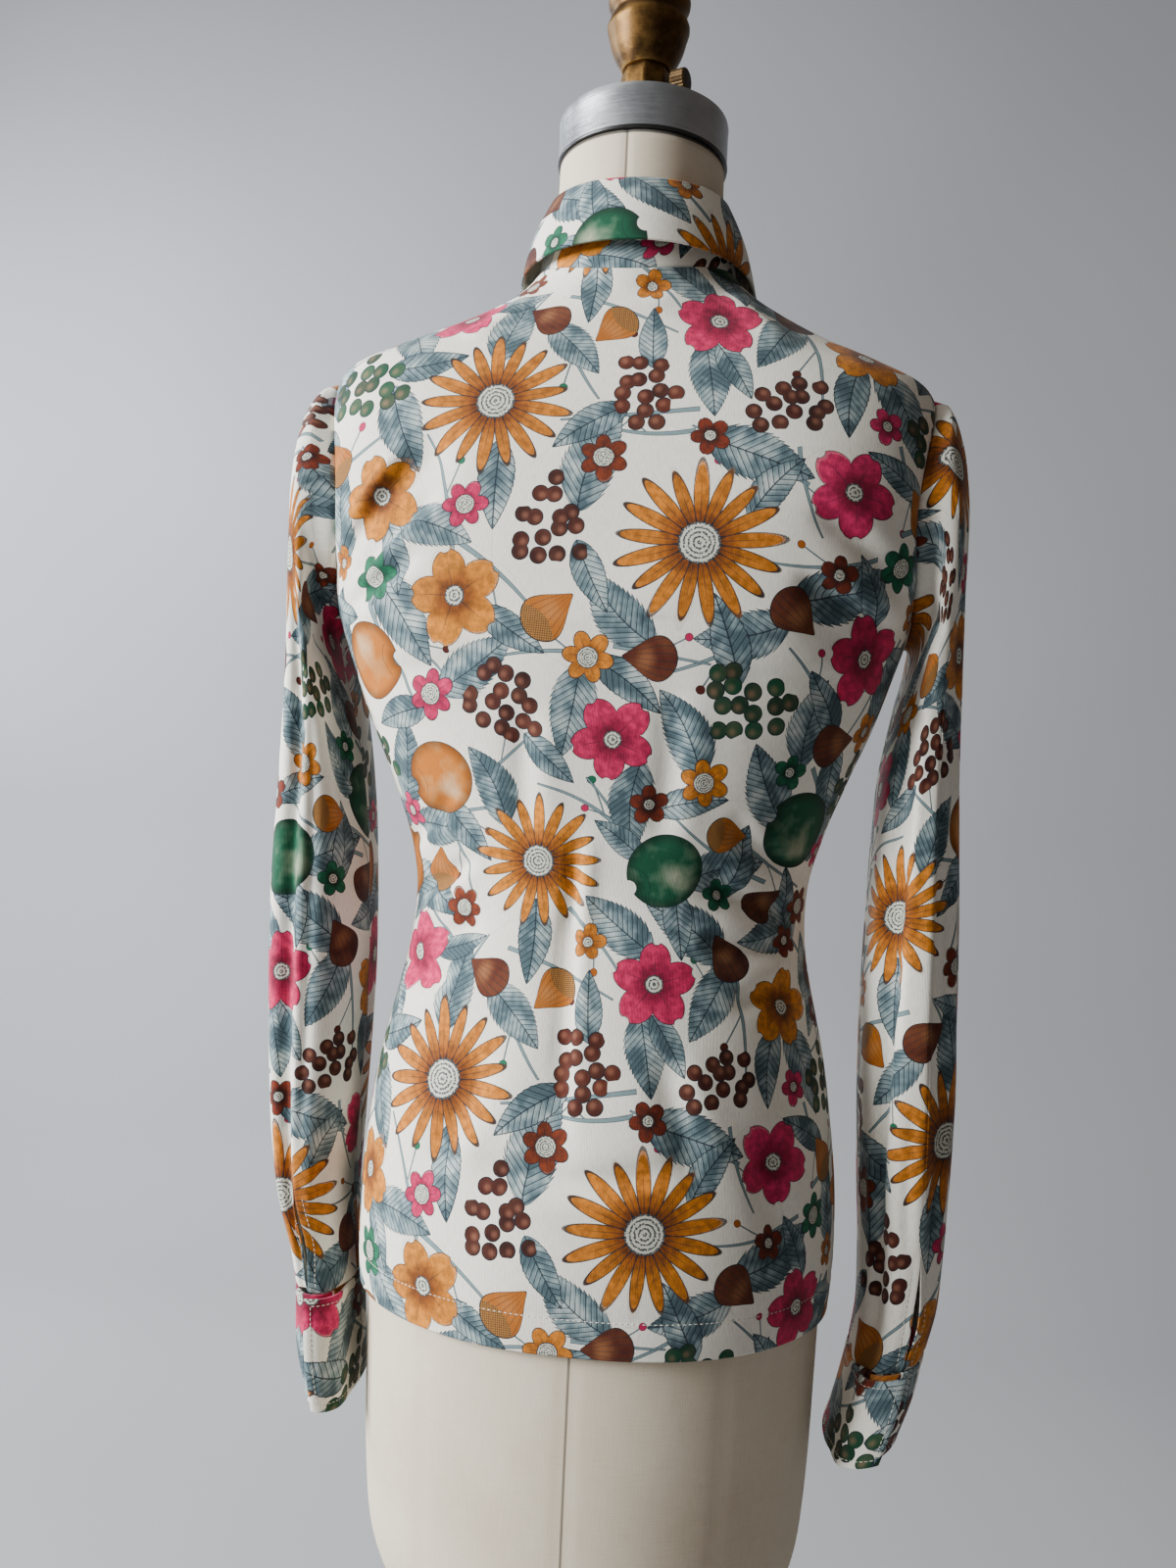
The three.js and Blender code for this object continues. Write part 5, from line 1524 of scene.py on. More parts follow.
@dataclass(frozen=True)
class ShirtBody:
    """The back and the two fronts, in millimetres."""

    hem: float = 795
    underarm: float = 1192
    shoulder: float = 1347
    neckline: float = 1414
    armhole_turn: float = math.radians(31)
    seam_turn: float = 0.0006
    front_overlap: float = 13
    lap_rise: float = 2.9
    lap_ramp: float = 34
    lean: float = 0.023
    lean_from: float = 1230
    lean_beside: float = 62
    calm_above: float = 1330
    step: float = 3.4
    back_width: float = 400
    front_width: float = 235
    shoulder_width: float = 118
    body_rows: int = 112
    armhole_rows: int = 66
    hem_turning: float = 20
    seam_deep: float = 0.85
    hem_deep: float = 0.35
    hem_full: float = 0.2
    form_gap: float = 0.45
    hem_points: int = 400
    placket_points: int = 500
    crease_strength: float = 2.7
    uneven: float = 0.75
    placket_lines: tuple[float, ...] = (3.5, 27)
    button_heights: tuple[float, ...] = (1322, 1252, 1182, 1112, 1042, 972, 902)
    hole_half_tall: float = 7.6
    hole_half_wide: float = 0.9
    troughs: tuple[Trough, ...] = (
        Trough((108, 1278), (164, 1226), 15, 7),
        Trough((-122, 1196), (-166, 1168), 15, 5),
        Trough((16, 1010), (16, 905), 13, 2.6),
        Trough((-66, 1046), (-112, 1022), 12, 3),
        Trough((74, 1010), (116, 968), 12, 3),
    )
    back_creases: tuple[Crease, ...] = (
        Crease((11, 1078), (14, 1012), (9, 893), 4.5, 1.5, 0.5),
        Crease((-64, 897), (4, 887), (78, 896), 8, 1.4),
        Crease((-70, 1086), (-90, 1066), (-116, 1054), 6, 1.8),
        Crease((-60, 1052), (-86, 1036), (-114, 1030), 5, 1.6),
        Crease((-58, 1018), (-84, 1010), (-116, 1012), 6, 1.5),
        Crease((-76, 984), (-96, 984), (-120, 992), 6, 1.2),
        Crease((84, 1096), (102, 1074), (126, 1060), 6, 1.6),
        Crease((70, 1058), (94, 1040), (116, 1034), 5, 1.8),
        Crease((64, 1022), (88, 1010), (114, 1012), 6, 1.4),
        Crease((78, 988), (98, 982), (124, 990), 6, 1.2),
        Crease((118, 1290), (143, 1262), (170, 1222), 5, -1.6, 0.2),
        Crease((92, 1262), (124, 1242), (160, 1204), 6, 1.7),
        Crease((104, 1226), (132, 1212), (164, 1192), 6, 1.5),
        Crease((-98, 1218), (-132, 1204), (-168, 1188), 6, 1.6),
        Crease((-106, 1256), (-140, 1236), (-170, 1206), 7, 1.4),
        Crease((-60, 1168), (-100, 1160), (-150, 1162), 8, 1.1),
        Crease((60, 1172), (100, 1160), (150, 1160), 8, 1.1),
        Crease((-34, 1160), (-38, 1110), (-30, 1060), 8, 1.0, 0.4),
        Crease((40, 1150), (44, 1100), (38, 1050), 8, 1.0, 0.4),
        Crease((-40, 960), (-52, 920), (-70, 880), 9, 1.2),
        Crease((54, 956), (70, 915), (92, 870), 9, 1.2),
        Crease((-96, 920), (-104, 880), (-118, 850), 9, 1.4),
        Crease((-30, 1392), (0, 1384), (32, 1392), 6, 0.7),
        Crease((56, 1392), (74, 1372), (96, 1352), 7, -0.9, 0.0),
        Crease((-56, 1392), (-74, 1372), (-98, 1350), 7, -0.9, 0.0),
    )
    front_creases: tuple[Crease, ...] = (
        Crease((40, 1150), (62, 1120), (110, 1100), 8, 1.6),
        Crease((22, 1098), (58, 1074), (104, 1066), 6, 1.5),
        Crease((20, 1050), (60, 1034), (110, 1036), 6, 1.7),
        Crease((24, 1004), (60, 1000), (112, 1008), 6, 1.5),
        Crease((-38, 1148), (-60, 1124), (-112, 1108), 8, 1.6),
        Crease((-24, 1088), (-60, 1070), (-108, 1062), 6, 1.4),
        Crease((-24, 1040), (-62, 1028), (-110, 1034), 6, 1.6),
        Crease((-26, 994), (-62, 992), (-112, 1004), 6, 1.4),
        Crease((72, 1196), (112, 1226), (152, 1262), 8, 1.8),
        Crease((-72, 1200), (-112, 1228), (-150, 1258), 8, 1.8),
        Crease((60, 950), (74, 900), (84, 840), 9, 1.4),
        Crease((-62, 946), (-78, 900), (-92, 842), 9, 1.4),
        Crease((30, 1240), (60, 1270), (92, 1310), 8, 1.0),
        Crease((-32, 1236), (-60, 1268), (-94, 1312), 8, 1.0),
    )

    def ring(self, level: Level, turn: Array) -> Array:
        """Points on a level of the shirt, with its lean at the shoulders."""
        points = ring_points(level, turn)
        high = ease((points[..., 2] - self.lean_from) / 90)
        outer = ease((np.abs(points[..., 0]) - self.lean_beside) / 60)
        points[..., 2] += self.lean * points[..., 0] * high * outer
        return points

    def surface(self, height: Array, turn: Array, lap: bool = False) -> Array:
        """Outer surface of the shirt, as the solids have it.

        Args:
            height: the level's height at the side.
            turn: the place round it.
            lap: whether it is the right front, which lies over the left one.

        Returns:
            Points in millimetres.
        """
        points = self.ring(SHIRT_LEVELS.at(height), turn)
        points[..., 1] -= BUST.rise(points, BUST.shirt_rise)
        x, z = points[..., 0], points[..., 2]
        trough = sum(t.depth(x, z) for t in self.troughs)
        behind = points[..., 1] > 0
        points[..., 1] -= np.where(behind, trough * ease(points[..., 1] / 40), 0)
        if lap:
            points[..., 1] -= self.lap_rise * ease((x + self.front_overlap + self.lap_ramp) / self.lap_ramp)
        return points

    def armhole(self) -> tuple[float, float]:
        """Height of the armhole's middle, and half its height."""
        return (self.underarm + self.shoulder) / 2, (self.shoulder - self.underarm) / 2

    def armhole_cut(self, height: Array) -> Array:
        """How far the armhole cuts into a panel at a height, as a turn from the side."""
        middle, reach = self.armhole()
        t = np.clip((height - middle) / reach, -1, 1)
        return self.armhole_turn * np.sqrt(1 - t * t)

    def heights(self) -> Array:
        """Heights of the rows of a panel, closer where the armhole turns and over the shoulder."""
        middle, reach = self.armhole()
        low = np.array([0, 0.8, 1.8, 3.2])
        body = np.linspace(self.hem + 6, self.underarm, self.body_rows)
        armhole = middle - reach * np.cos(np.linspace(0, HALF_TURN, self.armhole_rows))[1:]
        top = self.shoulder + (self.neckline - self.shoulder) * edged(self.shoulder_width, self.step)[4:]
        return np.concatenate([self.hem + low, body, armhole, top])

    def grid(self, first: Array, last: Array, width: float, lap: bool) -> Patch:
        """Patch between two turns at each height, with its flat pattern.

        Args:
            first: turn of the first column at each height.
            last: turn of the last column.
            width: about how wide the panel is.
            lap: whether it is the right front.

        Returns:
            The patch on the solids' surface.
        """
        heights = self.heights()
        share = edged(width, self.step)
        turn = first[:, None] + (last - first)[:, None] * share
        return Patch.measured(self.surface(*crossed(heights, turn), lap), spread=True)

    def finish(self, patch: Patch, creases: Iterable[Crease], seed: float) -> None:
        """Adds creases, seams and the hem to a panel, clear of the form."""
        x, z = patch.points[..., 0], patch.points[..., 2]
        depth = self.crease_strength * crease_depth(creases, x, z)
        calm = ease((self.calm_above - z) / 90)
        depth += self.uneven * wander(patch.across, patch.up, seed) * calm
        depth += self.seam_deep * bell(patch.from_sides() / 1.5)
        depth += self.hem_deep * bell((patch.up - self.hem_turning) / 1.4)
        depth -= self.hem_full * ease((patch.up - 3) / 3) * (patch.up < self.hem_turning)
        patch.sink(depth)
        patch.points = PROBE.clear(patch.points, PieceKind.SINGLE.value + self.form_gap)

    def back(self) -> Patch:
        """The back panel."""
        cut = self.armhole_cut(self.heights()) + self.seam_turn
        patch = self.grid(cut, HALF_TURN - cut, self.back_width, False)
        self.finish(patch, self.back_creases, 0.4)
        return patch

    def front(self, is_left: bool) -> Patch:
        """One front; the right one laps over the left one."""
        heights = self.heights()
        lap = np.arcsin(self.front_overlap / SHIRT_LEVELS.at(heights)["half"])
        cut = self.armhole_cut(heights) + self.seam_turn
        if is_left:
            patch = self.grid(-HALF_TURN / 2 - lap, -cut, self.front_width, False)
        else:
            patch = self.grid(HALF_TURN + cut, 1.5 * HALF_TURN + lap, self.front_width, True)
        self.finish(patch, self.front_creases, 1.9 if is_left else 2.8)
        return patch

    def build(self) -> None:
        """Builds the three panels with their hem stitches."""
        for name, patch, origin in (
            ("back_panel", self.back(), (0.0, 0.0)),
            ("left_front", self.front(True), (131.0, 64.0)),
            ("right_front", self.front(False), (287.0, 201.0)),
        ):
            patch.origin = origin
            obj = cloth_object(name + "_cloth", patch, PieceKind.SINGLE)
            settle(obj, (name,))
            width = float(patch.across[12, -1])
            across = np.linspace(1.5, width - 1.5, self.hem_points)
            line = patch.trace(across, np.full(self.hem_points, self.hem_turning))
            sewn = [stitched(name + "_hem_stitches", *line, SEAM_THREAD)]
            if name != "back_panel":
                sewn += self.placket(name, patch, name == "right_front")
            patch.flat_size()

    def placket(self, name: str, patch: Patch, on_top: bool) -> list[bpy.types.Object]:
        """Sews the placket of a front, with its buttonholes where it lies on top.

        Args:
            name: name of the front.
            patch: its surface.
            on_top: whether it is the right front.

        Returns:
            The rows of stitches.
        """
        edge = -1 if on_top else 0
        up = np.linspace(4, float(patch.up[-1, edge]) - 4, self.placket_points)
        made = []
        for away in self.placket_lines:
            line = patch.trace(np.full(self.placket_points, away), up, on_top)
            made.append(stitched(f"{name}_placket_stitches_{away:.0f}", *line, SEAM_THREAD))
        if on_top:
            turn = np.linspace(0, FULL_TURN, 60)
            for i, height in enumerate(self.button_heights):
                middle = float(np.interp(height, patch.points[:, edge, 2], patch.up[:, edge]))
                across = self.front_overlap + self.hole_half_wide * np.cos(turn)
                line = patch.trace(across, middle + self.hole_half_tall * np.sin(turn), True)
                made.append(stitched(f"buttonhole_{i + 1}", *line, BUTTONHOLE_THREAD))
        return made


def sheet_area(patch: Patch) -> float:
    """Area of a patch in square metres."""
    p = patch.points
    one = np.cross(p[1:, 1:] - p[:-1, :-1], p[1:, :-1] - p[:-1, 1:])
    return float(np.linalg.norm(one, axis=-1).sum() / 2 * MM * MM)


LEFT_SLEEVE_CREASES = (
    Crease((84, 1165), (80, 1000), (76, 838), 5, 2.2, 0.5),
    Crease((104, 1150), (112, 1090), (120, 1010), 7, 2.0),
    Crease((60, 1235), (64, 1150), (60, 1060), 6, 1.3),
    Crease((108, 1225), (92, 1205), (72, 1195), 7, 2.2),
    Crease((112, 1190), (90, 1168), (66, 1160), 6, 1.6),
    Crease((126, 1052), (100, 1036), (74, 1040), 7, 1.5),
    Crease((118, 992), (92, 980), (70, 988), 6, 1.2),
    Crease((50, 960), (54, 900), (62, 836), 6, 1.2),
    Crease((100, 900), (98, 860), (92, 812), 5, 1.3),
    Crease((200, 1120), (222, 1088), (246, 1070), 7, 1.6),
    Crease((196, 1064), (220, 1044), (244, 1050), 6, 1.6),
    Crease((204, 1000), (226, 990), (250, 1002), 6, 1.2),
    Crease((176, 1190), (196, 1160), (222, 1146), 8, 1.8),
    Crease((214, 960), (210, 900), (204, 830), 6, 1.5, 0.4),
    Crease((252, 1120), (258, 1000), (256, 880), 6, 1.2, 0.4),
    Crease((20, 1180), (16, 1060), (22, 930), 7, 1.0),
)
RIGHT_SLEEVE_CREASES = (
    Crease((90, 1165), (98, 980), (112, 808), 5, 2.2, 0.5),
    Crease((50, 1238), (56, 1040), (54, 842), 5, 2.0, 0.45),
    Crease((110, 1222), (90, 1200), (66, 1196), 7, 2.0),
    Crease((122, 1176), (100, 1150), (76, 1148), 6, 1.5),
    Crease((126, 1070), (104, 1050), (80, 1056), 7, 1.6),
    Crease((128, 1010), (106, 1000), (84, 1008), 6, 1.3),
    Crease((74, 930), (78, 880), (74, 826), 6, 1.3),
    Crease((122, 900), (126, 850), (120, 800), 5, 1.3),
    Crease((200, 1116), (224, 1090), (248, 1074), 7, 1.6),
    Crease((198, 1058), (222, 1040), (246, 1046), 6, 1.5),
    Crease((206, 990), (228, 984), (252, 996), 6, 1.2),
    Crease((178, 1186), (200, 1158), (226, 1150), 8, 1.7),
    Crease((216, 950), (212, 890), (206, 816), 6, 1.4, 0.4),
    Crease((256, 1110), (260, 1000), (254, 870), 6, 1.2, 0.4),
    Crease((18, 1170), (22, 1050), (16, 920), 7, 1.1),
)


@dataclass(frozen=True)
class SleeveFold:
    """A broad fold of a sleeve's solid, from one ring and turn in degrees to another."""

    rings: tuple[float, float]
    turns: tuple[float, float]
    wide: float
    deep: float

    def depth(self, ring: Array, turn: Array) -> Array:
        """Depth of the fold at rings and turns in radians."""
        t = (ring - self.rings[0]) / (self.rings[1] - self.rings[0])
        fade = ease((t + 0.3) / 0.4) * ease((1.3 - t) / 0.4)
        middle = self.turns[0] + (self.turns[1] - self.turns[0]) * np.clip(t, 0, 1)
        off = (np.degrees(turn) - middle + 180) % 360 - 180
        return self.deep * fade * bell(off / self.wide)


def arm_middle(row: Level) -> Array:
    """Middle of an arm's ring, as at the left arm."""
    return np.stack([(row["innerX"] + row["outerX"]) / 2, row["middleY"],
                     (row["innerZ"] + row["outerZ"]) / 2], axis=-1)


def arm_points(rings: Table, folds: Iterable[SleeveFold], ring: Array, turn: Array, side: int) -> Array:
    """Points on a sleeve's or cuff's rings.

    Args:
        rings: the table of rings.
        folds: broad folds, or none.
        ring: places down the arm, counted in rings.
        turn: places round it, 0 at the outer side and a quarter turn at the back.
        side: 1 at the left arm and -1 at the right one.

    Returns:
        Points in millimetres.
    """
    row = rings.at(ring)
    c, s = np.cos(turn), np.sin(turn)
    f = squared(turn, row["square"])
    middle = arm_middle(row)
    x = middle[..., 0] + (row["outerX"] - row["innerX"]) / 2 * c * f
    z = middle[..., 2] + (row["outerZ"] - row["innerZ"]) / 2 * c * f
    y = row["middleY"] + np.where(s >= 0, row["back"], row["front"]) * s * f
    points = np.stack([x, y, z], axis=-1)
    depth = sum((fold.depth(ring, turn) for fold in folds), np.zeros(x.shape))
    points = points + unit(middle - points) * depth[..., None]
    points[..., 0] *= side
    return points


@dataclass
class Sleeve:
    """One sleeve, from its armhole to the seam with its cuff, in millimetres."""

    name: str
    side: int
    rings: Table
    folds: tuple[SleeveFold, ...]
    creases: tuple[Crease, ...]
    slit_turn: float
    slit_wide: float
    shirt: ShirtBody
    slit_tall: float = 66
    slit_widest: float = 0.42
    armhole_gap: float = -1.7
    round_arm: float = 290
    turn_radius: float = 22
    degree: float = 0.8
    sewn_slit: float = 4.5
    uneven: float = 0.6
    head_tuck: float = 1.5
    foot_tuck: float = 0.6
    pucker: float = 0.45
    slit_dent: float = 0.5
    underarm_row: int = 60
    underarm_column: int = 0

    def surface(self, ring: Array, turn: Array) -> Array:
        """Outer surface as the solid has it; its first ring follows the armhole's edge."""
        points = arm_points(self.rings, self.folds, np.maximum(ring, 1.0), turn, self.side)
        middle, reach = self.shirt.armhole()
        level = SHIRT_LEVELS.at(middle + reach * np.cos(turn))
        away = self.shirt.armhole_turn * np.sin(turn)
        edge = self.shirt.ring(level, away if self.side > 0 else HALF_TURN - away)
        edge[..., 0] += self.armhole_gap * self.side
        t = np.clip(ring, 0, 1)[..., None]
        return edge * (1 - t) + points * t

    def slit_half(self, up: Array) -> Array:
        """Half the slit's opening at heights above the cuff."""
        t = up / self.slit_tall
        rising = ease(t / self.slit_widest) * 0.85 + 0.15
        falling = ease((1 - t) / (1 - self.slit_widest))
        share = np.where(t < self.slit_widest, rising, falling)
        return np.where(up < self.slit_tall, self.slit_wide / 2 * share, 0)

    def patch(self) -> Patch:
        """The sleeve's surface, open along the slit, with its flat pattern."""
        last = len(self.rings.rows) - 1
        low = last - np.array([0, 0.02, 0.05, 0.09])
        rings = np.concatenate([low, np.linspace(last - 0.15, 1, 178), [0.75, 0.5, 0.3, 0.17, 0.08, 0]])
        share = edged(self.round_arm, 3.4)
        start = math.radians(self.slit_turn)
        foot = self.surface(rings, np.full(rings.shape, start))
        above = foot[:, 2] - foot[0, 2]
        open_half = self.slit_half(above) / self.turn_radius
        turn = start + open_half[:, None] + share * (FULL_TURN - 2 * open_half[:, None])
        points = self.surface(*crossed(rings, turn))
        patch = Patch.measured(points, flip=self.side < 0, origin=(60.0 * self.side, 40.0))
        across = patch.across
        relative = (np.degrees(turn) % 360) * self.degree
        depth = crease_depth(self.creases, relative, points[..., 2])
        depth += self.uneven * wander(across, patch.up, 0.7 * self.side + 3)
        depth += self.slit_dent * bell((patch.from_sides() - 4) / 2) * (above[:, None] < self.slit_tall)
        head = arc_rows(points[::-1])[::-1]
        depth += self.head_tuck * bell(head / 2.2) + self.foot_tuck * bell(patch.up / 2.0)
        depth += self.pucker * np.sin(across / 3.1 + 1.4 * np.sin(across / 9)) * bell(patch.up / 14)
        patch.sink(depth)
        closed = above >= self.slit_tall
        seam = (patch.points[closed, 0] + patch.points[closed, -1]) / 2
        patch.points[closed, 0] = seam
        patch.points[closed, -1] = seam
        self.underarm_column = int(np.argmin(np.abs(np.degrees(turn[self.underarm_row]) % 360 - 180)))
        return patch

    def build(self) -> None:
        """Builds the sleeve and the stitches of its slit."""
        patch = self.patch()
        laid = SleevePattern(patch, self.underarm_column)
        obj = cloth_object(self.name + "_sleeve_cloth", laid, PieceKind.SINGLE)
        settle(obj, (self.name + "_sleeve",))
        up = np.linspace(3, self.slit_tall - 8, 60)
        for side_name, from_end in (("front", False), ("back", True)):
            line = patch.trace(np.full(up.shape, self.sewn_slit), up, from_end)
            stitched(f"{self.name}_slit_stitches_{side_name}", *line, CUFF_THREAD)
        patch.flat_size()


class SleevePattern(Patch):
    """A sleeve's patch, whose flat pattern breaks at the underarm seam and not at the slit."""

    def __init__(self, patch: Patch, underarm: int) -> None:
        """Takes a sleeve's patch and the column of its underarm seam."""
        super().__init__(patch.points, patch.across, patch.up, patch.closed, patch.flip, origin=patch.origin)
        self.underarm = underarm

    def flat_places(self, faces: Array) -> Array:
        """Flat pattern at each corner of the faces, in metres."""
        flat = super().flat_places(faces)
        columns = self.points.shape[1]
        beyond = faces.min(axis=1) % columns >= self.underarm
        whole = np.repeat(self.across[:, -1:], columns, axis=1).ravel()[faces] * MM
        flat[..., 0] -= np.where(beyond[:, None], whole, 0)
        return flat


@dataclass
class Cuff:
    """One cuff: a band whose upper end laps over its lower end at the back, in millimetres."""

    name: str
    side: int
    rings: Table
    edge: float
    lap: float = math.radians(48)
    lap_rise: float = 6.6
    button_share: float = 0.76
    stitch_inset: float = 4.5
    edge_radius: float = 0.5
    uneven: float = 0.55
    edge_roll: float = 0.3
    stitch_dent: float = 0.35

    def surface(self, ring: Array, walk: Array) -> Array:
        """Outer surface; walk goes round from the end that lies underneath."""
        turn = math.radians(self.edge) + self.lap - walk
        points = arm_points(self.rings, (), ring, turn, self.side)
        last = FULL_TURN + self.lap
        rise = self.lap_rise * ease((walk - last + self.lap * 1.6) / (self.lap * 0.6))
        middle = arm_middle(self.rings.at(np.asarray(ring, float))) * (self.side, 1, 1)
        return points + unit(points - middle) * rise[..., None]

    def build(self) -> None:
        """Builds the cuff and its edge stitches."""
        last = len(self.rings.rows) - 1
        rings = last * (1 - edged(66, 3.0))
        walk = edged(300, 3.2) * (FULL_TURN + self.lap)
        patch = Patch.measured(self.surface(*crossed(rings, walk)), flip=self.side > 0,
                               origin=(20.0 * self.side, 170.0))
        edge = np.minimum(patch.from_sides(), np.minimum(patch.up, patch.up[-1:] - patch.up))
        depth = self.uneven * wander(patch.across, patch.up, 5.1 + self.side)
        depth += self.stitch_dent * bell(edge - 5.5) - self.edge_roll * bell((edge - 2.5) / 1.6)
        patch.sink(depth)
        obj = cloth_object(self.name + "_cuff_cloth", patch, PieceKind.CUFF)
        add_modifier(obj, "BEVEL", width=self.edge_radius * MM, segments=2, limit_method="ANGLE",
                     angle_limit=math.radians(50))
        settle(obj, (self.name + "_cuff",))
        long, high = float(patch.across[0, -1]), float(patch.up[-1, 0])
        inset = self.stitch_inset
        lines = (
            ("low", np.linspace(inset, long - inset, 300), np.full(300, inset)),
            ("high", np.linspace(inset, long - inset, 300), np.full(300, high - inset)),
            ("end", np.full(60, inset), np.linspace(inset, high - inset, 60)),
        )
        for line_name, across, up in lines:
            line = patch.trace(across, up, True)
            stitched(f"{self.name}_cuff_stitches_{line_name}", *line, CUFF_THREAD)
        patch.flat_size()


@dataclass
class Collar:
    """The collar stand and the fall that turns over it, in millimetres."""

    shirt: ShirtBody
    gap: float = 0.3
    lap: float = 13
    bulge: float = 2.5
    uneven: float = 0.35
    foot_tuck: float = 0.5

    def stand_surface(self, rise: Array, along: Array) -> Array:
        """Outer surface of the stand; its right end lies on top at the front."""
        foot = SHIRT_LEVELS.at(np.array(self.shirt.neckline))
        foot["at"] = np.array(self.shirt.neckline + self.gap)
        level = {name: foot[name] * (1 - rise) + STAND_TOP[name] * rise for name in STAND_TOP}
        lap = np.arcsin(self.lap / level["half"])
        turn = -HALF_TURN / 2 - lap + along * (FULL_TURN + 2 * lap)
        points = ring_points(level, turn)
        over = self.shirt.lap_rise * ease((along - 0.86) / 0.06)
        points[..., 0] += over * np.cos(turn)
        points[..., 1] += over * np.sin(turn)
        return points

    def fall_surface(self, row: Array, fold: Array) -> Array:
        """Outer surface of the fall, from inside the stand's top over the fold to its edge.

        Args:
            row: 0 to 2 over the fold, and on to 5 at the edge.
            fold: degrees from the centre back along the fold.

        Returns:
            Points in millimetres.
        """
        away = np.abs(fold)
        turn = HALF_TURN / 2 - np.radians(fold)
        level = {name: np.full(fold.shape, value) for name, value in STAND_TOP.items()}
        top = ring_points(level, turn)
        outwards = np.stack([np.cos(turn), np.sin(turn), 0 * turn], axis=-1)
        clear = self.shirt.lap_rise * ease((away - 130) / 14)
        roll = FALL_ROLL.at(np.minimum(row, 2.0))
        rolled = top + outwards * (roll["out"] + clear)[..., None]
        rolled[..., 2] += roll["up"]
        e = FALL_EDGE.at(away)
        angle = np.radians(e["edge"]) * np.where(fold < 0, -1, 1)
        edge = np.stack([np.sin(angle) * e["reach"], np.cos(angle) * e["reach"], e["height"]], axis=-1)
        t = np.clip((row - 2) / 3, 0, 1)[..., None]
        hang = rolled * (1 - t) + edge * t + outwards * self.bulge * np.sin(HALF_TURN * t)
        return np.where((row > 2)[..., None], hang, rolled)

    def build(self) -> None:
        """Builds the stand and the fall."""
        rise, along = edged(42, 2.6), edged(380, 3.2)
        stand = Patch.measured(self.stand_surface(*crossed(rise, along)), origin=(15.0, 90.0))
        depth = self.uneven * wander(stand.across, stand.up, 8.2)
        stand.sink(depth + self.foot_tuck * bell(stand.up / 1.5))
        obj = cloth_object("collar_stand_cloth", stand, PieceKind.STAND)
        settle(obj, ("collar_stand",))
        stand.flat_size()
        last_fold = FALL_EDGE.rows[-1][0]
        row = np.concatenate([np.linspace(0, 2, 9), 2 + 3 * edged(56, 2.8)[1:]])
        fold = (edged(420, 3.0) * 2 - 1) * last_fold
        fall = Patch.measured(self.fall_surface(*crossed(row, fold)), spread=True, origin=(40.0, 250.0))
        obj = cloth_object("collar_fall_cloth", fall, PieceKind.FALL)
        settle(obj, ("collar_fall",))
        fall.flat_size()


def added(operator: Callable[..., object], **values: object) -> bpy.types.Object:
    """Adds a primitive with nothing else selected."""
    bpy.ops.object.select_all(action="DESELECT")
    operator(**values)
    return bpy.context.object


def round_edges(obj: bpy.types.Object, radius: float = 0.2, segments: int = 2, degrees: float = 30) -> None:
    """Rounds the edges that bend by more than an angle, by a radius in millimetres."""
    add_modifier(obj, "BEVEL", width=radius * MM, segments=segments, limit_method="ANGLE",
                 angle_limit=math.radians(degrees))


def finished(obj: bpy.types.Object, finish: "Finish", nodes: Iterable[str],
             sharp: float | None = None) -> bpy.types.Object:
    """Gives a hard piece its finish and shading, and settles it.

    Args:
        obj: the new piece.
        finish: its finish.
        nodes: the CAD nodes that it stands for.
        sharp: the angle in degrees above which an edge looks sharp, or none to leave the shading.

    Returns:
        The same object.
    """
    obj.data.materials.append(finish.material())
    if sharp is not None:
        smooth_by_angle(obj, sharp)
    return settle(obj, nodes)


def turned_piece(name: str, rows: Iterable[tuple[float, float]], segments: int,
                 centre: tuple[float, float] = (0.0, 0.0)) -> bpy.types.Object:
    """Round piece about an upright line, drawn up ring by ring from a flat disc.

    Args:
        name: name of the piece.
        rows: radius and height of each ring, in millimetres, from the bottom up.
        segments: sides of a ring.
        centre: where the line stands, in millimetres.

    Returns:
        The closed piece.
    """
    rings = list(rows)
    x, y = centre[0] * MM, centre[1] * MM
    obj = added(bpy.ops.mesh.primitive_circle_add, vertices=segments, radius=rings[0][0] * MM,
                fill_type="NGON", location=(x, y, rings[0][1] * MM))
    obj.name = name
    obj.data.name = name
    bpy.ops.object.mode_set(mode="EDIT")
    bpy.ops.mesh.select_all(action="SELECT")
    for (before, low), (radius, high) in zip(rings, rings[1:]):
        bpy.ops.mesh.extrude_region_move(TRANSFORM_OT_translate={"value": (0, 0, (high - low) * MM)})
        grow = radius / before
        bpy.ops.transform.resize(value=(grow, grow, 1), center_override=(x, y, high * MM))
    bpy.ops.mesh.select_all(action="SELECT")
    bpy.ops.mesh.normals_make_consistent(inside=False)
    bpy.ops.object.mode_set(mode="OBJECT")
    bpy.ops.object.transform_apply(location=True, rotation=True, scale=True)
    return obj


def smooth_by_angle(obj: bpy.types.Object, degrees: float) -> None:
    """Smooth shading except over sharp edges."""
    select_only(obj)
    bpy.ops.object.shade_smooth_by_angle(angle=math.radians(degrees))


def face_normal(surface: Callable[[Array, Array], Array], first: float, second: float,
                reach: tuple[float, float]) -> Vector:
    """Normal of a surface of two numbers at a place.

    Args:
        surface: gives points for arrays of the two numbers.
        first: the first number, which runs round the axis.
        second: the second number, which runs up.
        reach: how far to look on both sides, in the two numbers.

    Returns:
        The unit normal of first by second.
    """
    a, b = reach
    near = np.array([(a, 0), (-a, 0), (0, b), (0, -b)]) + (first, second)
    points = surface(near[:, 0], near[:, 1])
    return Vector(np.cross(points[0] - points[1], points[2] - points[3])).normalized()


def box_middle(node: str) -> Vector:
    """Middle of a CAD node's box, in metres."""
    low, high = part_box(node)
    return (Vector(low) + Vector(high)) / 2


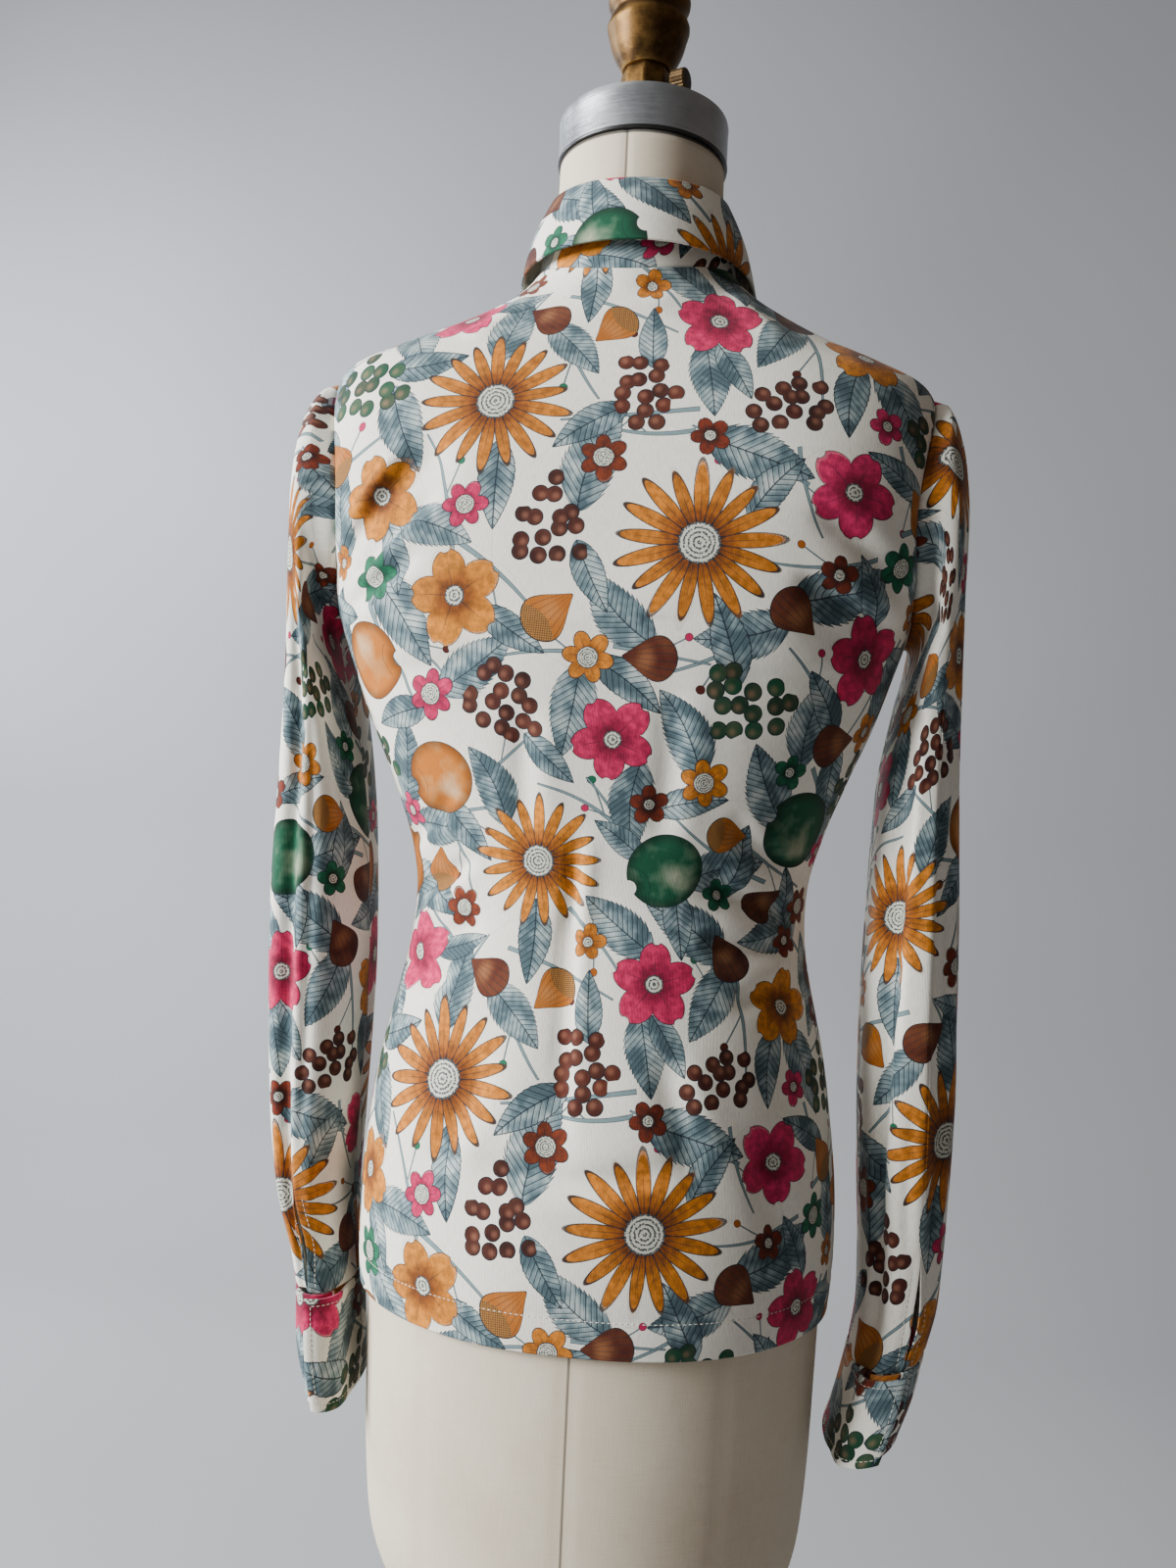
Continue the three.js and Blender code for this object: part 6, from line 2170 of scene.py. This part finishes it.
def facing(place: Vector, normal: Vector) -> Matrix:
    """Turn and shift that take the origin to a place and the Z axis to a direction."""
    return Matrix.Translation(place) @ Vector((0, 0, 1)).rotation_difference(normal).to_matrix().to_4x4()


@dataclass
class Buttons:
    """The buttons of the front, the collar stand and the cuffs, in millimetres."""

    radius: float = 5.6
    small_radius: float = 4.2
    thick: float = 2.2
    shank: float = 0.9
    dish: float = 0.75
    hole_away: float = 1.35
    hole: float = 0.75
    hole_deep: float = 1.6
    bar_radius: float = 0.42
    bar_long: float = 2.1
    bar_lift: float = 0.12
    stand_place: tuple[float, float] = (0.968, 0.42)

    def pattern(self, radius: float) -> bpy.types.Object:
        """A round button with a low rim, lying flat at the origin; its four holes are cut when it is sewn."""
        t = self.thick
        rows = ((radius - 0.9, 0.0), (radius - 0.25, 0.3), (radius, 0.95), (radius - 0.15, t - 0.35),
                (radius - 0.6, t), (radius - 1.1, t - 0.1), (radius - 1.7, t - 0.65),
                (radius - 2.4, t - self.dish))
        return turned_piece("button", rows, 40)

    def place(self, node: str, normal: Vector, small: bool) -> None:
        """Makes one button where its node is.

        Args:
            node: the CAD button.
            normal: direction of its face.
            small: whether it is a cuff's or the stand's.
        """
        obj = self.pattern(self.small_radius if small else self.radius)
        obj.name = node + "_made"
        threads = self.sew(obj)
        seat = facing(box_middle(node) - normal * ((self.thick - self.shank) / 2 * MM), normal)
        for made in (obj, *threads):
            made.data.transform(seat)
        round_edges(obj)
        finished(obj, BUTTON_FINISH, (node,), 35)
        for made in threads:
            finished(made, THREAD_FINISH, ())

    def build(self, shirt: ShirtBody, collar: Collar, cuffs: Iterable[Cuff]) -> None:
        """Sews all the buttons on.

        Args:
            shirt: the body, whose right front carries the front buttons.
            collar: the collar, whose stand carries one.
            cuffs: the cuffs, with one each.
        """
        middle = 1.5 * HALF_TURN
        for i, height in enumerate(shirt.button_heights):
            normal = face_normal(lambda turn, up: shirt.surface(up, turn, True), middle, height, (0.02, 4))
            self.place(f"front_button_{i + 1}", normal, False)
        along, rise = self.stand_place
        normal = face_normal(lambda a, r: collar.stand_surface(r, a), along, rise, (0.01, 0.1))
        self.place("stand_button", normal, True)
        for cuff in cuffs:
            walk = cuff.lap * cuff.button_share
            normal = face_normal(lambda w, up: cuff.surface(-up, w), walk, -1.0, (0.1, 0.1))
            self.place(cuff.name + "_cuff_button", normal if cuff.side < 0 else -normal, True)

    def sew(self, button: bpy.types.Object) -> list[bpy.types.Object]:
        """Sinks four holes into a button and sews it on.

        Args:
            button: the button, lying flat at the origin.

        Returns:
            Two bars of thread and a shank.
        """
        top = (self.thick - self.dish) * MM
        cutters = []
        for k in range(4):
            angle = HALF_TURN / 4 + k * HALF_TURN / 2
            place = (math.cos(angle) * self.hole_away * MM, math.sin(angle) * self.hole_away * MM, top)
            cutters.append(added(bpy.ops.mesh.primitive_cylinder_add, vertices=14, radius=self.hole * MM,
                                 depth=self.hole_deep * MM, location=place))
        for cutter in cutters:
            add_modifier(button, "BOOLEAN", object=cutter, operation="DIFFERENCE", solver="EXACT")
        apply_modifiers(button)
        for cutter in cutters:
            bpy.data.objects.remove(cutter, do_unlink=True)
        made = []
        for sign in (-1, 1):
            place = (0, sign * self.hole_away * math.sqrt(0.5) * MM, top + self.bar_lift * MM)
            bar = added(bpy.ops.mesh.primitive_cylinder_add, vertices=10, radius=self.bar_radius * MM,
                        depth=self.bar_long * MM, location=place, rotation=(0, HALF_TURN / 2, 0))
            select_only(bar)
            bpy.ops.object.transform_apply(location=True, rotation=True, scale=True)
            bar.name = "button_thread"
            round_edges(bar)
            made.append(bar)
        made.append(turned_piece("button_shank", ((1.9, -self.shank), (1.3, -0.5), (1.5, 0.2)), 14))
        return made


@dataclass
class DressForm:
    """The padded body of the form with its neck cap and finial, in millimetres."""

    around: int = 168
    neck_shift: float = 5.0
    princess_turns: tuple[float, ...] = (54, 126, 234, 306)
    seam_depth: float = 0.6
    knurl_from: float = 6.6
    knurl_in: float = 0.94

    def body_patch(self) -> Patch:
        """The form's surface, with its seams sunk in."""
        heights = np.concatenate([np.array([598, 600, 602, 605, 609, 614, 620, 628]),
                                  np.linspace(636, 1483.7, 170)])
        turns = np.arange(self.around) * FULL_TURN / self.around
        height, turn = crossed(heights, turns)
        points = form_points(height, turn)
        patch = Patch.measured(points, closed=True)
        degrees = np.degrees(turn) % 360
        depth = np.zeros(degrees.shape)
        radius = np.hypot(points[..., 0], points[..., 1])
        below_neck = ease((1420 - points[..., 2]) / 30)
        for seam in (0.0, 180.0, *self.princess_turns):
            off = np.radians((degrees - seam + 180) % 360 - 180) * radius
            depth += self.seam_depth * bell(off / 2.2) * below_neck
        middle = np.where(points[..., 1] > 0, self.neck_shift * ease((points[..., 2] - 1300) / 150), 0)
        depth += self.seam_depth * bell((points[..., 0] - middle) / 1.8)
        patch.sink(np.where(points[..., 2] > 605, depth, 0))
        return patch

    def build_body(self) -> None:
        """Builds the linen-covered body as a closed mesh."""
        patch = self.body_patch()
        rows, columns = patch.points.shape[:2]
        faces = patch.faces().tolist()
        faces.append(list(reversed(range(columns))))
        faces.append([(rows - 1) * columns + j for j in range(columns)])
        finished(mesh_object("form_body_linen", patch.points, faces), LINEN_FINISH, ("form_body",))

    def build_cap(self) -> None:
        """Builds the neck cap: a spun lid with a rolled lower rim."""
        obj = turned_piece("neck_cap_spun", (
            (51.6, 1484.2), (52.8, 1484.6), (53.0, 1486), (52.6, 1488), (52.6, 1506), (52.8, 1509.5),
            (52.3, 1511.4), (51.0, 1512.2), (48.0, 1512.4), (30.0, 1513.6), (24.0, 1514.6), (10.0, 1515)), 96)
        finished(obj, CAP_FINISH, ("neck_cap",), 28)

    def build_finial(self) -> None:
        """Builds the cast finial: an eight-sided stem and a turned urn."""
        stem = turned_piece("finial_stem", (
            (16.6, 1515.6), (16.6, 1541), (16.0, 1544.5), (14.4, 1547), (13.6, 1549)), 8)
        round_edges(stem, 1.2, 3, 20)
        finished(stem, BRASS_FINISH, (), 35)
        urn = turned_piece("finial_urn", (
            (13.2, 1546.2), (15.6, 1546.6), (16.6, 1548), (17.6, 1550), (18.6, 1551.6), (19.4, 1553.2),
            (20.6, 1555.6), (21.8, 1558.4), (22.9, 1561.4), (23.7, 1564.4), (24.4, 1567.6), (25.2, 1570),
            (25.8, 1572.2), (25.8, 1574.2), (25.0, 1576.2), (23.6, 1578.2), (22.7, 1580), (22.6, 1581.6),
            (23.4, 1583.4), (24.8, 1585.6), (25.6, 1587.8), (25.8, 1590), (25.2, 1592.6), (23.8, 1595),
            (21.2, 1597.2), (17.0, 1599), (13.2, 1601), (11.7, 1603), (11.6, 1604.8), (12.6, 1607.4),
            (14.2, 1610.6), (16.0, 1614), (17.2, 1617.4), (17.7, 1620.6), (17.4, 1624), (16.4, 1627.6),
            (14.6, 1631.4), (12.2, 1634.8), (9.2, 1637.8), (6.0, 1640.4), (3.2, 1642.2), (1.0, 1643)), 72)
        finished(urn, BRASS_FINISH, ("finial",), 30)

    def build_screw(self) -> None:
        """Builds the knurled thumb screw in the stem's flat."""
        obj = turned_piece("thumb_screw_knurled", (
            (3.0, -5.9), (3.0, -3.4), (6.4, -3.4), (7.0, -2.8), (7.0, 5.0), (6.4, 5.8), (3.4, 6.0)), 48)
        for vertex in obj.data.vertices:
            if math.hypot(vertex.co.x, vertex.co.y) > self.knurl_from * MM and vertex.index % 2:
                vertex.co.x *= self.knurl_in
                vertex.co.y *= self.knurl_in
        turn = HALF_TURN - HALF_TURN / 8
        normal = Vector((math.cos(turn), math.sin(turn), 0))
        obj.data.transform(facing(box_middle("thumb_screw"), normal))
        finished(obj, BRONZE_FINISH, ("thumb_screw",), 25)

    def build(self) -> None:
        """Builds the form with all its fittings."""
        self.build_body()
        self.build_cap()
        self.build_finial()
        self.build_screw()


@dataclass
class Stand:
    """The pole, the cast base and the wire cage under the form, in millimetres."""

    rods: int = 8
    rod_radius: float = 2.6
    cage_half: float = 118.5
    cage_depth: float = 92
    hoop_height: float = 389
    hoop_radius: float = 3

    def build_base(self) -> None:
        """Builds the base with its hub, and the pole."""
        base = turned_piece("base_cast", (
            (231, 0), (234, 0.8), (235, 3), (234.6, 5.2), (232, 8.4), (226, 9.6), (204, 10.6), (190, 12.4),
            (184, 12.6), (150, 13.2), (128, 14.2), (90, 15.2), (60, 16), (48, 17), (38, 21), (34, 25),
            (31, 30), (26.5, 33.2), (20, 34)), 128)
        finished(base, IRON_FINISH, ("base",), 30)
        pole = turned_piece("pole_tube", ((12.7, 34.4), (12.7, 36), (12.7, 597.4), (12.3, 597.6)), 48)
        finished(pole, IRON_FINISH, ("pole",), 30)

    def build_cage(self) -> None:
        """Builds the cage's rods and the hoop that joins them."""
        r = self.rod_radius
        for i in range(self.rods):
            node = f"cage_rod_{i + 1}"
            x, y, _ = box_middle(node) / MM
            low, high = (corner[2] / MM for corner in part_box(node))
            obj = turned_piece(node + "_wire", (
                (r - 0.5, low), (r, low + 0.6), (r, low + 1.2), (r, high - 1.2), (r, high - 0.6),
                (r - 0.5, high)), 20, (x, y))
            finished(obj, IRON_FINISH, (node,), 50)
        hoop = added(bpy.ops.mesh.primitive_torus_add, major_segments=96, minor_segments=14,
                     major_radius=self.cage_half * MM, minor_radius=self.hoop_radius * MM,
                     location=(0, 0, self.hoop_height * MM))
        hoop.name = "cage_hoop_wire"
        for vertex in hoop.data.vertices:
            reach = math.hypot(vertex.co.x, vertex.co.y)
            out = reach - self.cage_half * MM
            c, s = vertex.co.x / reach, vertex.co.y / reach
            vertex.co.x = (self.cage_half * MM + out) * c
            vertex.co.y = (self.cage_depth * MM + out) * s
        hoop.data.shade_smooth()
        finished(hoop, IRON_FINISH, ("cage_hoop",))

    def build(self) -> None:
        """Builds the whole stand."""
        self.build_base()
        self.build_cage()


@dataclass(frozen=True)
class Light:
    """A square soft light: its place, aim and side in millimetres, its watts and its colour."""

    name: str
    place: tuple[float, float, float]
    aim: tuple[float, float, float]
    size: float
    power: float
    colour: tuple[float, float, float]


@dataclass(frozen=True)
class Studio:
    """Camera, backdrop and soft light. Lengths in millimetres, angles in degrees."""

    distance: float = 750
    azimuth: float = 5.4
    height: float = 1100
    focal_pixels: float = 1220
    image_long: float = 1600
    axis_offset_pixels: float = 27
    roll: float = 2.6
    sensor: float = 36
    aim: tuple[float, float, float] = (0, 0, 1100)
    wall_y: float = -2700
    wall_height: float = 4200
    bend: float = 1000
    floor_end: float = 4500
    half_wide: float = 5000
    below_floor: float = 0.5
    sky: tuple[float, float, float, float] = (0.62, 0.54, 0.48, 1)
    sky_strength: float = 0.2

    def camera(self) -> None:
        """Makes the camera, at the photograph's place and angle."""
        turned = math.radians(self.azimuth)
        aside = math.atan2(self.axis_offset_pixels, self.focal_pixels)
        roll = math.radians(self.roll)
        up = Vector((0, 0, 1))
        forward = Vector((math.sin(turned), -math.cos(turned), 0))
        ahead = forward * math.cos(aside) - forward.cross(up) * math.sin(aside)
        side = ahead.cross(up)
        across = side * math.cos(roll) + up * math.sin(roll)
        upwards = up * math.cos(roll) - side * math.sin(roll)
        data = bpy.data.cameras.new("camera")
        data.sensor_width = self.sensor
        data.lens = self.focal_pixels / self.image_long * self.sensor
        camera = bpy.data.objects.new("camera", data)
        bpy.context.collection.objects.link(camera)
        place = up * self.height - forward * self.distance
        turn = Matrix((across, upwards, -ahead)).transposed().to_4x4()
        camera.matrix_world = Matrix.Translation(place * MM) @ turn
        bpy.context.scene.camera = camera

    def light(self, light: Light) -> None:
        """Hangs a square soft light, out of the camera's sight."""
        data = bpy.data.lights.new(light.name, "AREA")
        data.size = light.size * MM
        data.energy = light.power
        data.color = light.colour
        obj = bpy.data.objects.new(light.name, data)
        bpy.context.collection.objects.link(obj)
        place = Vector(light.place)
        obj.location = place * MM
        obj.rotation_euler = (Vector(light.aim) - place).to_track_quat("-Z", "Y").to_euler()
        obj.visible_camera = False

    def backdrop(self) -> None:
        """Makes the floor and the wall behind it as one seamless sheet."""
        centre = self.wall_y + self.bend
        profile = [(self.floor_end, 0.0)]
        for turn in np.linspace(0, HALF_TURN / 2, 24):
            profile.append((centre - self.bend * math.sin(turn), self.bend * (1 - math.cos(turn))))
        profile.append((self.wall_y, self.wall_height))
        points = [(x, y, z - self.below_floor) for y, z in profile for x in (-self.half_wide, self.half_wide)]
        faces = [(2 * i, 2 * i + 2, 2 * i + 3, 2 * i + 1) for i in range(len(profile) - 1)]
        sheet = mesh_object("backdrop", np.array(points), faces)
        sheet.data.materials.append(PAPER_FINISH.material())

    def build(self) -> None:
        """Makes the camera, the lights, the surroundings and the backdrop."""
        self.camera()
        for light in (
            Light("window", (2400, 1050, 1800), self.aim, 1300, 235, (0.96, 0.98, 1.0)),
            Light("overhead", (1000, 600, 2900), self.aim, 1400, 8, (1.0, 0.97, 0.93)),
            Light("wall_wash", (2600, -1100, 2100), (1000, self.wall_y, 1500), 1200, 110, (0.84, 0.91, 1.0)),
            Light("front_fill", (600, -2200, 1500), self.aim, 1500, 26, (1.0, 0.99, 0.97)),
        ):
            self.light(light)
        world = bpy.data.worlds.new("surroundings")
        world.use_nodes = True
        background = world.node_tree.nodes["Background"]
        background.inputs["Color"].default_value = self.sky
        background.inputs["Strength"].default_value = self.sky_strength
        bpy.context.scene.world = world
        self.backdrop()


class Effects:
    """Node groups that several finishes share."""

    def __init__(self) -> None:
        """Builds the groups."""
        self.wear = self.build_wear()
        self.dust = self.build_dust()
        self.grain = self.build_grain()

    def build_wear(self) -> bpy.types.NodeTree:
        """Rubbed edges: where the surface bends outwards, broken up unevenly."""
        g, given, out = new_group("edge wear", {"Place": "Vector", "Scale": "Float"}, {"Mask": "Float"})
        bent = g.node("ShaderNodeNewGeometry").outputs["Pointiness"]
        uneven = g.noise(given["Place"], given["Scale"], 4, 0.6)
        g.feed(g.smooth(g.scaled(uneven, 0.1, bent), 0.55, 0.63), out.inputs["Mask"])
        return g.tree

    def build_dust(self) -> bpy.types.NodeTree:
        """Dust on what faces up."""
        g, given, out = new_group("dust", {"Place": "Vector", "Amount": "Float"}, {"Mask": "Float"})
        normal = g.node("ShaderNodeNewGeometry").outputs["Normal"]
        upward = g.smooth(g.parts(normal)[2], 0.35, 1.0)
        cloud = g.smooth(g.noise(given["Place"], 38, 5, 0.65), 0.3, 0.75)
        g.feed(g.times(upward, cloud, given["Amount"]), out.inputs["Mask"])
        return g.tree

    def build_grain(self) -> bpy.types.NodeTree:
        """Uneven tone, with a fine grain for the relief."""
        g, given, out = new_group("grain", {"Place": "Vector", "Scale": "Float"},
                                  {"Tone": "Float", "Height": "Float"})
        g.fill(out, Tone=g.smooth(g.noise(given["Place"], given["Scale"], 5, 0.6), 0.2, 0.8),
               Height=g.noise(given["Place"], g.times(given["Scale"], 14.0), 3, 0.6))
        return g.tree


class Finish:
    """A finish, made as a material the first time that it is asked for."""

    made: dict[str, bpy.types.Material] = {}
    name: str

    def material(self) -> bpy.types.Material:
        """The finish's material."""
        if self.name not in Finish.made:
            material = bpy.data.materials.new(self.name)
            material.use_nodes = True
            Finish.made[self.name] = material
            self.paint(Graph(material.node_tree), material.node_tree.nodes["Principled BSDF"])
        return Finish.made[self.name]

    def paint(self, g: Graph, shader: bpy.types.Node) -> None:
        """Feeds the shader."""
        raise NotImplementedError


@dataclass(frozen=True)
class MetalFinish(Finish):
    """Metal with a skin of its own tone, rubbed bright at the edges, and a painted shadow, nearly black, below
    a height in metres.
    """

    name: str
    dark: str
    light: str
    bare: str
    rough: float
    metal: float
    scale: float
    spun: float = 0.0
    dusty: float = 0.2
    wear: float = 0.6
    band: float = 0.0

    def paint(self, g: Graph, shader: bpy.types.Node) -> None:
        """Feeds the shader: uneven tone, marks of the lathe, wear, dust and a painted shadow low down."""
        place = g.place()
        x, y, z = g.parts(place)
        grain = g.group(EFFECTS.grain, Place=place, Scale=self.scale)
        worn = g.times(g.group(EFFECTS.wear, Place=place, Scale=self.scale * 2).outputs[0], self.wear)
        dust = g.group(EFFECTS.dust, Place=place, Amount=self.dusty).outputs[0]
        rings = g.noise(g.vector(g.times(g.math("ARCTAN2", y, x), 0.0012), g.hypot(x, y), z), 2600, 2, 0.5)
        tone = g.add(grain.outputs["Tone"], g.times(g.less(rings, 0.5), self.spun))
        colour = g.ramp(tone, ((0.0, self.dark), (1.0, self.light)))
        colour = g.mix(worn, colour, linear(self.bare))
        colour = g.mix(dust, colour, linear("#8D8A82"))
        # Painted shadow: below the band's height the colour goes nearly black, for the shadow line under the
        # cap's rim.
        if self.band:
            line = g.below(z, self.band)
            colour = g.mix(g.times(line, 0.9), colour, linear("#141414"))
        rough = g.add(self.rough, g.times(g.less(grain.outputs["Tone"], 0.5), 0.22), g.times(dust, 0.4),
                      g.times(g.less(rings, 0.5), self.spun * 0.5))
        metal = g.scaled(worn, 1.0 - self.metal, self.metal)
        height = g.add(g.times(grain.outputs["Height"], 0.6), g.times(rings, self.spun * 2))
        g.fill(shader, Base_Color=colour, Roughness=rough, Metallic=metal,
               Normal=g.relief(height, 0.25, 0.0003))


@dataclass(frozen=True)
class LinenFinish(Finish):
    """Plain woven linen, with a darker seam line down the back and a painted shadow line at the neck's rim
    under the cap, in metres.
    """

    name: str = "linen"
    pitch: float = 0.00085
    girth: float = 0.11
    seam_shift: float = 0.005
    shadow_line_height: float = 1.4822

    def paint(self, g: Graph, shader: bpy.types.Node) -> None:
        """Feeds the shader: threads over and under, slubs, uneven tone, the dark seam line and the painted
        shadow line under the cap.
        """
        place = g.place()
        x, y, z = g.parts(place)
        around = g.times(g.math("ARCTAN2", y, x), self.girth)
        u = g.over(around, self.pitch)
        v = g.over(z, self.pitch)
        warp = g.size(g.sine(g.times(u, HALF_TURN)))
        weft = g.size(g.sine(g.times(v, HALF_TURN)))
        over = g.math("MODULO", g.add(g.floor(u), g.floor(v), 4000.0), 2.0)
        thread = g.add(g.times(warp, over), g.times(weft, g.less(1.0, over)))
        slub_up = g.noise(g.vector(around, g.times(z, 0.05), 0.0), 1100, 2, 0.6)
        slub_across = g.noise(g.vector(g.times(around, 0.05), z, 7.0), 1100, 2, 0.6)
        slub = g.add(slub_up, slub_across)
        grain = g.group(EFFECTS.grain, Place=place, Scale=9.0)
        tone = g.add(g.times(grain.outputs["Tone"], 0.45), g.times(slub, 0.35), g.times(thread, 0.15), -0.1)
        colour = g.ramp(tone, ((0.0, "#BFAE93"), (0.5, "#D6C8B0"), (1.0, "#E6DBC6")))
        shift = g.times(g.smooth(z, 1.3, 1.45), self.seam_shift)
        off = g.size(g.less(x, shift))
        line = g.times(g.smooth(off, 0.0011, 0.0004), g.above(y, 0.0))
        colour = g.mix(g.times(line, 0.75), colour, linear("#4E4436"))
        # Painted shadow: the top of the neck, just under the cap's rim, goes nearly black.
        rim = g.above(z, self.shadow_line_height)
        colour = g.mix(g.times(rim, 0.85), colour, linear("#1B1814"))
        height = g.add(g.times(thread, 0.6), g.times(slub, 0.6), g.times(grain.outputs["Height"], 0.2))
        g.fill(shader, Base_Color=colour, Roughness=g.scaled(thread, -0.1, 0.93),
               Sheen_Weight=0.1, Specular_IOR_Level=0.2, Normal=g.relief(height, 0.4, 0.0003))


@dataclass(frozen=True)
class ShellFinish(Finish):
    """Pale shell of the buttons, with cloudy layers and a polished coat."""

    name: str = "button_shell"
    scale: float = 210.0

    def paint(self, g: Graph, shader: bpy.types.Node) -> None:
        """Feeds the shader: layers that wander through the shell, and rubbed edges."""
        place = g.place()
        grain = g.group(EFFECTS.grain, Place=place, Scale=self.scale)
        worn = g.group(EFFECTS.wear, Place=place, Scale=self.scale).outputs[0]
        layers = g.sine(g.times(g.noise(place, 90, 2, 0.5), 38.0))
        tone = g.scaled(layers, 0.22, grain.outputs["Tone"])
        colour = g.ramp(tone, ((0.0, "#B9AB98"), (0.45, "#DCD3C3"), (1.0, "#F1ECE1")))
        colour = g.mix(g.times(worn, 0.4), colour, linear("#F6F2E9"))
        g.fill(shader, Base_Color=colour, Roughness=g.scaled(grain.outputs["Tone"], 0.2, 0.2),
               Coat_Weight=0.35, Normal=g.relief(grain.outputs["Height"], 0.08, 0.0001))


@dataclass(frozen=True)
class ThreadFinish(Finish):
    """Cream sewing thread with its twist."""

    name: str = "sewing_thread"
    twist: float = 9000.0

    def paint(self, g: Graph, shader: bpy.types.Node) -> None:
        """Feeds the shader: a slanting twist and loose fibres."""
        place = g.place()
        x, y, z = g.parts(place)
        twist = g.sine(g.times(g.add(x, y, z), self.twist))
        grain = g.group(EFFECTS.grain, Place=place, Scale=900.0)
        tone = g.scaled(twist, 0.25, grain.outputs["Tone"])
        g.fill(shader, Base_Color=g.ramp(tone, ((0.0, "#BDB6A4"), (1.0, "#EFEBDF"))),
               Roughness=g.scaled(grain.outputs["Tone"], 0.2, 0.62), Sheen_Weight=0.2,
               Normal=g.relief(g.add(twist, grain.outputs["Height"]), 0.3, 0.00008))


@dataclass(frozen=True)
class PaperFinish(Finish):
    """Matt pale paper of the backdrop."""

    name: str = "backdrop_paper"

    def paint(self, g: Graph, shader: bpy.types.Node) -> None:
        """Feeds the shader: slow changes of tone."""
        colour = g.ramp(g.noise(g.place(), 0.9, 1, 0.5), ((0.2, "#98989A"), (0.8, "#A4A4A6")))
        g.fill(shader, Base_Color=colour, Roughness=0.85, Specular_IOR_Level=0.1)


EFFECTS = Effects()
THREAD_FINISH = ThreadFinish()
BUTTON_FINISH = ShellFinish()
LINEN_FINISH = LinenFinish()
# The cap's last number is the height below which its rim carries a painted shadow.
CAP_FINISH = MetalFinish("spun_aluminium", "#8F9397", "#CDD0D4", "#E6E8EA", 0.4, 0.75, 12.0, 0.6, 0.12,
                         0.25, 1.4861)
BRASS_FINISH = MetalFinish("antique_brass", "#2E2012", "#6B4D26", "#A98349", 0.42, 0.9, 55.0, 0.5, 0.25, 0.55)
BRONZE_FINISH = MetalFinish("dark_bronze", "#17120D", "#30271D", "#6E5637", 0.45, 0.85, 90.0, 0.3, 0.2, 0.6)
IRON_FINISH = MetalFinish("black_iron", "#0D0D0E", "#1B1B1D", "#3B3A38", 0.48, 0.25, 40.0, 0.2, 0.3, 0.5)
PAPER_FINISH = PaperFinish()
PROBE = FormProbe()
PRINT = PrintedCloth()


def main() -> None:
    """Builds the part, piece by piece."""
    logging.basicConfig(level=logging.INFO, format="%(message)s")
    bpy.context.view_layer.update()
    studio = Studio()
    shirt = ShirtBody()
    shirt.build()
    sleeves = (
        Sleeve("left", 1, LEFT_SLEEVE_RINGS, (
            SleeveFold((5.6, 13.4), (76, 66), 12, 8), SleeveFold((2.2, 6.4), (128, 150), 15, 9),
            SleeveFold((8, 13), (246, 262), 14, 7), SleeveFold((5, 11), (305, 292), 14, 6)),
            LEFT_SLEEVE_CREASES, 84, 9, shirt),
        Sleeve("right", -1, RIGHT_SLEEVE_RINGS, (
            SleeveFold((4.8, 12.6), (126, 132), 13, 8), SleeveFold((3.4, 11), (52, 58), 11, 5),
            SleeveFold((8, 13), (244, 258), 14, 7), SleeveFold((5, 11), (300, 288), 14, 6)),
            RIGHT_SLEEVE_CREASES, 75, 4, shirt),
    )
    for sleeve in sleeves:
        sleeve.build()
    cuffs = (Cuff("left", 1, LEFT_CUFF_RINGS, 84), Cuff("right", -1, RIGHT_CUFF_RINGS, 75))
    for cuff in cuffs:
        cuff.build()
    collar = Collar(shirt)
    collar.build()
    Buttons().build(shirt, collar, cuffs)
    DressForm().build()
    Stand().build()
    studio.build()


if __name__ == "__main__":
    main()
